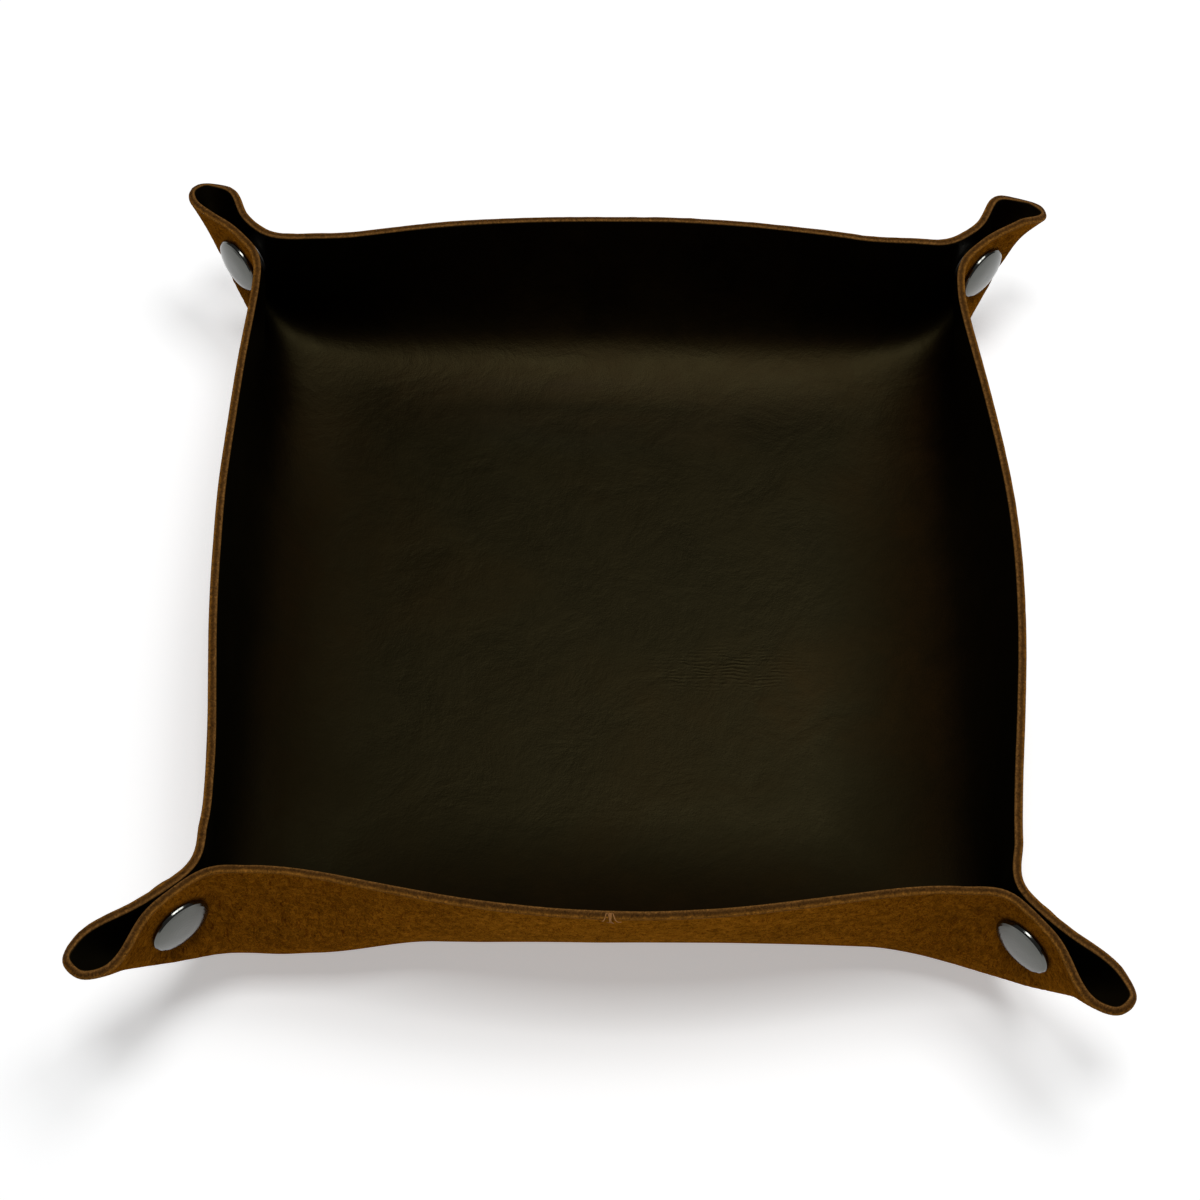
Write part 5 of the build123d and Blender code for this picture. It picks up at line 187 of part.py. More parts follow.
# The four corners, each with its two snap seats. A is the ear that carries the
# visible cap, B the ear that carries the stud.
CORNERS = {
    "fl": ("front", "left"),
    "fr": ("front", "right"),
    "br": ("right", "back"),
    "bl": ("left", "back"),
}
WALLS = {"back": (1, 0), "left": (0, 1), "front": (-1, 0), "right": (0, -1)}
ENDS = {
    ("back", 1): "br", ("back", -1): "bl",
    ("left", 1): "bl", ("left", -1): "fl",
    ("front", 1): "fl", ("front", -1): "fr",
    ("right", 1): "fr", ("right", -1): "br",
}


def flat(wall, x, y):
    """Wall coordinates (x along the wall, y outward) to sheet coordinates."""
    c, s = WALLS[wall]
    return (c * x - s * y, s * x + c * y)


def hole_of(wall, corner):
    sx = 1 if ENDS[(wall, 1)] == corner else -1
    return flat(wall, sx * HOLE[0], HOLE[1])


SEATS = []             # (u, v, point, tangent u, tangent v)
SNAPS = {}             # corner: (middle of the gap, axis from ear A to ear B)
for corner, (wa, wb) in CORNERS.items():
    ua, va = hole_of(wa, corner)
    ub, vb = hole_of(wb, corner)
    pa, pb = net_point(ua, va), net_point(ub, vb)
    na, nb = net_frame(ua, va)[2], net_frame(ub, vb)[2]
    axis = unit(sub(na, nb))
    mid = mean(pa, pb)
    SNAPS[corner] = (mid, axis)
    for (u0, v0, sign, nn) in ((ua, va, -1, axis), (ub, vb, 1, tuple(-k for k in axis))):
        tu, tv, _ = net_frame(u0, v0)
        tu = unit(add(tu, nn, -dot(tu, nn)))
        tv2 = cross(nn, tu)
        if dot(tv2, tv) < 0:
            tv2 = tuple(-k for k in tv2)
        # keep the pair (tu, tv) as square as it lies on the flat sheet
        b = add(tv, nn, -dot(tv, nn))
        skew = dot(unit(b), tu)
        h = skew / 2
        tu_s = unit(add(tu, tv2, h))
        tv_s = cross(nn, tu_s)
        centre = add(mid, axis, sign * (SNAP_GAP + LEATHER) / 2)
        SEATS.append((u0, v0, centre, tu_s, tv_s))


def sheet(u, v):
    """Mid-surface of the folded sheet with flat seats under the snaps."""
    p = net_point(u, v)
    for (u0, v0, c, tu, tv) in SEATS:
        du, dv = u - u0, v - v0
        r = math.hypot(du, dv)
        if r < SEAT_OUT:
            q = add(add(c, tu, du), tv, dv)
            k = (SEAT_OUT - r) / (SEAT_OUT - SEAT_IN)
            k = 1.0 if k > 1 else k * k * k * (k * (6 * k - 15) + 10)
            p = add(p, sub(q, p), k)
    return p


def fold_line(x):
    """Base/wall line: straight, then swept out to the corner diagonal."""
    k = max(0.0, abs(x) - FOLD_X) / (CORNER_Y - FOLD_X)
    return FOLD_Y + (CORNER_Y - FOLD_Y) * k * k


def mix(a, b, t):
    return a + (b - a) * t


def rim(x0, x1, s):
    """Rim from x0 to the middle of the sheet's rounded corner, by length."""
    flat_part = (HALF - CORNER_R) - x0
    arc = CORNER_R * math.pi / 4
    d = s * (flat_part + arc)
    if x1 < HALF - CORNER_R or d <= flat_part:
        if x1 < HALF - CORNER_R:
            return (mix(x0, x1, s), HALF)
        return (x0 + d, HALF)
    a = (d - flat_part) / CORNER_R
    return (HALF - CORNER_R + CORNER_R * math.sin(a), HALF - CORNER_R + CORNER_R * math.cos(a))


G = GAP / 2


def base_patch(s, t):
    # the four edges bow outward to the corners
    a, b = 2 * s - 1, 2 * t - 1
    c = CORNER_Y - G
    ex = fold_line(c * b) - G
    ey = fold_line(c * a) - G
    return (a * min(ex, c), b * min(ey, c))


def wall_patch(wall):
    def fn(s, t):
        xb = mix(-(EAR_IN - G), EAR_IN - G, s)
        xt = mix(-(EAR_OUT - G), EAR_OUT - G, s)
        yb = fold_line(xb) + G
        return flat(wall, mix(xb, xt, t), mix(yb, HALF, t))
    return fn


def ear_patch(wall, sx):
    def fn(s, t):
        xb = mix(EAR_IN + G, LIP_IN - G, s)
        xt = mix(EAR_OUT + G, LIP_OUT - G, s)
        yb = fold_line(xb) + G + EAR_TRIM
        return flat(wall, sx * mix(xb, xt, t), mix(yb, HALF, t))
    return fn


def lip_patch(wall, sx):
    def fn(s, t):
        # s runs from the ear line to the corner diagonal, t from base to rim
        d = G * math.sqrt(0.5)
        c = CORNER_Y + 2 * G
        xb = mix(LIP_IN + G, c - d, s)
        yb = mix(fold_line(LIP_IN) + G, c + d, s)
        xt, yt = rim(LIP_OUT + G, HALF, s)
        xt, yt = xt - s * d, yt + s * d
        return flat(wall, sx * mix(xb, xt, t), mix(yb, yt, t))
    return fn


def panel(fn, nu, nv, lift=0.0):
    """Leather panel: the piece of the sheet that fn covers, LEATHER thick,
    made of narrow strips between smooth cross-section curves. lift keeps the
    underside that much higher."""
    top, low = [], []
    for j in range(nv + 1):
        rt, rl = [], []
        for i in range(nu + 1):
            u, v = fn(i / nu, j / nv)
            p = sheet(u, v)
            n = net_frame(u, v, sheet)[2]
            rt.append(Vector(*add(p, n, LEATHER / 2)))
            rl.append(Vector(*add(p, n, lift - LEATHER / 2)))
        top.append(rt)
        low.append(rl)
    et = [Edge.make_spline(r) for r in top]
    el = [Edge.make_spline(r) for r in low]
    faces = []
    for j in range(nv):
        faces.append(Face.make_surface_from_curves(et[j], et[j + 1]))
        faces.append(Face.make_surface_from_curves(el[j], el[j + 1]))
        for i in (0, nu):
            e1 = Edge.make_line(top[j][i], low[j][i])
            e2 = Edge.make_line(top[j + 1][i], low[j + 1][i])
            faces.append(Face.make_surface_from_curves(e1, e2))
    faces.append(Face.make_surface_from_curves(et[0], el[0]))
    faces.append(Face.make_surface_from_curves(et[nv], el[nv]))
    body = Solid(Shell(faces))
    if body.volume < 0:
        body = Solid(body.wrapped.Reversed())
    return body


def turned(points, corner):
    """Round piece on the snap's axis. Points are (radius, distance from the
    middle of the gap, positive toward ear A)."""
    mid, axis = SNAPS[corner]
    with BuildPart() as bp:
        with BuildSketch(Plane.XZ):
            with BuildLine():
                Polyline(*[(r, z) for r, z in points], close=True)
            make_face()
        revolve(axis=Axis.Z)
    back = Plane(origin=mid, z_dir=(-axis[0], -axis[1], -axis[2]))
    return back * bp.part


def arc_points(r0, z0, r1, z1, bulge, n=7):
    """Points on a soft curve between two profile points."""
    out = []
    for i in range(n + 1):
        t = i / n
        r, z = mix(r0, r1, t), mix(z0, z1, t)
        dr, dz = r1 - r0, z1 - z0
        k = bulge * 4 * t * (1 - t)
        out.append((r - dz * k, z + dr * k))
    return out


def save(shape, name):
    shape.label = name
    export_step(shape, os.path.join("parts", name + ".step"))
    print(name, round(shape.volume, 1), shape.is_valid)


GA = SNAP_GAP / 2              # grain face of ear A, from the middle of the gap
FA = GA + LEATHER              # its outer face
PLATE = 0.4                    # sheet-metal thickness

cap_profile = (
    [(TUBE_IN, GA + 0.05), (TUBE_IN + 0.2, GA - PLATE - 0.38), (TUBE_R + 0.9, GA - PLATE - 0.32),
     (TUBE_R + 0.9, GA - PLATE - 0.04), (TUBE_R, GA - PLATE - 0.04), (TUBE_R, FA + 0.05),
     (CAP_R - 0.7, FA + 0.05), (CAP_R - 0.2, FA + 0.2), (CAP_R, FA + 0.6), (CAP_R - 0.08, FA + 0.95),
     (CAP_R - 0.35, FA + 1.3)]
    + [(r, FA + CAP_H - 1.0 * (r / (CAP_R - 0.6)) ** 2.6) for r in (6.6, 6.0, 5.2, 4.4, 3.5, 2.5, 1.5, 0.7, 0.0)]
    + [(0.0, FA + 0.45), (TUBE_IN, FA + 0.45)]
)
socket_profile = [
    (HOLE_R, GA - 0.05), (SOCKET_R - 0.3, GA - 0.05), (SOCKET_R, GA - 0.3), (SOCKET_R, GA - 1.75),
    (SOCKET_R - 0.35, GA - 2.1), (SOCKET_BORE + 0.25, GA - 2.1), (SOCKET_BORE, GA - 1.85), (SOCKET_BORE, GA - PLATE),
    (HOLE_R, GA - PLATE),
]
stud_profile = [
    (HOLE_R, -GA + 0.05), (STUD_R - 0.1, -GA + 0.05), (STUD_R, -GA + 0.15), (STUD_R - 0.1, -GA + PLATE),
    (KNOB_R + 0.25, -GA + PLATE), (KNOB_R - 0.1, -GA + PLATE + 0.25), (KNOB_R, -GA + 1.2), (KNOB_R - 0.15, -GA + 1.6),
    (KNOB_R - 0.35, -GA + 1.73), (TUBE_R + 0.27, -GA + 1.73), (TUBE_R + 0.27, -GA + 1.35), (HOLE_R, -GA + 1.35),
]
post_profile = [
    (TUBE_R, -FA - 0.05), (TUBE_R, -GA + 1.37), (TUBE_R + 0.23, -GA + 1.37), (TUBE_R + 0.23, -GA + 1.6),
    (TUBE_IN, -GA + 1.6), (TUBE_IN, -FA - 0.35), (0.0, -FA - 0.35), (0.0, -FA - 0.8), (POST_R - 1.2, -FA - 0.75),
    (POST_R - 0.4, -FA - 0.55), (POST_R, -FA - 0.22), (POST_R - 0.15, -FA - 0.05),
]

# the sheet settles flat under the middle of the floor, where it bears on the table
base = panel(base_patch, 30, 30, REST_LIFT)
base = base + Pos(0, 0, 0.3) * Cylinder(REST_R, 0.6)
save(base.solids()[0], "base_panel")
for wall in WALLS:
    save(panel(wall_patch(wall), 36, 10), "wall_" + wall)
    for sx in (1, -1):
        corner = ENDS[(wall, sx)]
        mid, axis = SNAPS[corner]
        ear = panel(ear_patch(wall, sx), 14, 16)
        drill = Plane(origin=mid, z_dir=axis) * Cylinder(HOLE_R, 30)
        ear = ear - drill
        ear = ear.solids()[0]
        save(ear, "ear_" + corner + "_" + wall)
        save(panel(lip_patch(wall, sx), 9, 12), "lip_" + corner + "_" + wall)
for corner in CORNERS:
    save(turned(cap_profile, corner), "cap_" + corner)
    save(turned(socket_profile, corner), "socket_" + corner)
    save(turned(stud_profile, corner), "stud_" + corner)
    save(turned(post_profile, corner), "post_" + corner)
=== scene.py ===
import math

import bpy
import numpy as np
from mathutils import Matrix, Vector


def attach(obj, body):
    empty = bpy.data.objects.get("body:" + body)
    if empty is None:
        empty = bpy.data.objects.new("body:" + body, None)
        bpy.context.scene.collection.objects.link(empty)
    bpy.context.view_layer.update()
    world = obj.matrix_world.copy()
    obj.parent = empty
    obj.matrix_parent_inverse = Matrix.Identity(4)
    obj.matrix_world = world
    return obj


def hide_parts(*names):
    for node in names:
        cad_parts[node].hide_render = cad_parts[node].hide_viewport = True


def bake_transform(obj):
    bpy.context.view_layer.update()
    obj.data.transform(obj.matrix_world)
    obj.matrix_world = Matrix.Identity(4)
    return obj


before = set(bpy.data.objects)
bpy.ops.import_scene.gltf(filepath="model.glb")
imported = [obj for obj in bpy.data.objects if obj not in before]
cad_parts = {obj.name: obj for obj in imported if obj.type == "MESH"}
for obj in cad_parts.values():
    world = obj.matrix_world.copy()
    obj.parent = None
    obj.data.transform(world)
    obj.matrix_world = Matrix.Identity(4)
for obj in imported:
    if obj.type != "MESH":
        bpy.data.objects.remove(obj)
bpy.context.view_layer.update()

# ---------------------------------------------------------------------------
# Snap-corner valet tray, folded from one square of leather. The same control
# net as the CAD carries the sheet here, so both models lie in one place.
# ---------------------------------------------------------------------------
NET = (
    ((-11517, -11388, 5301), (-11679, -11146, 4996), (-11573, -10731, 4912), (-11364, -10396, 4856), (-11048, -10137, 4838), (-10690, -9960, 4824), (-10323, -9803, 4813), (-9990, -9581, 4790), (-9690, -9324, 4766), (-9396, -9057, 4745), (-9186, -8717, 4724), (-9056, -8340, 4709), (-8984, -7948, 4701), (-8946, -7549, 4696), (-8953, -7148, 4696), (-8965, -6746, 4696), (-8978, -6345, 4693), (-8994, -5943, 4689), (-9026, -5543, 4685), (-9060, -5143, 4681), (-9101, -4744, 4676), (-9140, -4345, 4669), (-9179, -3946, 4661), (-9216, -3547, 4652), (-9255, -3149, 4641), (-9292, -2751, 4630), (-9323, -2353, 4617), (-9352, -1954, 4603), (-9376, -1556, 4589), (-9396, -1157, 4574), (-9415, -759, 4559), (-9431, -360, 4543), (-9449, 38, 4527), (-9466, 436, 4510), (-9477, 834, 4493), (-9485, 1233, 4476), (-9487, 1631, 4459), (-9483, 2029, 4442), (-9474, 2428, 4425), (-9466, 2826, 4407), (-9455, 3225, 4389), (-9446, 3624, 4370), (-9438, 4023, 4352), (-9427, 4422, 4332), (-9415, 4821, 4312), (-9400, 5221, 4292), (-9383, 5620, 4270), (-9363, 6020, 4248), (-9341, 6420, 4224), (-9320, 6820, 4198), (-9300, 7220, 4171), (-9283, 7619, 4142), (-9275, 8018, 4113), (-9293, 8415, 4085), (-9360, 8806, 4061), (-9509, 9177, 4042), (-9764, 9481, 4027), (-10024, 9778, 4014), (-10331, 10031, 4007), (-10690, 10201, 3999), (-11036, 10399, 3990), (-11318, 10692, 3983), (-11475, 11061, 4013), (-11501, 11475, 4080), (-11340, 11762, 4330)),
    ((-11274, -11561, 5004), (-11392, -11275, 4747), (-11449, -10895, 4550), (-11309, -10496, 4477), (-11030, -10199, 4446), (-10678, -10009, 4431), (-10315, -9851, 4419), (-9987, -9617, 4395), (-9707, -9336, 4369), (-9410, -9073, 4348), (-9209, -8727, 4327), (-9092, -8345, 4314), (-9033, -7950, 4308), (-9011, -7551, 4306), (-9015, -7150, 4306), (-9030, -6750, 4306), (-9048, -6351, 4304), (-9069, -5951, 4300), (-9096, -5552, 4296), (-9126, -5153, 4291), (-9159, -4755, 4285), (-9192, -4357, 4277), (-9224, -3958, 4268), (-9257, -3561, 4258), (-9288, -3163, 4247), (-9318, -2765, 4235), (-9345, -2367, 4222), (-9369, -1969, 4208), (-9391, -1571, 4193), (-9410, -1173, 4178), (-9427, -775, 4163), (-9442, -377, 4147), (-9458, 21, 4131), (-9471, 419, 4114), (-9482, 817, 4098), (-9489, 1216, 4081), (-9491, 1614, 4064), (-9489, 2012, 4046), (-9484, 2410, 4029), (-9478, 2809, 4011), (-9470, 3207, 3993), (-9462, 3605, 3975), (-9453, 4004, 3956), (-9444, 4402, 3937), (-9432, 4801, 3917), (-9418, 5200, 3897), (-9403, 5599, 3876), (-9383, 5998, 3853), (-9361, 6396, 3829), (-9338, 6795, 3804), (-9315, 7194, 3777), (-9295, 7593, 3748), (-9286, 7992, 3718), (-9300, 8391, 3689), (-9363, 8784, 3664), (-9508, 9158, 3645), (-9779, 9454, 3631), (-10019, 9768, 3616), (-10320, 10032, 3610), (-10671, 10210, 3602), (-11007, 10427, 3594), (-11246, 10758, 3598), (-11330, 11176, 3643), (-11204, 11532, 3813), (-11090, 11861, 4015)),
    ((-10856, -11468, 4925), (-11010, -11346, 4559), (-11163, -11061, 4276), (-11206, -10657, 4104), (-11016, -10268, 4053), (-10678, -10039, 4039), (-10266, -9950, 4030), (-10022, -9610, 3998), (-9727, -9350, 3973), (-9389, -9118, 3949), (-9230, -8738, 3929), (-9129, -8354, 3919), (-9084, -7954, 3916), (-9071, -7554, 3915), (-9079, -7154, 3916), (-9096, -6755, 3916), (-9117, -6356, 3914), (-9139, -5958, 3911), (-9163, -5560, 3906), (-9188, -5163, 3900), (-9214, -4765, 3892), (-9240, -4368, 3884), (-9267, -3970, 3874), (-9293, -3573, 3864), (-9319, -3176, 3852), (-9343, -2778, 3839), (-9365, -2381, 3826), (-9385, -1983, 3812), (-9403, -1586, 3798), (-9420, -1188, 3782), (-9435, -790, 3767), (-9449, -393, 3751), (-9462, 5, 3735), (-9474, 403, 3718), (-9483, 801, 3701), (-9489, 1199, 3685), (-9492, 1597, 3668), (-9493, 1995, 3650), (-9490, 2392, 3633), (-9486, 2790, 3615), (-9480, 3188, 3597), (-9474, 3586, 3579), (-9466, 3984, 3561), (-9458, 4382, 3542), (-9448, 4781, 3522), (-9436, 5179, 3502), (-9422, 5577, 3481), (-9403, 5975, 3459), (-9382, 6372, 3435), (-9358, 6771, 3410), (-9333, 7169, 3383), (-9311, 7568, 3354), (-9300, 7968, 3324), (-9307, 8371, 3293), (-9361, 8764, 3266), (-9455, 9175, 3247), (-9783, 9427, 3233), (-10049, 9718, 3223), (-10261, 10079, 3207), (-10666, 10200, 3210), (-10984, 10461, 3198), (-11130, 10871, 3216), (-11048, 11278, 3346), (-10876, 11594, 3575), (-10691, 11780, 3899)),
    ((-10514, -11269, 4871), (-10606, -11218, 4489), (-10758, -11119, 4112), (-10941, -10854, 3806), (-10967, -10413, 3659), (-10693, -10050, 3644), (-10301, -9949, 3629), (-10043, -9622, 3607), (-9750, -9359, 3576), (-9420, -9124, 3551), (-9260, -8749, 3532), (-9175, -8358, 3527), (-9139, -7956, 3525), (-9133, -7556, 3526), (-9144, -7157, 3527), (-9162, -6759, 3526), (-9182, -6362, 3524), (-9202, -5965, 3520), (-9222, -5568, 3514), (-9241, -5172, 3507), (-9261, -4775, 3499), (-9281, -4378, 3490), (-9302, -3982, 3479), (-9323, -3585, 3468), (-9342, -3188, 3456), (-9361, -2791, 3443), (-9378, -2394, 3430), (-9394, -1997, 3416), (-9409, -1600, 3401), (-9423, -1203, 3386), (-9436, -806, 3371), (-9449, -408, 3355), (-9459, -11, 3338), (-9469, 387, 3322), (-9477, 784, 3305), (-9483, 1182, 3288), (-9487, 1579, 3271), (-9489, 1977, 3254), (-9488, 2375, 3237), (-9486, 2772, 3219), (-9483, 3170, 3201), (-9478, 3567, 3183), (-9473, 3965, 3165), (-9467, 4362, 3146), (-9459, 4760, 3126), (-9449, 5157, 3106), (-9438, 5554, 3085), (-9422, 5951, 3064), (-9403, 6348, 3041), (-9380, 6745, 3016), (-9355, 7143, 2990), (-9333, 7542, 2962), (-9319, 7942, 2932), (-9325, 8345, 2900), (-9371, 8743, 2869), (-9479, 9138, 2847), (-9793, 9400, 2838), (-10062, 9689, 2833), (-10303, 10025, 2811), (-10680, 10170, 2816), (-10924, 10554, 2795), (-10865, 11004, 2894), (-10659, 11296, 3155), (-10475, 11449, 3501), (-10353, 11561, 3864)),
    ((-10246, -10962, 4851), (-10301, -10948, 4459), (-10362, -10940, 4065), (-10498, -10896, 3667), (-10729, -10656, 3327), (-10730, -10132, 3229), (-10272, -9965, 3259), (-10019, -9698, 3197), (-9739, -9415, 3179), (-9379, -9188, 3136), (-9302, -8749, 3138), (-9227, -8358, 3136), (-9200, -7954, 3137), (-9196, -7556, 3137), (-9207, -7158, 3137), (-9223, -6762, 3135), (-9240, -6367, 3132), (-9255, -5971, 3126), (-9269, -5576, 3120), (-9282, -5180, 3112), (-9296, -4785, 3103), (-9310, -4389, 3094), (-9325, -3993, 3083), (-9339, -3597, 3072), (-9353, -3200, 3060), (-9366, -2804, 3047), (-9379, -2408, 3033), (-9391, -2011, 3019), (-9403, -1614, 3005), (-9414, -1217, 2990), (-9425, -821, 2974), (-9435, -424, 2958), (-9445, -27, 2942), (-9453, 371, 2926), (-9460, 768, 2909), (-9466, 1165, 2892), (-9470, 1562, 2875), (-9473, 1959, 2858), (-9474, 2357, 2841), (-9474, 2754, 2823), (-9473, 3151, 2805), (-9471, 3548, 2787), (-9468, 3945, 2768), (-9465, 4342, 2749), (-9460, 4738, 2730), (-9454, 5135, 2710), (-9446, 5531, 2689), (-9435, 5928, 2668), (-9420, 6324, 2646), (-9401, 6720, 2622), (-9380, 7116, 2597), (-9359, 7513, 2570), (-9347, 7912, 2541), (-9349, 8316, 2508), (-9395, 8710, 2475), (-9429, 9155, 2430), (-9778, 9405, 2437), (-10035, 9710, 2419), (-10270, 9995, 2440), (-10712, 10203, 2402), (-10683, 10733, 2436), (-10430, 11004, 2739), (-10273, 11095, 3122), (-10188, 11159, 3509), (-10114, 11231, 3893)),
    ((-10058, -10609, 4834), (-10102, -10601, 4441), (-10125, -10606, 4048), (-10127, -10628, 3655), (-10202, -10678, 3241), (-10502, -10448, 2826), (-10460, -9887, 2816), (-10159, -9593, 2836), (-9858, -9346, 2802), (-9568, -9083, 2765), (-9400, -8726, 2756), (-9310, -8341, 2751), (-9271, -7948, 2749), (-9261, -7553, 2748), (-9266, -7159, 2745), (-9274, -6765, 2742), (-9283, -6371, 2737), (-9292, -5977, 2731), (-9298, -5583, 2723), (-9305, -5189, 2715), (-9311, -4794, 2706), (-9319, -4399, 2696), (-9328, -4003, 2686), (-9336, -3608, 2675), (-9345, -3212, 2663), (-9354, -2816, 2650), (-9363, -2420, 2637), (-9371, -2024, 2623), (-9380, -1628, 2609), (-9389, -1232, 2594), (-9397, -835, 2579), (-9405, -439, 2563), (-9413, -42, 2547), (-9420, 355, 2531), (-9426, 751, 2514), (-9432, 1148, 2497), (-9437, 1545, 2480), (-9440, 1942, 2463), (-9443, 2339, 2445), (-9445, 2735, 2428), (-9447, 3132, 2410), (-9447, 3529, 2391), (-9447, 3925, 2372), (-9447, 4321, 2353), (-9446, 4717, 2334), (-9444, 5113, 2314), (-9441, 5509, 2293), (-9436, 5904, 2272), (-9428, 6299, 2250), (-9417, 6693, 2227), (-9403, 7088, 2203), (-9391, 7482, 2178), (-9388, 7877, 2150), (-9409, 8272, 2120), (-9475, 8661, 2090), (-9618, 9028, 2061), (-9893, 9309, 2066), (-10180, 9577, 2069), (-10467, 9888, 2015), (-10474, 10450, 1964), (-10155, 10717, 2347), (-10076, 10712, 2768), (-10070, 10741, 3161), (-10035, 10792, 3549), (-9981, 10855, 3936)),
    ((-9887, -10249, 4819), (-9932, -10244, 4425), (-10025, -10196, 4031), (-10018, -10239, 3632), (-10018, -10222, 3259), (-9937, -10433, 2827), (-10176, -10146, 2444), (-10157, -9674, 2391), (-9942, -9322, 2403), (-9687, -9032, 2388), (-9508, -8694, 2371), (-9398, -8324, 2363), (-9343, -7940, 2359), (-9319, -7551, 2355), (-9310, -7160, 2350), (-9307, -6769, 2345), (-9305, -6377, 2339), (-9303, -5984, 2333), (-9301, -5591, 2325), (-9301, -5197, 2317), (-9301, -4803, 2309), (-9302, -4409, 2299), (-9305, -4014, 2289), (-9309, -3619, 2278), (-9314, -3224, 2266), (-9318, -2829, 2254), (-9323, -2433, 2242), (-9328, -2038, 2228), (-9334, -1642, 2214), (-9341, -1246, 2200), (-9347, -850, 2185), (-9353, -454, 2169), (-9360, -57, 2154), (-9366, 339, 2137), (-9372, 735, 2121), (-9377, 1132, 2104), (-9382, 1528, 2087), (-9386, 1925, 2070), (-9391, 2321, 2052), (-9394, 2717, 2034), (-9398, 3114, 2016), (-9401, 3510, 1997), (-9403, 3906, 1978), (-9406, 4301, 1958), (-9409, 4697, 1938), (-9412, 5092, 1918), (-9414, 5487, 1897), (-9416, 5881, 1875), (-9417, 6275, 1853), (-9416, 6668, 1830), (-9416, 7060, 1807), (-9418, 7452, 1783), (-9432, 7841, 1758), (-9474, 8228, 1731), (-9567, 8602, 1704), (-9729, 8950, 1686), (-9971, 9252, 1669), (-10170, 9611, 1622), (-10163, 10091, 1625), (-9909, 10401, 1982), (-10017, 10252, 2442), (-10017, 10312, 2806), (-10027, 10322, 3209), (-9921, 10417, 3589), (-9873, 10473, 3978)),
    ((-9645, -9931, 4794), (-9681, -9929, 4398), (-9678, -9963, 4001), (-9690, -9983, 3611), (-9740, -9982, 3199), (-9630, -10143, 2848), (-9699, -10152, 2401), (-9858, -9854, 2073), (-9854, -9423, 1979), (-9723, -9040, 1973), (-9570, -8684, 1973), (-9457, -8317, 1968), (-9386, -7938, 1962), (-9345, -7553, 1957), (-9320, -7165, 1951), (-9302, -6775, 1946), (-9288, -6384, 1940), (-9277, -5992, 1935), (-9268, -5600, 1928), (-9260, -5207, 1921), (-9256, -4813, 1913), (-9252, -4419, 1904), (-9250, -4025, 1895), (-9250, -3630, 1885), (-9250, -3236, 1874), (-9251, -2841, 1862), (-9253, -2446, 1850), (-9256, -2050, 1837), (-9260, -1655, 1824), (-9264, -1260, 1810), (-9269, -864, 1795), (-9274, -468, 1780), (-9279, -72, 1765), (-9284, 324, 1749), (-9290, 720, 1733), (-9295, 1116, 1716), (-9300, 1512, 1699), (-9305, 1908, 1681), (-9310, 2304, 1663), (-9315, 2700, 1645), (-9320, 3096, 1626), (-9325, 3491, 1607), (-9329, 3887, 1588), (-9334, 4282, 1568), (-9340, 4677, 1547), (-9347, 5072, 1526), (-9354, 5466, 1503), (-9362, 5859, 1481), (-9371, 6252, 1458), (-9381, 6644, 1434), (-9395, 7035, 1410), (-9414, 7425, 1386), (-9446, 7811, 1360), (-9505, 8192, 1334), (-9607, 8563, 1305), (-9750, 8923, 1272), (-9874, 9307, 1241), (-9861, 9748, 1292), (-9687, 10068, 1598), (-9627, 10099, 2045), (-9751, 9990, 2408), (-9699, 10038, 2818), (-9695, 10060, 3208), (-9707, 10072, 3608), (-9683, 10120, 4001)),
    ((-9358, -9658, 4769), (-9375, -9678, 4373), (-9392, -9692, 3976), (-9405, -9714, 3580), (-9434, -9726, 3182), (-9363, -9861, 2809), (-9336, -9956, 2412), (-9424, -9875, 1983), (-9521, -9538, 1713), (-9520, -9134, 1605), (-9462, -8734, 1573), (-9392, -8343, 1565), (-9334, -7955, 1561), (-9289, -7567, 1557), (-9255, -7177, 1554), (-9229, -6787, 1551), (-9207, -6395, 1547), (-9190, -6003, 1543), (-9176, -5611, 1538), (-9165, -5217, 1532), (-9156, -4824, 1526), (-9149, -4430, 1518), (-9144, -4036, 1510), (-9141, -3642, 1500), (-9139, -3248, 1490), (-9138, -2853, 1480), (-9138, -2458, 1468), (-9139, -2063, 1456), (-9141, -1668, 1443), (-9144, -1273, 1430), (-9148, -877, 1416), (-9151, -482, 1401), (-9156, -86, 1386), (-9160, 309, 1370), (-9165, 705, 1354), (-9170, 1101, 1338), (-9175, 1497, 1321), (-9180, 1892, 1303), (-9185, 2288, 1285), (-9190, 2684, 1266), (-9196, 3079, 1247), (-9201, 3475, 1228), (-9207, 3870, 1208), (-9214, 4265, 1187), (-9221, 4660, 1166), (-9230, 5054, 1144), (-9239, 5448, 1121), (-9251, 5841, 1097), (-9264, 6234, 1072), (-9281, 6626, 1046), (-9301, 7017, 1019), (-9329, 7408, 992), (-9365, 7797, 964), (-9417, 8185, 936), (-9481, 8575, 909), (-9538, 8975, 902), (-9535, 9390, 968), (-9424, 9742, 1219), (-9341, 9851, 1643), (-9382, 9797, 2044), (-9465, 9712, 2429), (-9436, 9749, 2825), (-9438, 9767, 3221), (-9436, 9786, 3617), (-9442, 9810, 4016)),
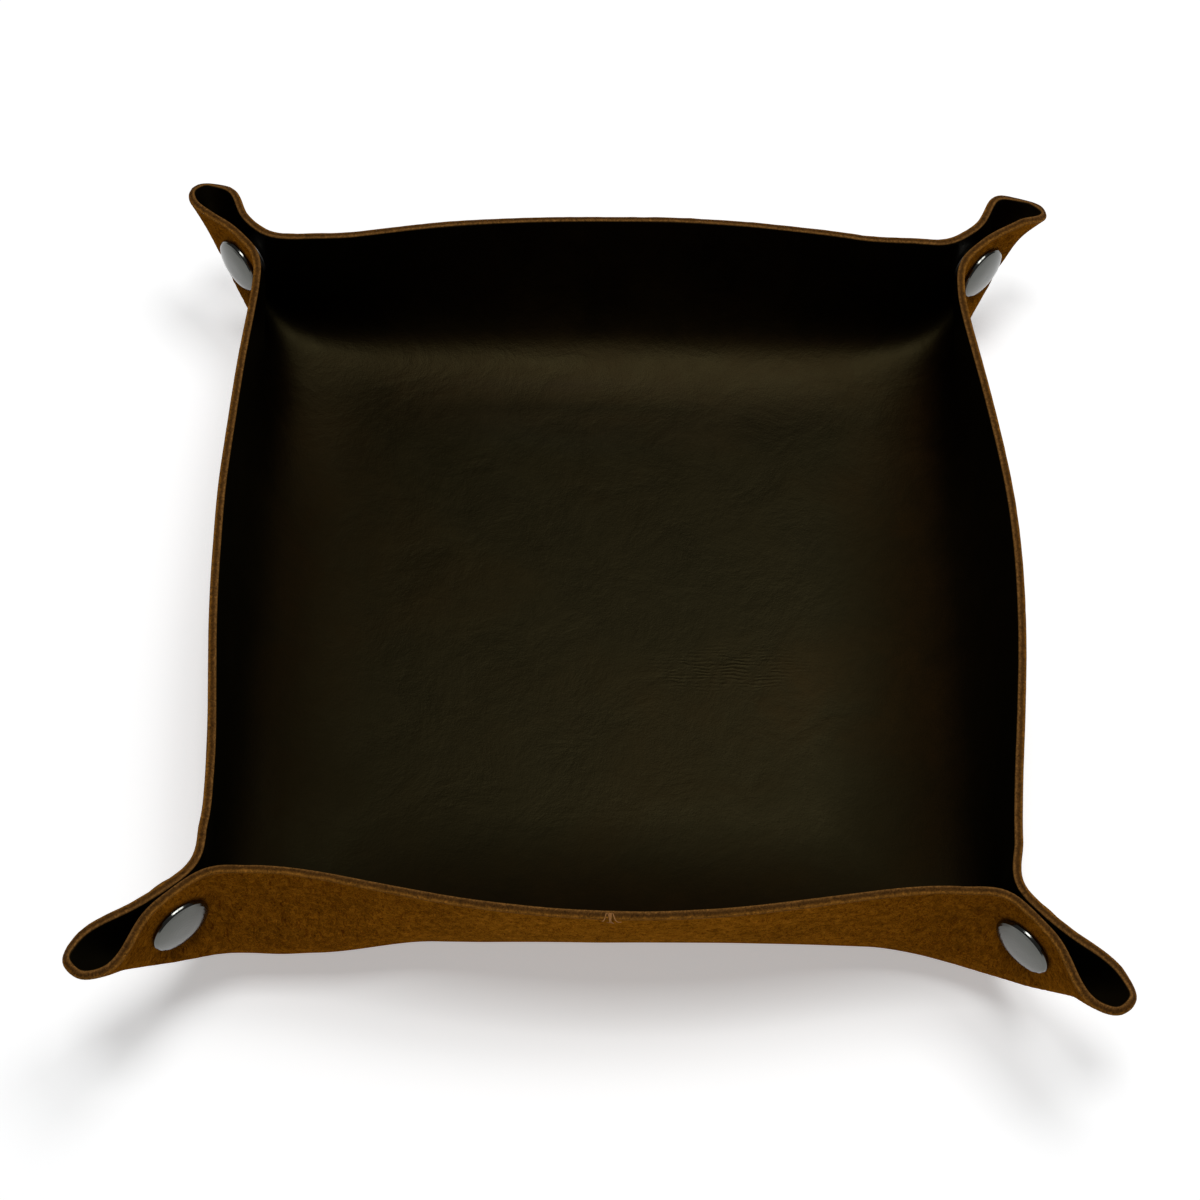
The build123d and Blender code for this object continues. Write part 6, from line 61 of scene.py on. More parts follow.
    ((-9060, -9395, 4746), (-9077, -9411, 4350), (-9119, -9392, 3952), (-9122, -9426, 3554), (-9175, -9390, 3138), (-9078, -9594, 2771), (-9030, -9721, 2395), (-9035, -9759, 1979), (-9115, -9550, 1611), (-9160, -9193, 1399), (-9158, -8797, 1296), (-9136, -8395, 1246), (-9110, -7995, 1219), (-9084, -7597, 1205), (-9059, -7201, 1198), (-9036, -6807, 1194), (-9016, -6413, 1190), (-9000, -6019, 1186), (-8985, -5625, 1182), (-8974, -5231, 1177), (-8964, -4837, 1171), (-8956, -4443, 1164), (-8950, -4048, 1157), (-8946, -3654, 1149), (-8943, -3259, 1139), (-8941, -2865, 1129), (-8940, -2470, 1118), (-8940, -2075, 1107), (-8941, -1680, 1095), (-8943, -1285, 1082), (-8946, -889, 1068), (-8949, -494, 1054), (-8952, -98, 1040), (-8956, 297, 1024), (-8959, 693, 1009), (-8963, 1088, 993), (-8968, 1484, 976), (-8973, 1880, 959), (-8977, 2275, 941), (-8982, 2671, 922), (-8988, 3066, 904), (-8993, 3461, 884), (-8999, 3856, 864), (-9005, 4252, 843), (-9012, 4646, 822), (-9020, 5041, 799), (-9029, 5436, 776), (-9040, 5830, 752), (-9052, 6224, 727), (-9067, 6618, 702), (-9084, 7012, 676), (-9103, 7408, 652), (-9126, 7805, 633), (-9150, 8206, 624), (-9173, 8609, 634), (-9176, 9012, 695), (-9124, 9388, 877), (-9045, 9605, 1242), (-9057, 9591, 1656), (-9118, 9506, 2040), (-9228, 9353, 2425), (-9185, 9422, 2837), (-9201, 9419, 3238), (-9167, 9492, 3637), (-9165, 9519, 4034)),
    ((-8710, -9200, 4725), (-8718, -9233, 4330), (-8729, -9261, 3933), (-8737, -9297, 3537), (-8734, -9346, 3144), (-8711, -9450, 2763), (-8680, -9563, 2379), (-8671, -9621, 1979), (-8713, -9503, 1582), (-8763, -9199, 1305), (-8779, -8823, 1155), (-8776, -8428, 1068), (-8767, -8029, 1010), (-8756, -7628, 973), (-8742, -7229, 949), (-8729, -6831, 933), (-8716, -6434, 922), (-8704, -6037, 913), (-8693, -5642, 906), (-8684, -5246, 899), (-8675, -4851, 891), (-8668, -4456, 884), (-8663, -4061, 876), (-8659, -3665, 867), (-8656, -3270, 858), (-8654, -2875, 848), (-8654, -2480, 837), (-8653, -2085, 826), (-8654, -1689, 814), (-8656, -1294, 802), (-8657, -898, 789), (-8660, -503, 776), (-8662, -107, 762), (-8665, 288, 748), (-8668, 684, 733), (-8671, 1080, 718), (-8674, 1475, 702), (-8678, 1871, 686), (-8682, 2266, 669), (-8686, 2662, 652), (-8690, 3058, 633), (-8695, 3453, 615), (-8699, 3849, 596), (-8704, 4244, 577), (-8710, 4640, 557), (-8715, 5035, 536), (-8722, 5431, 516), (-8729, 5827, 495), (-8737, 6223, 475), (-8746, 6620, 457), (-8756, 7018, 441), (-8766, 7418, 432), (-8776, 7819, 433), (-8786, 8221, 450), (-8792, 8621, 494), (-8776, 9010, 605), (-8724, 9330, 867), (-8693, 9450, 1265), (-8716, 9415, 1665), (-8753, 9352, 2059), (-8778, 9311, 2454), (-8786, 9321, 2848), (-8783, 9340, 3246), (-8781, 9369, 3644), (-8777, 9407, 4043)),
    ((-8334, -9065, 4709), (-8333, -9124, 4317), (-8339, -9176, 3924), (-8341, -9232, 3533), (-8339, -9290, 3144), (-8322, -9379, 2759), (-8305, -9469, 2372), (-8298, -9522, 1975), (-8320, -9446, 1574), (-8360, -9183, 1261), (-8383, -8825, 1079), (-8389, -8440, 969), (-8388, -8046, 891), (-8384, -7649, 834), (-8377, -7250, 793), (-8370, -6851, 763), (-8362, -6453, 740), (-8355, -6055, 722), (-8348, -5658, 707), (-8341, -5261, 695), (-8335, -4864, 684), (-8331, -4468, 673), (-8327, -4072, 663), (-8323, -3676, 652), (-8321, -3280, 642), (-8320, -2884, 631), (-8320, -2489, 620), (-8319, -2093, 609), (-8320, -1697, 597), (-8321, -1301, 586), (-8322, -905, 574), (-8324, -510, 562), (-8325, -114, 549), (-8327, 282, 537), (-8329, 678, 523), (-8332, 1074, 510), (-8334, 1470, 495), (-8337, 1865, 481), (-8339, 2261, 466), (-8342, 2657, 450), (-8345, 3053, 434), (-8348, 3449, 418), (-8351, 3845, 402), (-8354, 4241, 386), (-8358, 4638, 370), (-8361, 5034, 354), (-8365, 5431, 339), (-8369, 5829, 325), (-8374, 6227, 312), (-8378, 6625, 304), (-8384, 7025, 301), (-8389, 7425, 305), (-8394, 7825, 322), (-8397, 8224, 356), (-8393, 8617, 422), (-8372, 8991, 571), (-8335, 9265, 879), (-8326, 9344, 1279), (-8342, 9320, 1677), (-8362, 9287, 2073), (-8382, 9273, 2467), (-8387, 9294, 2860), (-8388, 9318, 3255), (-8384, 9350, 3650), (-8384, 9384, 4045)),
    ((-7937, -8988, 4700), (-7935, -9075, 4312), (-7937, -9146, 3923), (-7938, -9212, 3534), (-7935, -9279, 3146), (-7928, -9353, 2759), (-7919, -9426, 2368), (-7916, -9464, 1971), (-7929, -9401, 1570), (-7959, -9164, 1237), (-7983, -8819, 1031), (-7994, -8442, 904), (-7997, -8054, 812), (-7997, -7660, 742), (-7995, -7263, 687), (-7991, -6865, 645), (-7987, -6467, 611), (-7983, -6069, 583), (-7979, -5671, 561), (-7975, -5273, 542), (-7971, -4876, 525), (-7968, -4479, 510), (-7966, -4082, 496), (-7964, -3686, 483), (-7963, -3289, 471), (-7962, -2893, 459), (-7961, -2496, 447), (-7961, -2100, 436), (-7962, -1704, 425), (-7962, -1307, 414), (-7963, -911, 404), (-7963, -515, 393), (-7964, -119, 382), (-7965, 277, 371), (-7967, 673, 360), (-7968, 1070, 348), (-7969, 1466, 336), (-7971, 1862, 324), (-7973, 2258, 312), (-7974, 2654, 299), (-7976, 3051, 287), (-7978, 3447, 274), (-7979, 3844, 262), (-7981, 4241, 250), (-7983, 4638, 239), (-7985, 5035, 228), (-7987, 5433, 219), (-7989, 5831, 211), (-7991, 6230, 207), (-7994, 6629, 206), (-7997, 7028, 212), (-7999, 7428, 226), (-8001, 7826, 253), (-7999, 8222, 300), (-7991, 8609, 384), (-7970, 8970, 562), (-7948, 9217, 890), (-7945, 9293, 1288), (-7954, 9290, 1686), (-7966, 9281, 2082), (-7976, 9290, 2476), (-7983, 9317, 2868), (-7986, 9351, 3261), (-7987, 9391, 3654), (-7990, 9436, 4048)),
    ((-7533, -8995, 4701), (-7534, -9075, 4315), (-7537, -9151, 3926), (-7538, -9220, 3538), (-7537, -9287, 3149), (-7533, -9353, 2759), (-7529, -9411, 2365), (-7529, -9434, 1967), (-7537, -9381, 1562), (-7560, -9145, 1225), (-7582, -8812, 1001), (-7595, -8440, 859), (-7602, -8056, 756), (-7604, -7665, 676), (-7605, -7270, 612), (-7604, -6874, 561), (-7602, -6477, 518), (-7600, -6079, 483), (-7597, -5681, 453), (-7595, -5283, 428), (-7593, -4886, 406), (-7591, -4488, 386), (-7590, -4091, 369), (-7589, -3693, 353), (-7588, -3296, 339), (-7587, -2899, 326), (-7587, -2502, 315), (-7587, -2106, 304), (-7587, -1709, 294), (-7587, -1312, 284), (-7587, -916, 275), (-7587, -519, 266), (-7587, -123, 257), (-7588, 274, 248), (-7588, 670, 240), (-7588, 1067, 231), (-7589, 1463, 222), (-7590, 1860, 213), (-7590, 2256, 204), (-7591, 2653, 195), (-7592, 3050, 186), (-7592, 3446, 178), (-7593, 3844, 170), (-7594, 4241, 162), (-7595, 4638, 155), (-7596, 5036, 149), (-7597, 5434, 145), (-7598, 5833, 142), (-7600, 6231, 142), (-7601, 6630, 147), (-7603, 7029, 157), (-7604, 7428, 177), (-7603, 7824, 210), (-7599, 8217, 267), (-7589, 8601, 367), (-7572, 8952, 565), (-7560, 9189, 899), (-7559, 9280, 1291), (-7564, 9302, 1689), (-7571, 9312, 2085), (-7579, 9332, 2479), (-7585, 9366, 2872), (-7589, 9408, 3263), (-7593, 9456, 3655), (-7599, 9509, 4048)),
    ((-7129, -9015, 4705), (-7134, -9101, 4319), (-7137, -9176, 3931), (-7139, -9245, 3541), (-7140, -9308, 3151), (-7139, -9365, 2759), (-7138, -9408, 2363), (-7140, -9413, 1964), (-7146, -9340, 1568), (-7164, -9125, 1222), (-7183, -8802, 983), (-7196, -8436, 828), (-7204, -8055, 715), (-7209, -7666, 627), (-7211, -7274, 557), (-7211, -6879, 500), (-7211, -6483, 451), (-7210, -6086, 411), (-7208, -5688, 376), (-7207, -5291, 346), (-7206, -4893, 320), (-7205, -4495, 297), (-7204, -4097, 276), (-7203, -3700, 259), (-7203, -3302, 243), (-7202, -2905, 230), (-7202, -2507, 219), (-7201, -2110, 209), (-7201, -1713, 201), (-7200, -1316, 193), (-7200, -919, 186), (-7199, -522, 179), (-7199, -125, 172), (-7199, 272, 166), (-7199, 668, 160), (-7199, 1065, 155), (-7199, 1462, 149), (-7199, 1858, 143), (-7199, 2255, 138), (-7199, 2652, 133), (-7199, 3049, 128), (-7199, 3446, 123), (-7200, 3844, 119), (-7200, 4241, 115), (-7201, 4639, 112), (-7201, 5037, 110), (-7202, 5435, 108), (-7203, 5833, 108), (-7204, 6232, 110), (-7205, 6630, 114), (-7206, 7028, 126), (-7206, 7426, 147), (-7204, 7821, 186), (-7198, 8212, 251), (-7188, 8593, 364), (-7176, 8937, 574), (-7170, 9175, 906), (-7171, 9286, 1292), (-7174, 9333, 1688), (-7179, 9360, 2084), (-7185, 9391, 2478), (-7190, 9430, 2871), (-7195, 9477, 3263), (-7200, 9529, 3654), (-7206, 9585, 4046)),
    ((-6729, -9075, 4711), (-6735, -9147, 4323), (-6739, -9216, 3934), (-6742, -9279, 3543), (-6744, -9336, 3152), (-6745, -9383, 2758), (-6746, -9411, 2361), (-6749, -9400, 1962), (-6754, -9316, 1569), (-6767, -9107, 1221), (-6784, -8791, 972), (-6797, -8430, 806), (-6806, -8052, 685), (-6811, -7666, 591), (-6814, -7275, 516), (-6816, -6882, 454), (-6816, -6486, 402), (-6816, -6090, 358), (-6816, -5693, 320), (-6815, -5295, 287), (-6814, -4898, 259), (-6813, -4500, 234), (-6813, -4102, 212), (-6812, -3704, 194), (-6811, -3306, 179), (-6811, -2909, 167), (-6810, -2511, 156), (-6809, -2113, 148), (-6808, -1716, 142), (-6807, -1319, 136), (-6807, -921, 132), (-6806, -524, 127), (-6805, -127, 123), (-6805, 270, 120), (-6804, 667, 117), (-6804, 1064, 114), (-6804, 1461, 111), (-6804, 1858, 108), (-6804, 2255, 106), (-6803, 2652, 104), (-6803, 3049, 102), (-6804, 3446, 101), (-6804, 3844, 99), (-6804, 4241, 98), (-6805, 4639, 97), (-6805, 5037, 97), (-6806, 5435, 97), (-6807, 5833, 97), (-6808, 6231, 98), (-6808, 6629, 101), (-6808, 7026, 110), (-6807, 7423, 132), (-6804, 7818, 174), (-6798, 8207, 247), (-6789, 8585, 370), (-6781, 8926, 586), (-6778, 9167, 913), (-6781, 9298, 1293), (-6784, 9368, 1685), (-6789, 9414, 2080), (-6793, 9454, 2474), (-6797, 9498, 2867), (-6802, 9549, 3259), (-6807, 9605, 3651), (-6813, 9665, 4042)),
    ((-6330, -9135, 4716), (-6337, -9201, 4327), (-6342, -9262, 3936), (-6346, -9318, 3544), (-6349, -9367, 3150), (-6352, -9403, 2755), (-6354, -9417, 2357), (-6357, -9392, 1959), (-6362, -9299, 1569), (-6372, -9092, 1221), (-6386, -8781, 966), (-6398, -8424, 791), (-6407, -8049, 663), (-6413, -7664, 563), (-6417, -7275, 484), (-6420, -6882, 419), (-6421, -6488, 365), (-6421, -6092, 319), (-6421, -5695, 280), (-6420, -5298, 246), (-6420, -4901, 217), (-6419, -4503, 191), (-6418, -4105, 170), (-6418, -3707, 152), (-6417, -3309, 138), (-6416, -2911, 128), (-6415, -2514, 120), (-6414, -2116, 115), (-6413, -1718, 110), (-6412, -1321, 108), (-6411, -923, 105), (-6410, -526, 104), (-6409, -129, 102), (-6409, 268, 101), (-6408, 665, 100), (-6408, 1063, 99), (-6408, 1460, 98), (-6407, 1857, 97), (-6407, 2254, 98), (-6407, 2651, 98), (-6407, 3048, 99), (-6407, 3446, 99), (-6408, 3843, 99), (-6408, 4241, 99), (-6408, 4638, 100), (-6409, 5036, 100), (-6409, 5434, 100), (-6410, 5832, 100), (-6411, 6229, 100), (-6411, 6627, 98), (-6410, 7024, 104), (-6408, 7420, 125), (-6405, 7814, 170), (-6399, 8203, 249), (-6392, 8579, 379), (-6386, 8917, 598), (-6386, 9163, 920), (-6389, 9310, 1294), (-6393, 9400, 1682), (-6397, 9463, 2075), (-6401, 9514, 2469), (-6405, 9565, 2862), (-6409, 9619, 3254), (-6414, 9678, 3645), (-6419, 9740, 4036)),
    ((-5933, -9211, 4719), (-5940, -9262, 4328), (-5946, -9313, 3936), (-5951, -9360, 3542), (-5955, -9399, 3148), (-5958, -9424, 2751), (-5961, -9425, 2353), (-5964, -9388, 1957), (-5968, -9287, 1569), (-5977, -9080, 1222), (-5988, -8772, 963), (-5999, -8418, 782), (-6008, -8045, 647), (-6015, -7662, 542), (-6019, -7274, 458), (-6022, -6882, 391), (-6024, -6488, 336), (-6025, -6093, 289), (-6025, -5697, 250), (-6025, -5300, 216), (-6024, -4902, 188), (-6023, -4505, 164), (-6023, -4107, 143), (-6022, -3709, 128), (-6021, -3311, 116), (-6020, -2913, 108), (-6019, -2515, 104), (-6018, -2118, 101), (-6016, -1720, 99), (-6015, -1322, 98), (-6015, -925, 98), (-6014, -528, 98), (-6013, -130, 99), (-6013, 267, 99), (-6012, 664, 99), (-6012, 1062, 100), (-6011, 1459, 100), (-6011, 1856, 100), (-6011, 2253, 100), (-6011, 2650, 100), (-6011, 3048, 100), (-6011, 3445, 100), (-6011, 3843, 100), (-6012, 4240, 100), (-6012, 4638, 100), (-6012, 5035, 99), (-6013, 5433, 99), (-6013, 5830, 99), (-6013, 6227, 100), (-6013, 6624, 99), (-6012, 7021, 103), (-6009, 7417, 124), (-6006, 7811, 172), (-6001, 8198, 256), (-5995, 8573, 391), (-5992, 8910, 611), (-5993, 9161, 928), (-5997, 9320, 1296), (-6001, 9427, 1680), (-6005, 9505, 2071), (-6009, 9568, 2463), (-6013, 9627, 2855), (-6017, 9686, 3247), (-6021, 9748, 3638), (-6025, 9813, 4028)),
    ((-5537, -9288, 4721), (-5544, -9327, 4328), (-5550, -9367, 3934), (-5555, -9403, 3539), (-5560, -9431, 3144), (-5564, -9445, 2747), (-5567, -9435, 2349), (-5570, -9387, 1954), (-5575, -9279, 1568), (-5581, -9070, 1223), (-5591, -8763, 962), (-5601, -8411, 777), (-5609, -8041, 636), (-5616, -7659, 526), (-5621, -7272, 438), (-5625, -6881, 368), (-5627, -6488, 312), (-5628, -6093, 265), (-5628, -5697, 226), (-5628, -5300, 194), (-5628, -4903, 167), (-5627, -4506, 145), (-5626, -4108, 127), (-5625, -3710, 114), (-5624, -3312, 105), (-5623, -2914, 101), (-5622, -2517, 99), (-5621, -2119, 99), (-5620, -1721, 99), (-5619, -1324, 100), (-5618, -926, 100), (-5617, -529, 100), (-5617, -131, 100), (-5616, 266, 100), (-5616, 663, 100), (-5615, 1060, 100), (-5615, 1458, 100), (-5615, 1855, 99), (-5615, 2252, 100), (-5615, 2650, 100), (-5615, 3047, 100), (-5615, 3444, 100), (-5615, 3842, 100), (-5615, 4239, 100), (-5616, 4636, 100), (-5616, 5034, 100), (-5616, 5431, 100), (-5616, 5828, 100), (-5616, 6225, 100), (-5615, 6622, 99), (-5614, 7018, 103), (-5611, 7414, 126), (-5608, 7808, 176), (-5603, 8194, 264), (-5599, 8568, 403), (-5597, 8904, 623), (-5599, 9159, 936), (-5603, 9329, 1299), (-5608, 9449, 1679), (-5612, 9541, 2066), (-5616, 9616, 2457), (-5620, 9683, 2848), (-5623, 9748, 3239), (-5627, 9815, 3630), (-5630, 9884, 4020)),
    ((-5142, -9367, 4719), (-5149, -9394, 4325), (-5155, -9422, 3930), (-5160, -9446, 3535), (-5165, -9464, 3138), (-5169, -9467, 2741), (-5173, -9446, 2344), (-5176, -9389, 1950), (-5180, -9274, 1567), (-5186, -9062, 1224), (-5194, -8756, 963), (-5203, -8405, 775), (-5211, -8036, 629), (-5218, -7657, 514), (-5223, -7270, 422), (-5227, -6880, 350), (-5229, -6487, 291), (-5231, -6093, 245), (-5231, -5697, 207), (-5231, -5300, 177), (-5231, -4903, 152), (-5230, -4506, 133), (-5230, -4108, 118), (-5229, -3711, 107), (-5228, -3313, 101), (-5227, -2915, 99), (-5226, -2518, 100), (-5225, -2120, 100), (-5224, -1722, 100), (-5223, -1325, 100), (-5222, -927, 100), (-5221, -530, 100), (-5221, -133, 100), (-5220, 265, 100), (-5220, 662, 100), (-5219, 1059, 100), (-5219, 1457, 100), (-5219, 1854, 100), (-5219, 2251, 100), (-5219, 2649, 100), (-5219, 3046, 100), (-5219, 3443, 100), (-5219, 3841, 100), (-5219, 4238, 100), (-5219, 4635, 100), (-5219, 5032, 99), (-5219, 5429, 100), (-5219, 5826, 99), (-5219, 6223, 100), (-5217, 6620, 98), (-5216, 7016, 104), (-5213, 7412, 129), (-5210, 7805, 182), (-5206, 8191, 274), (-5203, 8563, 416), (-5202, 8900, 635), (-5205, 9159, 944), (-5209, 9337, 1302), (-5214, 9468, 1678), (-5218, 9571, 2063), (-5222, 9657, 2451), (-5226, 9732, 2841), (-5229, 9804, 3231), (-5232, 9876, 3621), (-5235, 9948, 4010)),
    ((-4747, -9447, 4715), (-4754, -9461, 4320), (-4760, -9477, 3925), (-4765, -9491, 3529), (-4770, -9497, 3132), (-4774, -9490, 2735), (-4778, -9459, 2338), (-4782, -9393, 1946), (-4786, -9272, 1565), (-4791, -9056, 1225), (-4798, -8749, 965), (-4806, -8399, 775), (-4813, -8032, 625), (-4820, -7654, 505), (-4825, -7269, 409), (-4829, -6879, 334), (-4832, -6486, 274), (-4833, -6092, 227), (-4834, -5696, 191), (-4834, -5300, 162), (-4834, -4903, 140), (-4833, -4506, 124), (-4833, -4109, 111), (-4832, -3711, 104), (-4831, -3313, 100), (-4830, -2916, 100), (-4829, -2518, 100), (-4828, -2121, 100), (-4827, -1723, 100), (-4826, -1326, 100), (-4826, -928, 100), (-4825, -531, 100), (-4824, -133, 100), (-4824, 264, 100), (-4823, 661, 100), (-4823, 1059, 100), (-4823, 1456, 100), (-4822, 1853, 100), (-4822, 2250, 100), (-4822, 2648, 100), (-4822, 3045, 100), (-4822, 3442, 100), (-4822, 3839, 100), (-4822, 4237, 100), (-4823, 4634, 100), (-4823, 5031, 100), (-4822, 5428, 100), (-4822, 5825, 100), (-4821, 6221, 100), (-4820, 6618, 98), (-4818, 7014, 106), (-4816, 7410, 133), (-4813, 7802, 190), (-4810, 8188, 284), (-4807, 8560, 427), (-4807, 8897, 646), (-4811, 9159, 952), (-4815, 9343, 1306), (-4820, 9484, 1678), (-4824, 9598, 2060), (-4828, 9693, 2446), (-4831, 9777, 2834), (-4834, 9856, 3223), (-4837, 9933, 3612), (-4840, 10010, 4000)),
    ((-4353, -9524, 4709), (-4359, -9527, 4314), (-4365, -9531, 3918), (-4370, -9534, 3521), (-4375, -9531, 3124), (-4379, -9513, 2728), (-4383, -9473, 2332), (-4387, -9400, 1941), (-4391, -9273, 1562), (-4395, -9051, 1225), (-4401, -8743, 968), (-4409, -8394, 776), (-4416, -8028, 622), (-4422, -7651, 498), (-4427, -7267, 398), (-4431, -6878, 320), (-4434, -6486, 259), (-4436, -6091, 212), (-4437, -5696, 176), (-4437, -5300, 150), (-4437, -4903, 130), (-4436, -4506, 117), (-4436, -4108, 107), (-4435, -3711, 102), (-4434, -3314, 99), (-4433, -2916, 100), (-4432, -2519, 100), (-4431, -2121, 100), (-4431, -1724, 100), (-4430, -1326, 100), (-4429, -929, 100), (-4428, -532, 100), (-4428, -134, 100), (-4427, 263, 100), (-4427, 660, 100), (-4427, 1058, 100), (-4426, 1455, 100), (-4426, 1852, 100), (-4426, 2250, 100), (-4426, 2647, 100), (-4426, 3044, 100), (-4426, 3441, 100), (-4426, 3838, 100), (-4426, 4235, 100), (-4426, 4632, 100), (-4426, 5029, 100), (-4425, 5426, 100), (-4425, 5823, 100), (-4424, 6219, 100), (-4423, 6616, 98), (-4421, 7012, 108), (-4419, 7408, 138), (-4416, 7800, 198), (-4414, 8185, 295), (-4412, 8557, 439), (-4412, 8894, 656), (-4416, 9159, 958), (-4420, 9350, 1310), (-4425, 9498, 1679), (-4429, 9621, 2057), (-4433, 9725, 2441), (-4436, 9818, 2827), (-4439, 9903, 3214), (-4442, 9985, 3602), (-4444, 10068, 3990)),
    ((-3958, -9594, 4702), (-3964, -9588, 4306), (-3970, -9583, 3910), (-3975, -9577, 3513), (-3980, -9564, 3116), (-3984, -9537, 2720), (-3988, -9489, 2325), (-3992, -9409, 1935), (-3995, -9279, 1556), (-3999, -9047, 1225), (-4005, -8737, 970), (-4012, -8389, 777), (-4019, -8024, 620), (-4025, -7648, 491), (-4030, -7265, 388), (-4034, -6877, 307), (-4036, -6485, 245), (-4038, -6091, 198), (-4039, -5695, 164), (-4039, -5299, 139), (-4039, -4902, 122), (-4039, -4505, 111), (-4038, -4108, 104), (-4038, -3711, 101), (-4037, -3314, 99), (-4036, -2916, 100), (-4035, -2519, 100), (-4035, -2122, 100), (-4034, -1724, 100), (-4033, -1327, 100), (-4033, -930, 99), (-4032, -532, 100), (-4031, -135, 100), (-4031, 262, 100), (-4031, 660, 100), (-4030, 1057, 100), (-4030, 1454, 100), (-4030, 1851, 100), (-4030, 2249, 100), (-4030, 2646, 100), (-4029, 3043, 100), (-4029, 3440, 100), (-4029, 3837, 100), (-4029, 4234, 100), (-4029, 4631, 100), (-4029, 5028, 99), (-4029, 5425, 100), (-4028, 5821, 99), (-4027, 6218, 100), (-4026, 6614, 99), (-4024, 7011, 111), (-4022, 7406, 144), (-4019, 7798, 206), (-4017, 8183, 305), (-4016, 8554, 449), (-4017, 8892, 665), (-4021, 9160, 965), (-4025, 9355, 1313), (-4029, 9511, 1679), (-4034, 9641, 2055), (-4037, 9754, 2436), (-4041, 9853, 2820), (-4044, 9945, 3206), (-4046, 10034, 3593), (-4048, 10121, 3979)),
    ((-3564, -9662, 4693), (-3569, -9646, 4297), (-3575, -9632, 3901), (-3580, -9616, 3505), (-3584, -9594, 3108), (-3588, -9560, 2712), (-3592, -9504, 2318), (-3596, -9417, 1930), (-3599, -9279, 1553), (-3603, -9042, 1226), (-3609, -8732, 973), (-3616, -8384, 778), (-3622, -8020, 618), (-3627, -7646, 485), (-3632, -7264, 379), (-3636, -6876, 296), (-3639, -6484, 232), (-3640, -6090, 186), (-3641, -5695, 152), (-3642, -5298, 129), (-3642, -4902, 115), (-3642, -4505, 107), (-3641, -4108, 102), (-3641, -3711, 100), (-3640, -3314, 100), (-3639, -2916, 100), (-3639, -2519, 100), (-3638, -2122, 100), (-3637, -1725, 100), (-3637, -1327, 100), (-3636, -930, 100), (-3636, -533, 99), (-3635, -135, 100), (-3635, 262, 100), (-3634, 659, 100), (-3634, 1056, 100), (-3634, 1453, 100), (-3633, 1851, 100), (-3633, 2248, 100), (-3633, 2645, 100), (-3633, 3042, 100), (-3633, 3439, 100), (-3633, 3836, 100), (-3633, 4233, 100), (-3632, 4630, 100), (-3632, 5027, 100), (-3632, 5423, 100), (-3631, 5820, 100), (-3630, 6216, 99), (-3629, 6613, 100), (-3627, 7009, 114), (-3625, 7404, 149), (-3623, 7796, 214), (-3622, 8180, 315), (-3621, 8551, 459), (-3622, 8891, 673), (-3625, 9161, 971), (-3630, 9361, 1316), (-3634, 9522, 1680), (-3638, 9659, 2053), (-3641, 9779, 2432), (-3645, 9885, 2814), (-3648, 9983, 3199), (-3650, 10076, 3584), (-3652, 10168, 3970)),
    ((-3168, -9721, 4683), (-3174, -9698, 4288), (-3179, -9677, 3892), (-3184, -9653, 3496), (-3188, -9623, 3100), (-3193, -9580, 2705), (-3196, -9517, 2312), (-3200, -9422, 1925), (-3203, -9271, 1555), (-3208, -9036, 1228), (-3213, -8726, 974), (-3219, -8380, 778), (-3225, -8018, 614), (-3230, -7644, 479), (-3235, -7262, 370), (-3238, -6875, 285), (-3241, -6483, 221), (-3243, -6089, 174), (-3244, -5694, 142), (-3244, -5298, 121), (-3244, -4901, 109), (-3244, -4504, 103), (-3244, -4107, 100), (-3243, -3710, 100), (-3243, -3313, 100), (-3242, -2916, 100), (-3242, -2519, 100), (-3241, -2122, 100), (-3241, -1725, 100), (-3240, -1328, 100), (-3239, -930, 100), (-3239, -533, 100), (-3238, -136, 100), (-3238, 261, 100), (-3238, 658, 100), (-3237, 1056, 100), (-3237, 1453, 100), (-3237, 1850, 100), (-3237, 2247, 100), (-3237, 2644, 100), (-3236, 3041, 100), (-3236, 3438, 100), (-3236, 3835, 100), (-3236, 4232, 100), (-3236, 4629, 100), (-3235, 5025, 100), (-3235, 5422, 99), (-3234, 5819, 100), (-3233, 6215, 99), (-3232, 6612, 101), (-3230, 7008, 117), (-3229, 7403, 155), (-3227, 7794, 222), (-3226, 8178, 324), (-3225, 8549, 469), (-3227, 8889, 681), (-3230, 9162, 977), (-3234, 9365, 1320), (-3238, 9531, 1681), (-3242, 9674, 2052), (-3245, 9800, 2428), (-3248, 9912, 2809), (-3251, 10015, 3192), (-3254, 10113, 3577), (-3255, 10210, 3961)),
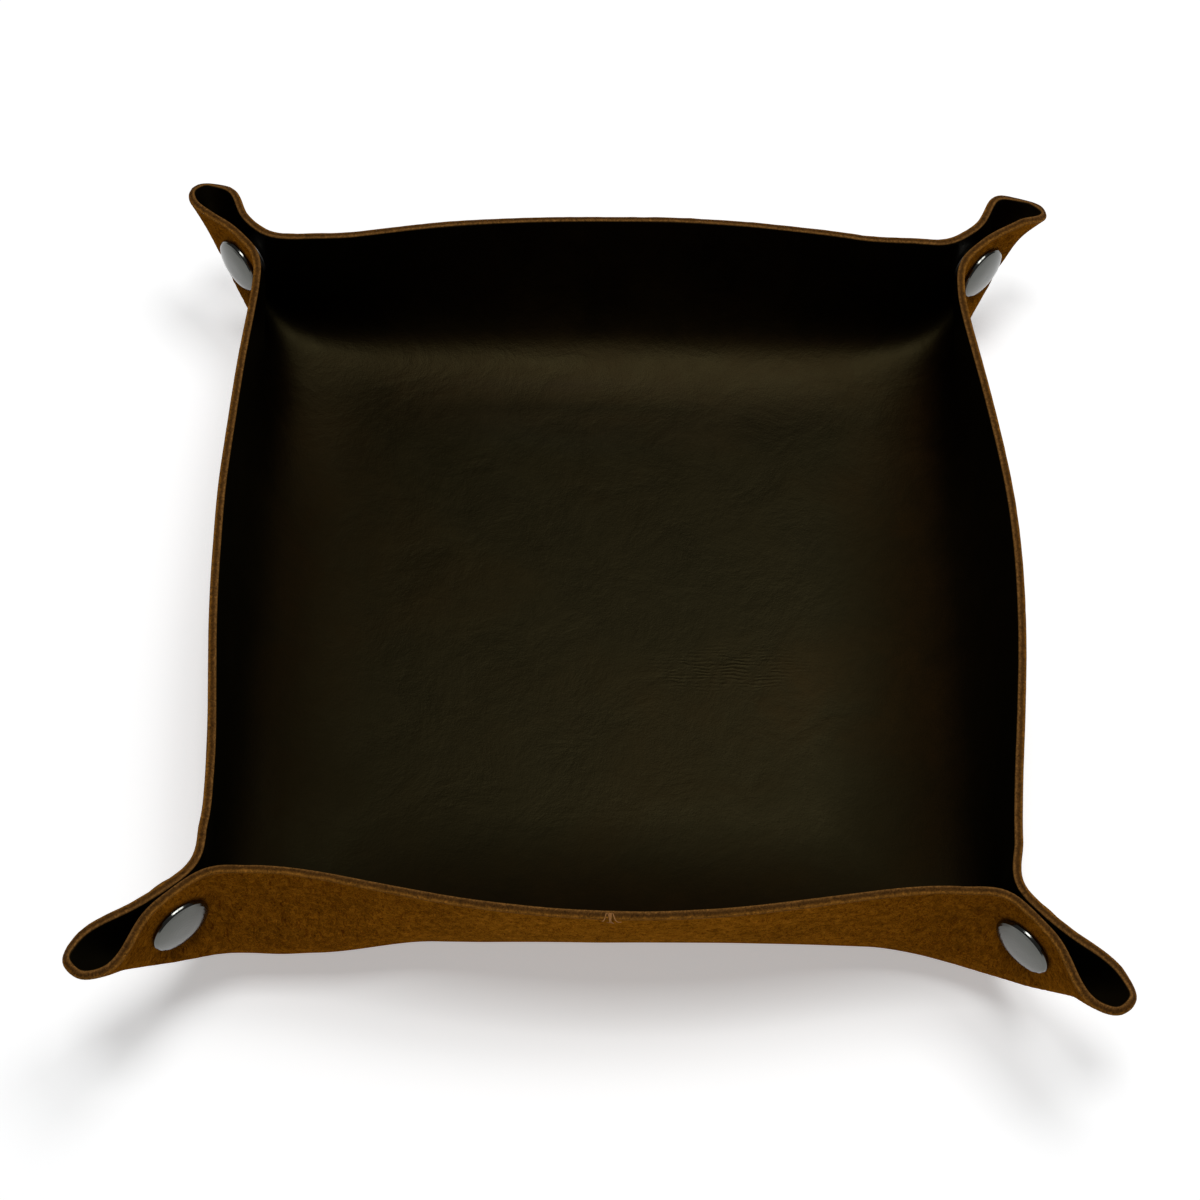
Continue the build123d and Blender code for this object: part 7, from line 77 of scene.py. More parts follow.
    ((-2772, -9775, 4673), (-2777, -9745, 4278), (-2782, -9716, 3883), (-2787, -9685, 3488), (-2792, -9647, 3092), (-2796, -9597, 2698), (-2800, -9526, 2307), (-2803, -9432, 1919), (-2807, -9267, 1554), (-2812, -9031, 1229), (-2817, -8721, 974), (-2823, -8376, 775), (-2829, -8015, 609), (-2834, -7643, 471), (-2838, -7262, 360), (-2841, -6874, 274), (-2844, -6483, 209), (-2845, -6089, 164), (-2846, -5693, 133), (-2847, -5297, 114), (-2847, -4901, 104), (-2847, -4504, 100), (-2846, -4107, 99), (-2846, -3710, 100), (-2846, -3313, 100), (-2845, -2916, 100), (-2845, -2519, 100), (-2844, -2122, 100), (-2844, -1725, 100), (-2843, -1328, 100), (-2843, -931, 100), (-2842, -533, 100), (-2842, -136, 100), (-2842, 261, 100), (-2841, 658, 100), (-2841, 1055, 100), (-2841, 1452, 100), (-2840, 1849, 100), (-2840, 2246, 100), (-2840, 2643, 100), (-2840, 3040, 100), (-2840, 3437, 100), (-2840, 3834, 100), (-2839, 4231, 100), (-2839, 4628, 100), (-2839, 5024, 100), (-2838, 5421, 100), (-2837, 5818, 100), (-2837, 6214, 99), (-2835, 6611, 102), (-2834, 7007, 120), (-2832, 7402, 160), (-2831, 7793, 229), (-2830, 8177, 333), (-2830, 8548, 477), (-2831, 8888, 689), (-2834, 9162, 982), (-2838, 9369, 1323), (-2841, 9539, 1682), (-2845, 9687, 2051), (-2848, 9817, 2426), (-2852, 9934, 2805), (-2854, 10042, 3187), (-2856, 10144, 3570), (-2858, 10245, 3953)),
    ((-2375, -9821, 4663), (-2381, -9785, 4269), (-2386, -9750, 3874), (-2391, -9711, 3479), (-2395, -9666, 3085), (-2399, -9607, 2692), (-2403, -9528, 2303), (-2407, -9419, 1920), (-2411, -9260, 1554), (-2416, -9025, 1228), (-2421, -8717, 972), (-2427, -8373, 772), (-2432, -8013, 603), (-2437, -7642, 463), (-2441, -7261, 351), (-2444, -6874, 263), (-2446, -6482, 199), (-2448, -6088, 154), (-2449, -5693, 126), (-2449, -5296, 109), (-2449, -4900, 101), (-2449, -4503, 99), (-2449, -4106, 100), (-2449, -3710, 100), (-2448, -3313, 100), (-2448, -2916, 100), (-2448, -2519, 100), (-2447, -2122, 100), (-2447, -1725, 100), (-2446, -1328, 100), (-2446, -931, 100), (-2446, -534, 100), (-2445, -137, 100), (-2445, 261, 100), (-2445, 658, 100), (-2444, 1055, 100), (-2444, 1452, 100), (-2444, 1849, 100), (-2444, 2246, 100), (-2443, 2643, 100), (-2443, 3040, 100), (-2443, 3437, 100), (-2443, 3833, 100), (-2443, 4230, 100), (-2442, 4627, 100), (-2442, 5023, 100), (-2441, 5420, 100), (-2441, 5817, 100), (-2440, 6213, 99), (-2439, 6610, 103), (-2438, 7006, 123), (-2436, 7401, 165), (-2435, 7791, 236), (-2434, 8175, 340), (-2434, 8546, 485), (-2436, 8887, 695), (-2438, 9163, 987), (-2442, 9372, 1326), (-2445, 9545, 1683), (-2448, 9697, 2051), (-2452, 9831, 2424), (-2454, 9952, 2802), (-2457, 10064, 3183), (-2459, 10170, 3565), (-2461, 10275, 3947)),
    ((-1978, -9860, 4654), (-1983, -9820, 4260), (-1988, -9778, 3866), (-1993, -9733, 3472), (-1998, -9680, 3078), (-2002, -9614, 2687), (-2006, -9526, 2300), (-2010, -9412, 1919), (-2015, -9253, 1554), (-2020, -9020, 1227), (-2025, -8714, 969), (-2031, -8371, 767), (-2036, -8012, 596), (-2040, -7641, 455), (-2044, -7261, 341), (-2047, -6874, 253), (-2049, -6482, 190), (-2050, -6088, 146), (-2051, -5692, 120), (-2051, -5296, 105), (-2052, -4899, 100), (-2052, -4503, 99), (-2052, -4106, 100), (-2052, -3709, 100), (-2051, -3312, 100), (-2051, -2916, 100), (-2051, -2519, 100), (-2050, -2122, 100), (-2050, -1725, 100), (-2050, -1328, 100), (-2049, -931, 100), (-2049, -534, 100), (-2049, -137, 100), (-2048, 260, 100), (-2048, 657, 100), (-2048, 1054, 100), (-2047, 1451, 100), (-2047, 1848, 100), (-2047, 2245, 100), (-2047, 2642, 100), (-2047, 3039, 100), (-2047, 3436, 100), (-2046, 3833, 100), (-2046, 4229, 100), (-2046, 4626, 100), (-2045, 5023, 100), (-2045, 5419, 100), (-2044, 5816, 100), (-2043, 6212, 98), (-2042, 6609, 104), (-2041, 7005, 125), (-2040, 7400, 170), (-2039, 7790, 242), (-2039, 8173, 347), (-2039, 8544, 491), (-2040, 8886, 701), (-2043, 9163, 991), (-2046, 9375, 1329), (-2049, 9551, 1685), (-2052, 9705, 2051), (-2054, 9842, 2423), (-2057, 9966, 2800), (-2059, 10082, 3180), (-2062, 10192, 3561), (-2063, 10299, 3942)),
    ((-1581, -9896, 4644), (-1586, -9849, 4251), (-1591, -9802, 3857), (-1596, -9750, 3464), (-1600, -9691, 3072), (-1605, -9618, 2682), (-1609, -9525, 2296), (-1613, -9407, 1917), (-1618, -9248, 1552), (-1624, -9016, 1224), (-1629, -8711, 965), (-1635, -8370, 761), (-1639, -8011, 589), (-1644, -7641, 446), (-1647, -7261, 331), (-1650, -6874, 243), (-1651, -6482, 181), (-1653, -6087, 139), (-1653, -5692, 115), (-1654, -5295, 103), (-1654, -4899, 99), (-1654, -4502, 100), (-1654, -4106, 100), (-1654, -3709, 100), (-1654, -3312, 100), (-1654, -2915, 100), (-1654, -2519, 100), (-1653, -2122, 100), (-1653, -1725, 100), (-1653, -1328, 100), (-1652, -931, 100), (-1652, -534, 100), (-1652, -137, 100), (-1652, 260, 100), (-1651, 657, 100), (-1651, 1054, 100), (-1651, 1451, 100), (-1651, 1848, 100), (-1650, 2245, 100), (-1650, 2642, 100), (-1650, 3039, 100), (-1650, 3435, 100), (-1650, 3832, 100), (-1649, 4229, 100), (-1649, 4625, 100), (-1649, 5022, 100), (-1648, 5419, 99), (-1648, 5815, 100), (-1647, 6212, 98), (-1646, 6608, 105), (-1645, 7005, 128), (-1644, 7399, 174), (-1644, 7789, 247), (-1643, 8172, 353), (-1643, 8543, 497), (-1644, 8886, 706), (-1647, 9164, 994), (-1649, 9377, 1331), (-1652, 9555, 1686), (-1655, 9712, 2051), (-1657, 9851, 2423), (-1660, 9978, 2798), (-1662, 10096, 3177), (-1664, 10209, 3557), (-1666, 10319, 3938)),
    ((-1183, -9926, 4635), (-1188, -9874, 4242), (-1193, -9821, 3850), (-1198, -9763, 3457), (-1203, -9698, 3066), (-1207, -9620, 2677), (-1212, -9524, 2292), (-1217, -9403, 1914), (-1222, -9243, 1549), (-1227, -9012, 1221), (-1233, -8709, 960), (-1238, -8368, 754), (-1243, -8011, 581), (-1247, -7641, 436), (-1250, -7261, 321), (-1253, -6874, 234), (-1254, -6482, 173), (-1255, -6087, 133), (-1256, -5691, 111), (-1256, -5295, 101), (-1257, -4898, 99), (-1257, -4502, 100), (-1257, -4105, 100), (-1257, -3708, 100), (-1257, -3312, 100), (-1257, -2915, 100), (-1256, -2518, 100), (-1256, -2121, 100), (-1256, -1725, 100), (-1256, -1328, 100), (-1256, -931, 100), (-1255, -534, 100), (-1255, -137, 100), (-1255, 260, 100), (-1255, 657, 100), (-1254, 1054, 100), (-1254, 1451, 100), (-1254, 1848, 100), (-1254, 2245, 100), (-1254, 2642, 100), (-1253, 3038, 100), (-1253, 3435, 100), (-1253, 3832, 100), (-1253, 4228, 100), (-1252, 4625, 100), (-1252, 5022, 100), (-1252, 5418, 100), (-1251, 5815, 100), (-1250, 6211, 98), (-1250, 6608, 106), (-1249, 7004, 130), (-1248, 7398, 177), (-1248, 7788, 252), (-1248, 8171, 358), (-1248, 8542, 502), (-1249, 8885, 710), (-1250, 9164, 998), (-1253, 9379, 1333), (-1255, 9559, 1688), (-1258, 9717, 2052), (-1260, 9859, 2422), (-1262, 9988, 2797), (-1264, 10107, 3176), (-1266, 10221, 3555), (-1268, 10333, 3936)),
    ((-785, -9949, 4627), (-790, -9892, 4235), (-795, -9834, 3842), (-800, -9773, 3451), (-805, -9703, 3060), (-810, -9622, 2672), (-815, -9523, 2288), (-820, -9401, 1910), (-825, -9240, 1545), (-831, -9010, 1217), (-837, -8707, 955), (-842, -8367, 748), (-847, -8011, 573), (-850, -7641, 427), (-853, -7261, 311), (-855, -6874, 225), (-857, -6481, 165), (-858, -6087, 128), (-858, -5691, 107), (-859, -5294, 100), (-859, -4898, 99), (-859, -4501, 100), (-859, -4105, 100), (-859, -3708, 99), (-859, -3311, 100), (-859, -2915, 100), (-859, -2518, 100), (-859, -2121, 100), (-859, -1724, 100), (-859, -1328, 100), (-859, -931, 100), (-859, -534, 100), (-858, -137, 100), (-858, 260, 100), (-858, 657, 100), (-858, 1054, 100), (-858, 1451, 100), (-857, 1848, 100), (-857, 2244, 100), (-857, 2641, 100), (-857, 3038, 100), (-856, 3435, 100), (-856, 3831, 100), (-856, 4228, 100), (-856, 4625, 99), (-855, 5021, 100), (-855, 5418, 99), (-855, 5814, 100), (-854, 6211, 99), (-854, 6608, 107), (-853, 7004, 132), (-853, 7398, 180), (-852, 7788, 255), (-852, 8171, 362), (-852, 8542, 506), (-853, 8885, 713), (-854, 9165, 1000), (-856, 9380, 1335), (-858, 9561, 1689), (-860, 9721, 2052), (-862, 9865, 2422), (-864, 9995, 2797), (-866, 10115, 3175), (-868, 10231, 3554), (-869, 10344, 3934)),
    ((-386, -9965, 4619), (-391, -9905, 4227), (-396, -9843, 3836), (-402, -9778, 3445), (-407, -9705, 3055), (-412, -9622, 2667), (-417, -9522, 2283), (-423, -9400, 1905), (-429, -9238, 1540), (-435, -9007, 1212), (-441, -8705, 950), (-446, -8367, 740), (-450, -8011, 564), (-454, -7641, 418), (-457, -7261, 302), (-458, -6874, 217), (-460, -6481, 158), (-460, -6086, 123), (-461, -5690, 105), (-461, -5294, 99), (-462, -4897, 100), (-462, -4501, 100), (-462, -4104, 100), (-462, -3708, 100), (-462, -3311, 100), (-462, -2915, 100), (-462, -2518, 100), (-462, -2121, 100), (-462, -1724, 100), (-462, -1327, 100), (-462, -931, 100), (-462, -534, 100), (-462, -137, 100), (-461, 260, 100), (-461, 657, 100), (-461, 1054, 100), (-461, 1451, 100), (-461, 1848, 100), (-460, 2244, 100), (-460, 2641, 100), (-460, 3038, 100), (-460, 3435, 100), (-459, 3831, 100), (-459, 4228, 100), (-459, 4624, 100), (-459, 5021, 100), (-458, 5418, 100), (-458, 5814, 100), (-458, 6211, 99), (-457, 6607, 108), (-457, 7003, 133), (-457, 7397, 181), (-456, 7787, 257), (-456, 8170, 365), (-457, 8541, 509), (-457, 8884, 716), (-458, 9164, 1003), (-460, 9381, 1337), (-461, 9563, 1690), (-463, 9724, 2053), (-465, 9868, 2423), (-467, 10000, 2797), (-468, 10121, 3175), (-470, 10237, 3554), (-471, 10351, 3933)),
    ((13, -9976, 4612), (7, -9912, 4221), (2, -9847, 3830), (-3, -9779, 3440), (-9, -9704, 3050), (-15, -9619, 2662), (-20, -9518, 2278), (-26, -9400, 1899), (-33, -9235, 1535), (-39, -9005, 1207), (-45, -8704, 943), (-50, -8366, 732), (-54, -8011, 555), (-57, -7641, 408), (-60, -7261, 293), (-61, -6874, 209), (-62, -6481, 152), (-63, -6086, 119), (-63, -5690, 103), (-64, -5293, 99), (-64, -4897, 100), (-64, -4501, 100), (-65, -4104, 100), (-65, -3708, 100), (-65, -3311, 100), (-65, -2914, 100), (-65, -2518, 100), (-65, -2121, 100), (-65, -1724, 100), (-65, -1327, 100), (-65, -930, 100), (-65, -534, 100), (-65, -137, 100), (-65, 260, 100), (-64, 657, 100), (-64, 1054, 100), (-64, 1451, 100), (-64, 1848, 100), (-64, 2244, 100), (-63, 2641, 100), (-63, 3038, 100), (-63, 3435, 100), (-63, 3831, 100), (-62, 4228, 100), (-62, 4624, 100), (-62, 5021, 100), (-62, 5417, 100), (-62, 5814, 100), (-61, 6211, 99), (-61, 6607, 108), (-61, 7003, 134), (-61, 7397, 183), (-61, 7787, 259), (-61, 8170, 366), (-61, 8541, 511), (-61, 8884, 718), (-62, 9164, 1004), (-63, 9381, 1339), (-65, 9563, 1692), (-66, 9725, 2054), (-67, 9870, 2424), (-69, 10002, 2798), (-70, 10124, 3175), (-72, 10242, 3554), (-73, 10356, 3933)),
    ((412, -9979, 4607), (406, -9913, 4216), (401, -9846, 3825), (395, -9775, 3435), (389, -9699, 3046), (383, -9612, 2659), (377, -9510, 2275), (370, -9388, 1897), (364, -9230, 1531), (357, -9003, 1201), (351, -8703, 935), (346, -8366, 723), (342, -8011, 545), (339, -7642, 398), (337, -7262, 284), (336, -6874, 201), (335, -6481, 147), (334, -6086, 115), (334, -5689, 102), (334, -5293, 99), (333, -4897, 100), (333, -4500, 100), (333, -4104, 100), (333, -3707, 100), (332, -3311, 100), (332, -2914, 100), (332, -2517, 100), (332, -2121, 100), (332, -1724, 100), (332, -1327, 100), (332, -930, 100), (332, -533, 100), (332, -137, 100), (332, 260, 100), (332, 657, 100), (332, 1054, 100), (333, 1451, 100), (333, 1848, 100), (333, 2245, 100), (333, 2641, 100), (334, 3038, 100), (334, 3435, 100), (334, 3831, 100), (334, 4228, 100), (334, 4624, 100), (335, 5021, 100), (335, 5418, 100), (335, 5814, 100), (335, 6211, 99), (335, 6607, 108), (335, 7003, 134), (335, 7397, 183), (335, 7787, 259), (335, 8170, 367), (335, 8541, 512), (334, 8883, 719), (334, 9164, 1006), (333, 9380, 1341), (332, 9563, 1693), (331, 9724, 2056), (330, 9869, 2426), (329, 10002, 2800), (328, 10125, 3177), (326, 10242, 3555), (325, 10358, 3935)),
    ((811, -9977, 4601), (805, -9908, 4211), (799, -9839, 3821), (793, -9767, 3431), (787, -9690, 3042), (780, -9602, 2655), (774, -9501, 2271), (767, -9380, 1893), (760, -9224, 1527), (753, -9000, 1194), (747, -8703, 926), (742, -8367, 712), (738, -8012, 534), (736, -7643, 388), (734, -7262, 275), (733, -6874, 194), (732, -6481, 142), (732, -6085, 112), (732, -5689, 100), (731, -5293, 99), (731, -4896, 100), (731, -4500, 100), (730, -4104, 100), (730, -3707, 100), (730, -3311, 100), (729, -2914, 100), (729, -2517, 100), (729, -2120, 100), (729, -1724, 100), (729, -1327, 100), (729, -930, 100), (729, -533, 100), (729, -136, 100), (729, 261, 100), (729, 657, 100), (729, 1054, 100), (729, 1451, 100), (730, 1848, 100), (730, 2245, 100), (730, 2642, 100), (730, 3038, 100), (731, 3435, 100), (731, 3831, 100), (731, 4228, 100), (731, 4625, 100), (731, 5021, 100), (731, 5418, 100), (731, 5814, 100), (731, 6211, 99), (731, 6607, 108), (731, 7003, 133), (731, 7397, 182), (731, 7787, 259), (730, 8170, 367), (730, 8540, 512), (730, 8883, 720), (730, 9163, 1007), (730, 9378, 1342), (729, 9560, 1696), (729, 9721, 2058), (728, 9866, 2428), (727, 9999, 2802), (726, 10122, 3179), (724, 10239, 3558), (723, 10355, 3937)),
    ((1210, -9966, 4598), (1204, -9897, 4208), (1198, -9827, 3818), (1191, -9755, 3428), (1184, -9678, 3039), (1177, -9591, 2652), (1170, -9491, 2268), (1163, -9372, 1889), (1156, -9220, 1521), (1149, -8999, 1186), (1142, -8703, 916), (1138, -8368, 701), (1135, -8014, 522), (1132, -7644, 377), (1131, -7263, 266), (1130, -6874, 187), (1130, -6481, 136), (1129, -6085, 110), (1129, -5689, 99), (1129, -5293, 100), (1129, -4896, 100), (1128, -4500, 100), (1128, -4103, 100), (1127, -3707, 100), (1127, -3310, 100), (1127, -2914, 100), (1126, -2517, 100), (1126, -2120, 100), (1126, -1724, 100), (1126, -1327, 100), (1126, -930, 100), (1126, -533, 100), (1126, -136, 100), (1126, 261, 100), (1126, 658, 100), (1126, 1055, 100), (1126, 1451, 100), (1126, 1848, 100), (1126, 2245, 100), (1127, 2642, 100), (1127, 3039, 100), (1127, 3435, 100), (1128, 3832, 100), (1128, 4228, 100), (1128, 4625, 100), (1128, 5021, 100), (1128, 5418, 100), (1128, 5814, 100), (1128, 6211, 99), (1128, 6608, 107), (1127, 7004, 133), (1127, 7398, 181), (1126, 7788, 257), (1126, 8170, 365), (1126, 8540, 511), (1126, 8882, 720), (1126, 9161, 1008), (1126, 9376, 1344), (1126, 9556, 1698), (1126, 9716, 2061), (1125, 9861, 2431), (1124, 9992, 2806), (1124, 10115, 3183), (1122, 10231, 3562), (1121, 10346, 3941)),
    ((1609, -9950, 4595), (1603, -9881, 4205), (1596, -9812, 3815), (1589, -9740, 3425), (1582, -9664, 3036), (1575, -9579, 2649), (1567, -9481, 2264), (1560, -9364, 1884), (1552, -9216, 1515), (1544, -8998, 1178), (1538, -8704, 906), (1534, -8370, 689), (1531, -8015, 510), (1529, -7645, 366), (1528, -7264, 256), (1527, -6874, 179), (1527, -6481, 132), (1527, -6085, 107), (1527, -5689, 99), (1526, -5292, 100), (1526, -4896, 100), (1526, -4500, 100), (1525, -4103, 100), (1525, -3707, 100), (1524, -3310, 100), (1524, -2914, 100), (1523, -2517, 100), (1523, -2120, 100), (1523, -1723, 100), (1523, -1326, 100), (1522, -930, 100), (1522, -533, 100), (1522, -136, 100), (1522, 261, 100), (1522, 658, 100), (1523, 1055, 100), (1523, 1452, 100), (1523, 1849, 100), (1523, 2245, 100), (1523, 2642, 100), (1524, 3039, 100), (1524, 3436, 100), (1524, 3832, 100), (1525, 4229, 100), (1525, 4625, 100), (1525, 5022, 100), (1525, 5418, 100), (1525, 5815, 100), (1524, 6211, 98), (1524, 6608, 107), (1523, 7004, 131), (1523, 7398, 178), (1522, 7788, 254), (1522, 8171, 362), (1521, 8541, 509), (1522, 8882, 719), (1522, 9160, 1009), (1523, 9372, 1346), (1523, 9551, 1700), (1523, 9709, 2065), (1522, 9852, 2435), (1522, 9982, 2810), (1521, 10103, 3188), (1520, 10218, 3567), (1519, 10331, 3947)),
    ((2008, -9927, 4593), (2001, -9860, 4203), (1994, -9792, 3813), (1987, -9722, 3423), (1979, -9647, 3033), (1972, -9565, 2645), (1964, -9470, 2260), (1956, -9357, 1879), (1948, -9211, 1508), (1940, -8997, 1169), (1934, -8705, 895), (1930, -8371, 677), (1927, -8017, 498), (1926, -7646, 355), (1925, -7264, 247), (1925, -6875, 173), (1925, -6481, 127), (1925, -6085, 105), (1924, -5689, 98), (1924, -5292, 100), (1924, -4896, 100), (1923, -4500, 100), (1923, -4103, 100), (1922, -3707, 100), (1922, -3310, 100), (1921, -2913, 100), (1921, -2517, 100), (1920, -2120, 100), (1920, -1723, 100), (1920, -1326, 100), (1919, -929, 100), (1919, -532, 100), (1919, -135, 100), (1919, 261, 100), (1919, 658, 100), (1919, 1055, 100), (1919, 1452, 100), (1920, 1849, 100), (1920, 2246, 100), (1920, 2643, 100), (1921, 3039, 100), (1921, 3436, 100), (1921, 3833, 100), (1921, 4229, 100), (1921, 4626, 100), (1921, 5022, 100), (1921, 5419, 99), (1921, 5816, 100), (1921, 6212, 98), (1920, 6609, 105), (1919, 7005, 129), (1919, 7399, 175), (1918, 7789, 251), (1917, 8171, 359), (1917, 8541, 506), (1917, 8882, 717), (1918, 9158, 1009), (1919, 9369, 1347), (1919, 9545, 1703), (1920, 9701, 2068), (1920, 9840, 2440), (1919, 9967, 2816), (1919, 10086, 3195), (1918, 10199, 3575), (1917, 10311, 3955)),
    ((2407, -9900, 4591), (2400, -9833, 4201), (2392, -9767, 3811), (2385, -9700, 3420), (2377, -9629, 3030), (2368, -9550, 2641), (2360, -9459, 2255), (2352, -9350, 1873), (2344, -9208, 1501), (2336, -8996, 1160), (2330, -8706, 883), (2326, -8373, 665), (2324, -8019, 486), (2322, -7648, 344), (2322, -7265, 238), (2322, -6875, 167), (2322, -6481, 124), (2322, -6085, 104), (2322, -5689, 98), (2322, -5293, 100), (2321, -4896, 100), (2321, -4500, 100), (2320, -4103, 100), (2319, -3707, 100), (2319, -3310, 100), (2318, -2913, 100), (2318, -2516, 100), (2317, -2120, 100), (2317, -1723, 100), (2316, -1326, 100), (2316, -929, 100), (2316, -532, 100), (2316, -135, 100), (2316, 262, 100), (2316, 659, 100), (2316, 1056, 100), (2316, 1453, 100), (2316, 1850, 100), (2317, 2246, 100), (2317, 2643, 100), (2317, 3040, 100), (2318, 3437, 100), (2318, 3833, 100), (2318, 4230, 100), (2318, 4627, 100), (2318, 5023, 100), (2318, 5420, 100), (2318, 5816, 100), (2317, 6213, 98), (2317, 6609, 105), (2316, 7005, 127), (2315, 7399, 172), (2314, 7789, 247), (2313, 8172, 355), (2312, 8542, 503), (2313, 8881, 715), (2314, 9156, 1008), (2315, 9364, 1348), (2316, 9537, 1706), (2316, 9690, 2073), (2317, 9825, 2446), (2317, 9949, 2823), (2316, 10064, 3203), (2315, 10174, 3583), (2314, 10283, 3965)),
    ((2806, -9864, 4590), (2798, -9800, 4200), (2790, -9737, 3809), (2782, -9674, 3418), (2774, -9607, 3027), (2765, -9534, 2637), (2756, -9447, 2250), (2748, -9343, 1866), (2739, -9203, 1494), (2731, -8996, 1150), (2725, -8708, 871), (2722, -8376, 652), (2720, -8021, 473), (2719, -7649, 333), (2719, -7266, 230), (2720, -6876, 161), (2720, -6481, 120), (2720, -6085, 102), (2720, -5689, 99), (2719, -5293, 100), (2719, -4896, 100), (2718, -4500, 100), (2717, -4103, 100), (2717, -3707, 100), (2716, -3310, 100), (2715, -2913, 100), (2715, -2516, 100), (2714, -2119, 100), (2713, -1722, 100), (2713, -1325, 100), (2713, -929, 100), (2713, -532, 100), (2712, -135, 100), (2712, 262, 100), (2712, 659, 100), (2712, 1056, 100), (2713, 1453, 100), (2713, 1850, 100), (2713, 2247, 100), (2714, 2644, 100), (2714, 3041, 100), (2714, 3437, 100), (2715, 3834, 100), (2715, 4231, 100), (2715, 4627, 100), (2715, 5024, 100), (2715, 5421, 100), (2715, 5817, 100), (2714, 6213, 99), (2713, 6610, 104), (2712, 7006, 124), (2711, 7400, 168), (2710, 7791, 242), (2709, 8173, 350), (2708, 8542, 498), (2708, 8881, 712), (2710, 9154, 1007), (2711, 9359, 1349), (2712, 9528, 1709), (2713, 9676, 2078), (2713, 9808, 2452), (2713, 9926, 2831), (2713, 10037, 3212), (2712, 10144, 3594), (2711, 10250, 3976)),
    ((3204, -9818, 4591), (3196, -9760, 4199), (3188, -9703, 3808), (3179, -9645, 3416), (3170, -9584, 3024), (3161, -9516, 2633), (3152, -9436, 2244), (3143, -9337, 1859), (3134, -9203, 1484), (3127, -8997, 1139), (3121, -8710, 859), (3118, -8378, 639), (3117, -8023, 461), (3116, -7651, 323), (3117, -7267, 222), (3117, -6876, 155), (3118, -6481, 118), (3118, -6085, 101), (3118, -5689, 99), (3117, -5293, 100), (3116, -4896, 100), (3116, -4500, 100), (3115, -4103, 100), (3114, -3706, 100), (3113, -3310, 100), (3112, -2913, 100), (3111, -2516, 100), (3111, -2119, 100), (3110, -1722, 100), (3110, -1325, 100), (3109, -928, 100), (3109, -531, 100), (3109, -134, 100), (3109, 263, 100), (3109, 660, 100), (3109, 1057, 100), (3109, 1454, 100), (3109, 1851, 100), (3110, 2248, 100), (3110, 2645, 100), (3111, 3041, 100), (3111, 3438, 100), (3111, 3835, 100), (3112, 4232, 100), (3112, 4628, 100), (3112, 5025, 100), (3112, 5421, 100), (3112, 5818, 100), (3111, 6214, 99), (3110, 6611, 103), (3109, 7007, 121), (3107, 7401, 164), (3106, 7792, 236), (3104, 8174, 343), (3104, 8544, 492), (3104, 8881, 708), (3105, 9151, 1006), (3107, 9352, 1350), (3108, 9517, 1712), (3109, 9660, 2083), (3110, 9786, 2460), (3110, 9900, 2840), (3110, 10006, 3222), (3109, 10109, 3605), (3108, 10210, 3988)),
    ((3602, -9768, 4590), (3594, -9715, 4198), (3585, -9664, 3806), (3576, -9613, 3413), (3567, -9559, 3020), (3557, -9498, 2628), (3548, -9424, 2238), (3539, -9331, 1851), (3530, -9202, 1474), (3522, -8999, 1127), (3517, -8714, 846), (3514, -8382, 626), (3514, -8025, 450), (3514, -7652, 314), (3515, -7268, 215), (3515, -6877, 151), (3516, -6482, 115), (3516, -6086, 101), (3515, -5690, 99), (3515, -5293, 100), (3514, -4897, 100), (3513, -4500, 100), (3512, -4103, 100), (3511, -3706, 100), (3510, -3310, 100), (3509, -2913, 100), (3508, -2516, 100), (3508, -2119, 100), (3507, -1722, 100), (3506, -1325, 100), (3506, -928, 100), (3506, -531, 100), (3506, -134, 100), (3505, 263, 100), (3505, 660, 100), (3506, 1057, 100), (3506, 1454, 100), (3506, 1851, 100), (3506, 2248, 100), (3507, 2645, 100), (3507, 3042, 100), (3508, 3439, 100), (3508, 3836, 100), (3509, 4233, 100), (3509, 4629, 100), (3509, 5026, 100), (3509, 5423, 100), (3509, 5819, 100), (3508, 6215, 99), (3507, 6612, 101), (3506, 7008, 119), (3504, 7403, 159), (3502, 7793, 230), (3500, 8176, 336), (3499, 8545, 485), (3499, 8882, 704), (3501, 9149, 1004), (3503, 9346, 1351), (3504, 9504, 1716), (3505, 9641, 2089), (3506, 9761, 2468), (3506, 9869, 2850), (3506, 9970, 3233), (3505, 10068, 3618), (3504, 10166, 4002)),
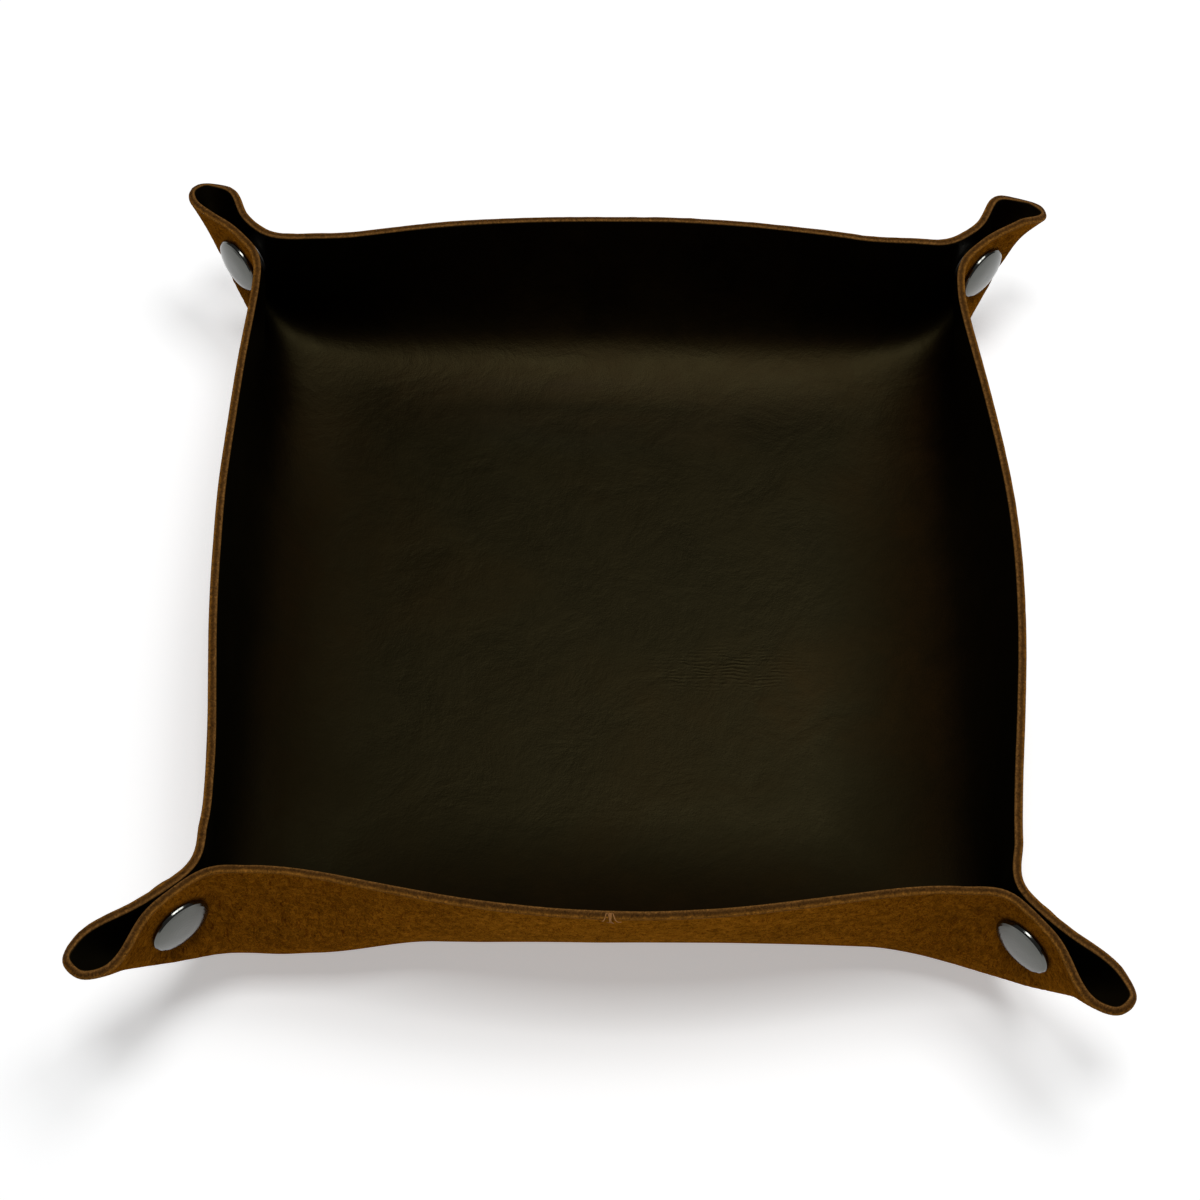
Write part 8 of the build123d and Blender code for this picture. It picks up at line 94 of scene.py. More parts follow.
    ((4000, -9711, 4590), (3992, -9666, 4197), (3982, -9623, 3804), (3973, -9579, 3410), (3963, -9532, 3016), (3953, -9478, 2623), (3943, -9412, 2231), (3934, -9326, 1843), (3924, -9202, 1463), (3916, -9003, 1114), (3912, -8718, 832), (3910, -8385, 612), (3910, -8028, 438), (3911, -7654, 305), (3912, -7269, 210), (3913, -6877, 149), (3914, -6482, 115), (3914, -6086, 101), (3913, -5690, 99), (3913, -5293, 100), (3912, -4897, 100), (3910, -4500, 100), (3909, -4103, 100), (3908, -3706, 100), (3907, -3309, 100), (3906, -2912, 100), (3905, -2515, 100), (3904, -2118, 100), (3904, -1721, 100), (3903, -1324, 100), (3903, -927, 100), (3902, -530, 100), (3902, -133, 100), (3902, 264, 100), (3902, 661, 100), (3902, 1058, 100), (3902, 1455, 100), (3903, 1852, 100), (3903, 2249, 100), (3903, 2646, 100), (3904, 3043, 100), (3904, 3440, 100), (3905, 3837, 100), (3905, 4234, 100), (3906, 4630, 100), (3906, 5027, 100), (3906, 5424, 100), (3906, 5820, 100), (3905, 6217, 99), (3904, 6613, 100), (3902, 7009, 116), (3900, 7404, 154), (3898, 7795, 223), (3896, 8178, 328), (3895, 8547, 478), (3895, 8882, 698), (3896, 9146, 1002), (3898, 9338, 1352), (3899, 9490, 1719), (3901, 9620, 2095), (3901, 9732, 2477), (3902, 9834, 2860), (3902, 9930, 3245), (3901, 10023, 3631), (3900, 10116, 4016)),
    ((4398, -9652, 4588), (4389, -9615, 4195), (4379, -9579, 3801), (4369, -9543, 3406), (4359, -9504, 3011), (4349, -9458, 2617), (4339, -9399, 2224), (4329, -9320, 1834), (4319, -9203, 1452), (4311, -9007, 1101), (4307, -8723, 818), (4306, -8390, 599), (4307, -8031, 428), (4309, -7656, 299), (4311, -7270, 207), (4312, -6878, 148), (4312, -6483, 115), (4312, -6087, 101), (4311, -5690, 99), (4310, -5294, 100), (4309, -4897, 100), (4308, -4500, 100), (4306, -4103, 100), (4305, -3706, 100), (4304, -3309, 100), (4303, -2912, 100), (4302, -2515, 100), (4301, -2118, 100), (4300, -1721, 100), (4300, -1324, 100), (4299, -927, 100), (4299, -529, 100), (4298, -132, 100), (4298, 265, 100), (4298, 662, 100), (4298, 1059, 100), (4299, 1456, 100), (4299, 1853, 100), (4299, 2250, 100), (4300, 2647, 100), (4300, 3044, 100), (4301, 3441, 100), (4302, 3838, 100), (4302, 4235, 100), (4303, 4631, 100), (4303, 5028, 100), (4303, 5425, 100), (4303, 5822, 100), (4302, 6218, 99), (4301, 6614, 99), (4300, 7011, 113), (4298, 7406, 149), (4295, 7797, 216), (4292, 8180, 320), (4290, 8549, 470), (4290, 8883, 693), (4291, 9144, 999), (4293, 9330, 1353), (4294, 9475, 1723), (4296, 9596, 2102), (4296, 9700, 2486), (4297, 9795, 2871), (4297, 9884, 3258), (4297, 9971, 3645), (4296, 10059, 4031)),
    ((4796, -9589, 4585), (4786, -9561, 4191), (4776, -9533, 3796), (4765, -9506, 3401), (4755, -9475, 3006), (4744, -9438, 2610), (4733, -9387, 2216), (4723, -9316, 1824), (4713, -9205, 1441), (4705, -9013, 1087), (4702, -8729, 803), (4703, -8394, 586), (4705, -8034, 418), (4707, -7658, 293), (4709, -7271, 206), (4710, -6879, 149), (4711, -6484, 117), (4710, -6087, 102), (4709, -5691, 99), (4708, -5294, 100), (4707, -4897, 100), (4705, -4500, 100), (4704, -4103, 100), (4702, -3705, 100), (4701, -3308, 100), (4700, -2911, 100), (4698, -2514, 100), (4698, -2117, 100), (4697, -1720, 100), (4696, -1323, 100), (4695, -926, 100), (4695, -529, 100), (4695, -132, 100), (4695, 265, 100), (4695, 662, 100), (4695, 1059, 100), (4695, 1456, 100), (4695, 1853, 100), (4696, 2250, 100), (4696, 2647, 100), (4697, 3044, 100), (4698, 3441, 100), (4698, 3838, 100), (4699, 4235, 100), (4699, 4632, 100), (4700, 5029, 100), (4700, 5426, 100), (4700, 5823, 100), (4700, 6220, 100), (4699, 6616, 99), (4697, 7012, 111), (4695, 7407, 145), (4692, 7799, 210), (4689, 8182, 312), (4686, 8551, 462), (4685, 8884, 686), (4686, 9142, 996), (4688, 9321, 1353), (4689, 9457, 1727), (4690, 9569, 2109), (4691, 9665, 2495), (4691, 9751, 2883), (4692, 9833, 3271), (4692, 9915, 3659), (4691, 9998, 4046)),
    ((5194, -9527, 4580), (5184, -9507, 4186), (5173, -9487, 3791), (5162, -9467, 3395), (5150, -9445, 2999), (5139, -9417, 2603), (5127, -9375, 2208), (5117, -9312, 1815), (5107, -9208, 1429), (5099, -9020, 1073), (5097, -8736, 787), (5099, -8400, 573), (5102, -8038, 410), (5106, -7660, 291), (5108, -7272, 208), (5109, -6879, 154), (5109, -6484, 122), (5108, -6088, 106), (5107, -5691, 100), (5106, -5294, 99), (5104, -4897, 100), (5102, -4499, 100), (5101, -4102, 100), (5099, -3705, 100), (5097, -3308, 100), (5096, -2910, 100), (5095, -2513, 100), (5094, -2116, 100), (5093, -1719, 100), (5092, -1322, 100), (5092, -925, 100), (5092, -528, 100), (5091, -131, 100), (5091, 266, 100), (5091, 663, 100), (5091, 1060, 100), (5092, 1457, 100), (5092, 1854, 100), (5092, 2251, 100), (5093, 2648, 100), (5093, 3045, 100), (5094, 3442, 100), (5095, 3839, 100), (5095, 4236, 100), (5096, 4633, 100), (5097, 5031, 100), (5097, 5428, 100), (5097, 5824, 100), (5097, 6221, 100), (5096, 6618, 98), (5095, 7014, 110), (5093, 7409, 142), (5089, 7801, 205), (5085, 8185, 305), (5082, 8554, 453), (5080, 8887, 679), (5080, 9140, 993), (5082, 9312, 1354), (5083, 9439, 1731), (5084, 9540, 2116), (5085, 9625, 2505), (5085, 9702, 2894), (5086, 9778, 3284), (5086, 9854, 3673), (5086, 9932, 4061)),
    ((5592, -9462, 4573), (5582, -9451, 4178), (5570, -9441, 3783), (5558, -9429, 3388), (5546, -9415, 2991), (5533, -9395, 2595), (5521, -9363, 2199), (5510, -9308, 1804), (5500, -9211, 1417), (5493, -9028, 1057), (5493, -8745, 771), (5496, -8407, 560), (5501, -8042, 404), (5504, -7662, 291), (5507, -7273, 213), (5508, -6880, 162), (5508, -6484, 130), (5507, -6088, 113), (5505, -5691, 104), (5503, -5293, 101), (5501, -4896, 99), (5499, -4499, 99), (5497, -4101, 99), (5496, -3704, 100), (5494, -3307, 100), (5493, -2909, 100), (5492, -2512, 100), (5491, -2115, 100), (5490, -1718, 100), (5489, -1321, 100), (5488, -924, 100), (5488, -527, 100), (5488, -130, 100), (5488, 267, 100), (5488, 663, 100), (5488, 1060, 100), (5488, 1457, 100), (5488, 1854, 100), (5489, 2251, 100), (5489, 2648, 100), (5490, 3045, 99), (5491, 3443, 100), (5491, 3840, 100), (5492, 4237, 100), (5493, 4634, 100), (5494, 5032, 100), (5494, 5429, 100), (5495, 5826, 100), (5495, 6223, 100), (5494, 6620, 99), (5493, 7016, 110), (5491, 7411, 141), (5487, 7803, 201), (5482, 8188, 297), (5478, 8558, 444), (5474, 8891, 671), (5474, 9140, 989), (5476, 9302, 1354), (5477, 9417, 1736), (5478, 9506, 2124), (5478, 9580, 2515), (5479, 9648, 2906), (5479, 9717, 3296), (5480, 9788, 3686), (5480, 9861, 4075)),
    ((5991, -9398, 4563), (5980, -9398, 4169), (5967, -9396, 3774), (5954, -9392, 3378), (5941, -9386, 2982), (5928, -9374, 2586), (5915, -9350, 2189), (5903, -9304, 1794), (5893, -9216, 1404), (5887, -9038, 1042), (5888, -8756, 755), (5894, -8414, 549), (5899, -8046, 400), (5904, -7664, 295), (5906, -7274, 223), (5907, -6880, 175), (5906, -6484, 145), (5904, -6088, 126), (5902, -5690, 114), (5900, -5293, 107), (5898, -4895, 103), (5896, -4498, 101), (5894, -4100, 99), (5892, -3703, 99), (5891, -3305, 98), (5889, -2908, 98), (5888, -2511, 98), (5887, -2114, 98), (5886, -1717, 98), (5885, -1320, 98), (5885, -923, 98), (5884, -526, 98), (5884, -130, 99), (5884, 267, 99), (5884, 664, 99), (5884, 1061, 99), (5884, 1458, 99), (5885, 1855, 99), (5885, 2252, 100), (5886, 2649, 100), (5886, 3046, 100), (5887, 3443, 100), (5888, 3840, 100), (5889, 4237, 100), (5889, 4635, 100), (5890, 5032, 100), (5891, 5430, 100), (5892, 5827, 100), (5892, 6224, 99), (5892, 6622, 100), (5891, 7018, 112), (5889, 7414, 142), (5885, 7806, 199), (5880, 8192, 292), (5874, 8563, 435), (5869, 8896, 662), (5868, 9140, 985), (5869, 9291, 1356), (5869, 9392, 1742), (5870, 9466, 2133), (5870, 9529, 2525), (5871, 9589, 2917), (5872, 9651, 3308), (5873, 9718, 3699), (5875, 9788, 4088)),
    ((6391, -9337, 4551), (6378, -9347, 4157), (6365, -9353, 3762), (6351, -9357, 3367), (6337, -9357, 2972), (6322, -9353, 2576), (6308, -9339, 2179), (6295, -9303, 1783), (6285, -9217, 1394), (6280, -9052, 1026), (6284, -8767, 740), (6292, -8422, 541), (6299, -8051, 402), (6303, -7666, 306), (6305, -7275, 240), (6305, -6880, 196), (6304, -6484, 166), (6302, -6087, 146), (6300, -5689, 132), (6297, -5291, 123), (6295, -4894, 117), (6293, -4496, 112), (6291, -4098, 109), (6289, -3701, 108), (6287, -3304, 106), (6286, -2906, 106), (6284, -2509, 106), (6283, -2112, 105), (6283, -1716, 105), (6282, -1319, 105), (6281, -922, 105), (6281, -525, 104), (6281, -129, 103), (6280, 268, 103), (6280, 665, 102), (6281, 1061, 101), (6281, 1458, 100), (6281, 1855, 99), (6282, 2252, 98), (6282, 2649, 98), (6283, 3046, 98), (6283, 3443, 98), (6284, 3840, 99), (6285, 4238, 99), (6286, 4635, 99), (6287, 5033, 99), (6288, 5431, 99), (6289, 5828, 98), (6290, 6226, 99), (6290, 6623, 103), (6290, 7020, 118), (6288, 7416, 147), (6284, 7809, 201), (6278, 8196, 289), (6271, 8569, 427), (6263, 8902, 654), (6261, 9141, 981), (6261, 9279, 1358), (6261, 9362, 1748), (6261, 9420, 2141), (6262, 9471, 2535), (6263, 9523, 2928), (6264, 9581, 3319), (6266, 9644, 3710), (6269, 9710, 4100)),
    ((6791, -9282, 4536), (6778, -9301, 4142), (6764, -9316, 3748), (6749, -9325, 3353), (6733, -9332, 2959), (6716, -9336, 2563), (6700, -9332, 2167), (6686, -9309, 1770), (6676, -9234, 1378), (6673, -9070, 1009), (6681, -8781, 727), (6691, -8430, 539), (6699, -8055, 411), (6703, -7668, 325), (6704, -7275, 265), (6703, -6880, 225), (6701, -6483, 197), (6698, -6085, 177), (6696, -5687, 163), (6693, -5289, 153), (6691, -4891, 145), (6688, -4493, 139), (6686, -4096, 136), (6685, -3698, 133), (6683, -3301, 132), (6682, -2904, 131), (6680, -2507, 130), (6679, -2111, 130), (6678, -1714, 129), (6678, -1317, 128), (6677, -921, 127), (6677, -524, 126), (6677, -128, 124), (6677, 268, 122), (6677, 665, 120), (6677, 1061, 118), (6677, 1458, 115), (6677, 1855, 113), (6678, 2251, 110), (6678, 2648, 108), (6679, 3045, 106), (6680, 3442, 105), (6680, 3840, 104), (6681, 4237, 102), (6682, 4635, 102), (6683, 5033, 101), (6685, 5431, 102), (6686, 5829, 103), (6687, 6227, 106), (6688, 6625, 114), (6688, 7022, 129), (6687, 7419, 159), (6684, 7812, 209), (6677, 8201, 290), (6668, 8576, 421), (6658, 8911, 645), (6653, 9144, 978), (6652, 9265, 1361), (6652, 9327, 1755), (6652, 9369, 2150), (6653, 9408, 2544), (6654, 9454, 2937), (6657, 9508, 3329), (6659, 9568, 3719), (6662, 9631, 4110)),
    ((7193, -9236, 4518), (7178, -9265, 4125), (7163, -9285, 3731), (7147, -9300, 3337), (7130, -9312, 2943), (7111, -9325, 2549), (7092, -9333, 2153), (7076, -9325, 1756), (7065, -9262, 1361), (7066, -9094, 992), (7079, -8796, 718), (7091, -8438, 545), (7099, -8058, 431), (7101, -7669, 355), (7101, -7274, 303), (7099, -6877, 267), (7096, -6480, 242), (7093, -6082, 224), (7090, -5684, 211), (7087, -5285, 201), (7084, -4888, 194), (7082, -4490, 189), (7080, -4093, 185), (7078, -3695, 183), (7077, -3298, 182), (7075, -2902, 181), (7074, -2505, 180), (7073, -2109, 179), (7072, -1712, 178), (7072, -1316, 176), (7071, -919, 175), (7071, -523, 172), (7071, -127, 169), (7071, 269, 165), (7071, 665, 162), (7072, 1062, 158), (7072, 1458, 153), (7073, 1855, 148), (7073, 2251, 143), (7074, 2648, 139), (7075, 3045, 134), (7075, 3442, 131), (7076, 3839, 127), (7077, 4236, 124), (7078, 4634, 121), (7079, 5032, 120), (7081, 5430, 120), (7082, 5829, 121), (7084, 6227, 125), (7085, 6626, 135), (7086, 7024, 151), (7086, 7421, 179), (7083, 7816, 224), (7077, 8205, 298), (7067, 8584, 419), (7053, 8923, 637), (7044, 9151, 975), (7042, 9253, 1364), (7042, 9292, 1761), (7043, 9315, 2157), (7045, 9343, 2551), (7047, 9384, 2944), (7049, 9434, 3336), (7052, 9491, 3727), (7056, 9554, 4118)),
    ((7596, -9213, 4498), (7579, -9244, 4105), (7564, -9267, 3711), (7547, -9286, 3318), (7528, -9302, 2925), (7506, -9323, 2532), (7483, -9346, 2137), (7464, -9353, 1740), (7454, -9295, 1344), (7460, -9123, 976), (7479, -8811, 718), (7492, -8445, 564), (7498, -8060, 465), (7499, -7667, 400), (7496, -7271, 356), (7492, -6873, 327), (7488, -6475, 306), (7484, -6077, 292), (7480, -5678, 282), (7477, -5280, 275), (7474, -4883, 270), (7471, -4486, 267), (7469, -4089, 265), (7467, -3692, 263), (7465, -3295, 262), (7464, -2899, 261), (7463, -2502, 260), (7462, -2106, 259), (7461, -1710, 257), (7461, -1314, 255), (7461, -918, 253), (7461, -522, 249), (7461, -126, 245), (7461, 270, 239), (7462, 666, 234), (7462, 1062, 228), (7463, 1458, 222), (7464, 1855, 215), (7465, 2251, 207), (7466, 2647, 200), (7467, 3044, 193), (7468, 3441, 186), (7469, 3838, 179), (7471, 4235, 173), (7472, 4633, 168), (7473, 5030, 164), (7475, 5429, 161), (7477, 5827, 161), (7479, 6226, 164), (7481, 6625, 172), (7482, 7024, 187), (7483, 7422, 212), (7482, 7818, 253), (7478, 8210, 317), (7467, 8592, 426), (7449, 8938, 633), (7434, 9166, 972), (7430, 9248, 1366), (7431, 9262, 1764), (7435, 9267, 2161), (7439, 9285, 2555), (7441, 9319, 2948), (7443, 9364, 3340), (7445, 9416, 3731), (7448, 9471, 4123)),
    ((7999, -9208, 4477), (7981, -9245, 4083), (7965, -9269, 3689), (7949, -9288, 3297), (7927, -9308, 2905), (7901, -9340, 2513), (7872, -9381, 2119), (7847, -9405, 1722), (7839, -9355, 1322), (7856, -9156, 965), (7880, -8825, 732), (7892, -8449, 601), (7895, -8059, 518), (7892, -7663, 466), (7887, -7265, 432), (7881, -6866, 411), (7875, -6468, 398), (7869, -6069, 389), (7864, -5671, 384), (7859, -5274, 381), (7855, -4877, 379), (7852, -4480, 378), (7849, -4084, 378), (7847, -3687, 378), (7845, -3291, 378), (7844, -2895, 377), (7843, -2499, 376), (7842, -2103, 374), (7842, -1707, 372), (7842, -1312, 369), (7842, -916, 365), (7842, -520, 361), (7843, -124, 355), (7843, 271, 348), (7844, 667, 341), (7845, 1063, 334), (7847, 1459, 326), (7848, 1855, 317), (7849, 2251, 307), (7851, 2647, 297), (7853, 3044, 287), (7855, 3440, 277), (7856, 3837, 268), (7858, 4234, 258), (7860, 4631, 249), (7862, 5028, 241), (7865, 5426, 235), (7867, 5824, 231), (7870, 6223, 230), (7873, 6623, 234), (7876, 7022, 244), (7878, 7421, 264), (7880, 7819, 298), (7878, 8214, 353), (7869, 8600, 446), (7847, 8956, 634), (7823, 9195, 968), (7816, 9263, 1366), (7821, 9254, 1764), (7829, 9238, 2161), (7835, 9242, 2555), (7839, 9268, 2948), (7839, 9305, 3340), (7839, 9348, 3733), (7841, 9400, 4127)),
    ((8395, -9278, 4458), (8379, -9290, 4063), (8368, -9300, 3667), (8351, -9316, 3274), (8331, -9334, 2881), (8293, -9387, 2491), (8255, -9449, 2099), (8224, -9488, 1702), (8223, -9426, 1301), (8256, -9189, 965), (8282, -8835, 768), (8289, -8449, 662), (8286, -8053, 599), (8278, -7654, 562), (8269, -7255, 541), (8260, -6856, 530), (8251, -6457, 525), (8242, -6060, 523), (8235, -5663, 524), (8229, -5267, 525), (8225, -4870, 527), (8220, -4474, 528), (8217, -4079, 529), (8215, -3683, 530), (8213, -3287, 530), (8211, -2892, 530), (8210, -2496, 528), (8210, -2100, 526), (8209, -1705, 523), (8210, -1309, 520), (8210, -914, 515), (8211, -518, 509), (8212, -122, 503), (8213, 273, 495), (8214, 669, 487), (8216, 1065, 478), (8218, 1461, 468), (8219, 1856, 458), (8222, 2252, 447), (8224, 2648, 435), (8227, 3044, 423), (8229, 3440, 410), (8232, 3836, 398), (8235, 4233, 385), (8237, 4629, 374), (8241, 5026, 362), (8244, 5423, 351), (8248, 5821, 341), (8253, 6219, 333), (8258, 6618, 330), (8263, 7017, 332), (8268, 7418, 343), (8273, 7818, 367), (8275, 8216, 410), (8271, 8608, 487), (8248, 8977, 647), (8210, 9243, 961), (8197, 9316, 1362), (8209, 9286, 1760), (8225, 9245, 2155), (8241, 9224, 2549), (8242, 9240, 2943), (8241, 9264, 3338), (8234, 9298, 3733), (8233, 9340, 4129)),
    ((8778, -9389, 4444), (8768, -9386, 4046), (8758, -9380, 3649), (8747, -9386, 3251), (8722, -9405, 2857), (8677, -9480, 2469), (8622, -9568, 2081), (8587, -9613, 1682), (8609, -9508, 1281), (8659, -9215, 989), (8680, -8837, 838), (8676, -8440, 764), (8664, -8039, 724), (8649, -7638, 705), (8634, -7239, 699), (8620, -6842, 699), (8607, -6445, 702), (8596, -6049, 707), (8587, -5654, 712), (8579, -5259, 716), (8573, -4864, 719), (8569, -4469, 721), (8565, -4074, 723), (8562, -3678, 724), (8560, -3283, 725), (8559, -2888, 724), (8558, -2493, 722), (8558, -2097, 719), (8558, -1702, 716), (8559, -1306, 711), (8560, -911, 705), (8561, -515, 699), (8562, -120, 691), (8564, 276, 683), (8566, 672, 674), (8568, 1067, 665), (8570, 1463, 654), (8572, 1859, 643), (8575, 2254, 631), (8577, 2650, 618), (8580, 3046, 605), (8584, 3442, 592), (8587, 3837, 578), (8591, 4233, 564), (8595, 4629, 550), (8600, 5025, 535), (8605, 5420, 520), (8611, 5817, 505), (8619, 6213, 491), (8627, 6611, 478), (8636, 7009, 469), (8646, 7409, 467), (8656, 7810, 476), (8665, 8212, 502), (8669, 8612, 558), (8651, 8997, 682), (8598, 9309, 954), (8565, 9423, 1353), (8583, 9383, 1752), (8616, 9310, 2146), (8637, 9259, 2539), (8642, 9260, 2934), (8636, 9271, 3333), (8632, 9292, 3730), (8628, 9311, 4128)),
    ((9134, -9574, 4432), (9130, -9559, 4036), (9164, -9497, 3636), (9133, -9518, 3236), (9162, -9467, 2819), (9035, -9645, 2449), (8960, -9750, 2071), (8939, -9773, 1657), (9008, -9574, 1282), (9061, -9214, 1069), (9060, -8814, 981), (9034, -8411, 950), (9004, -8012, 941), (8975, -7616, 942), (8951, -7221, 948), (8931, -6827, 955), (8915, -6434, 961), (8903, -6040, 968), (8892, -5646, 973), (8885, -5252, 977), (8879, -4858, 980), (8874, -4464, 982), (8872, -4069, 982), (8870, -3674, 982), (8868, -3279, 981), (8868, -2884, 980), (8868, -2489, 977), (8868, -2094, 973), (8869, -1698, 969), (8870, -1303, 963), (8872, -907, 957), (8873, -511, 950), (8875, -115, 942), (8876, 280, 934), (8878, 676, 925), (8880, 1072, 915), (8883, 1468, 905), (8885, 1863, 894), (8887, 2259, 882), (8890, 2655, 870), (8893, 3050, 857), (8896, 3446, 844), (8900, 3841, 830), (8904, 4236, 816), (8908, 4631, 802), (8914, 5026, 786), (8920, 5421, 770), (8929, 5816, 753), (8939, 6210, 735), (8951, 6604, 717), (8967, 6999, 700), (8985, 7395, 684), (9006, 7793, 674), (9029, 8194, 674), (9050, 8598, 696), (9050, 9000, 771), (8997, 9369, 967), (8918, 9577, 1337), (8926, 9557, 1751), (8983, 9463, 2134), (9087, 9295, 2515), (9043, 9352, 2929), (9058, 9333, 3330), (9023, 9395, 3729), (9023, 9406, 4127)),
    ((9421, -9850, 4421), (9417, -9839, 4024), (9401, -9838, 3627), (9390, -9834, 3231), (9404, -9819, 2831), (9305, -9930, 2457), (9252, -10003, 2059), (9322, -9908, 1632), (9422, -9570, 1362), (9425, -9159, 1273), (9362, -8760, 1264), (9285, -8373, 1274), (9224, -7987, 1284), (9182, -7599, 1293), (9155, -7210, 1299), (9137, -6819, 1304), (9124, -6428, 1308), (9115, -6035, 1311), (9108, -5642, 1314), (9103, -5249, 1315), (9100, -4855, 1316), (9099, -4461, 1316), (9098, -4066, 1315), (9099, -3671, 1313), (9100, -3276, 1310), (9101, -2881, 1307), (9102, -2485, 1303), (9104, -2090, 1298), (9106, -1694, 1293), (9108, -1298, 1286), (9110, -902, 1280), (9112, -506, 1273), (9113, -110, 1265), (9114, 286, 1257), (9116, 682, 1249), (9117, 1079, 1239), (9119, 1475, 1230), (9120, 1871, 1220), (9121, 2267, 1209), (9122, 2662, 1198), (9124, 3058, 1186), (9125, 3454, 1174), (9127, 3849, 1162), (9130, 4244, 1149), (9133, 4639, 1136), (9137, 5033, 1122), (9142, 5427, 1107), (9149, 5821, 1092), (9158, 6214, 1076), (9170, 6606, 1059), (9186, 6998, 1042), (9209, 7388, 1025), (9243, 7778, 1007), (9293, 8166, 989), (9357, 8557, 973), (9413, 8957, 977), (9407, 9371, 1058), (9298, 9714, 1322), (9215, 9813, 1746), (9251, 9749, 2147), (9327, 9652, 2530), (9293, 9679, 2927), (9303, 9677, 3324), (9312, 9673, 3721), (9323, 9671, 4120)),
    ((9686, -10145, 4413), (9698, -10119, 4017), (9673, -10124, 3620), (9661, -10121, 3229), (9695, -10092, 2817), (9558, -10227, 2465), (9605, -10213, 2015), (9762, -9902, 1695), (9766, -9465, 1624), (9633, -9083, 1642), (9478, -8729, 1661), (9361, -8363, 1673), (9292, -7983, 1682), (9257, -7597, 1688), (9242, -7208, 1691), (9236, -6818, 1692), (9235, -6426, 1692), (9236, -6034, 1692), (9237, -5640, 1692), (9239, -5247, 1691), (9241, -4853, 1690), (9245, -4458, 1687), (9249, -4063, 1684), (9253, -3668, 1680), (9258, -3273, 1676), (9262, -2877, 1671), (9266, -2481, 1666), (9270, -2085, 1661), (9273, -1689, 1655), (9275, -1293, 1648), (9278, -896, 1641), (9280, -500, 1634), (9281, -103, 1627), (9282, 293, 1619), (9282, 690, 1611), (9282, 1086, 1602), (9281, 1483, 1593), (9280, 1879, 1584), (9279, 2275, 1575), (9277, 2672, 1565), (9275, 3068, 1555), (9274, 3463, 1545), (9272, 3859, 1534), (9271, 4254, 1523), (9270, 4649, 1511), (9269, 5044, 1499), (9269, 5438, 1487), (9270, 5831, 1474), (9272, 6224, 1460), (9274, 6616, 1447), (9279, 7007, 1434), (9290, 7397, 1420), (9315, 7783, 1406), (9369, 8165, 1390), (9471, 8535, 1373), (9618, 8892, 1350), (9746, 9276, 1329), (9734, 9716, 1395), (9565, 10025, 1713), (9506, 10045, 2158), (9621, 9920, 2521), (9569, 9959, 2932), (9578, 9955, 3323), (9605, 9937, 3721), (9595, 9955, 4118)),
    ((9914, -10475, 4403), (9936, -10446, 4009), (10008, -10376, 3617), (9982, -10389, 3217), (9965, -10346, 2850), (9854, -10524, 2406), (10085, -10219, 2031), (10076, -9742, 2009), (9871, -9388, 2047), (9623, -9092, 2056), (9446, -8750, 2062), (9337, -8379, 2072), (9285, -7993, 2080), (9268, -7603, 2086), (9271, -7211, 2088), (9282, -6819, 2088), (9296, -6427, 2086), (9309, -6033, 2084), (9320, -5640, 2082), (9330, -5245, 2079), (9339, -4851, 2076), (9349, -4456, 2071), (9359, -4060, 2066), (9368, -3665, 2061), (9377, -3269, 2055), (9386, -2873, 2049), (9393, -2477, 2043), (9399, -2080, 2036), (9404, -1684, 2030), (9408, -1287, 2023), (9410, -890, 2016), (9412, -493, 2009), (9413, -96, 2001), (9413, 301, 1994), (9411, 698, 1986), (9409, 1095, 1979), (9406, 1491, 1971), (9401, 1888, 1963), (9396, 2285, 1955), (9390, 2681, 1946), (9384, 3077, 1938), (9377, 3474, 1929), (9370, 3869, 1919), (9363, 4265, 1910), (9357, 4660, 1900), (9349, 5055, 1889), (9341, 5450, 1878), (9333, 5844, 1867), (9323, 6237, 1856), (9311, 6630, 1844), (9299, 7022, 1832), (9289, 7413, 1819), (9294, 7803, 1804), (9328, 8190, 1787), (9419, 8565, 1771), (9585, 8911, 1765), (9835, 9205, 1759), (10042, 9561, 1720), (10041, 10041, 1741), (9802, 10341, 2113), (9898, 10168, 2557), (9901, 10211, 2926), (9927, 10190, 3327), (9847, 10260, 3719), (9820, 10286, 4114)),
    ((10082, -10839, 4386), (10099, -10808, 3992), (10096, -10788, 3599), (10075, -10783, 3206), (10128, -10806, 2784), (10419, -10551, 2373), (10392, -9990, 2404), (10101, -9689, 2455), (9810, -9427, 2449), (9530, -9153, 2440), (9374, -8790, 2455), (9294, -8402, 2467), (9264, -8007, 2477), (9264, -7611, 2482), (9282, -7216, 2484), (9307, -6822, 2484), (9332, -6428, 2482), (9356, -6034, 2479), (9377, -5639, 2476), (9395, -5244, 2471), (9412, -4849, 2466), (9429, -4454, 2461), (9445, -4058, 2455), (9460, -3662, 2448), (9474, -3265, 2441), (9487, -2869, 2433), (9498, -2472, 2426), (9507, -2075, 2419), (9513, -1678, 2411), (9518, -1281, 2404), (9522, -884, 2397), (9524, -486, 2389), (9524, -89, 2382), (9523, 308, 2375), (9520, 706, 2368), (9514, 1103, 2361), (9508, 1500, 2354), (9499, 1897, 2347), (9489, 2294, 2340), (9478, 2691, 2333), (9466, 3088, 2326), (9453, 3484, 2318), (9440, 3880, 2310), (9426, 4276, 2302), (9412, 4672, 2293), (9397, 5067, 2284), (9380, 5462, 2274), (9361, 5857, 2264), (9339, 6251, 2253), (9314, 6645, 2241), (9286, 7039, 2229), (9261, 7433, 2214), (9248, 7828, 2197), (9262, 8223, 2178), (9326, 8613, 2159), (9473, 8980, 2141), (9754, 9254, 2156), (10047, 9511, 2170), (10343, 9810, 2119), (10364, 10377, 2092), (10072, 10621, 2502), (10010, 10601, 2919), (10016, 10602, 3314), (10001, 10623, 3706), (9967, 10656, 4100)),
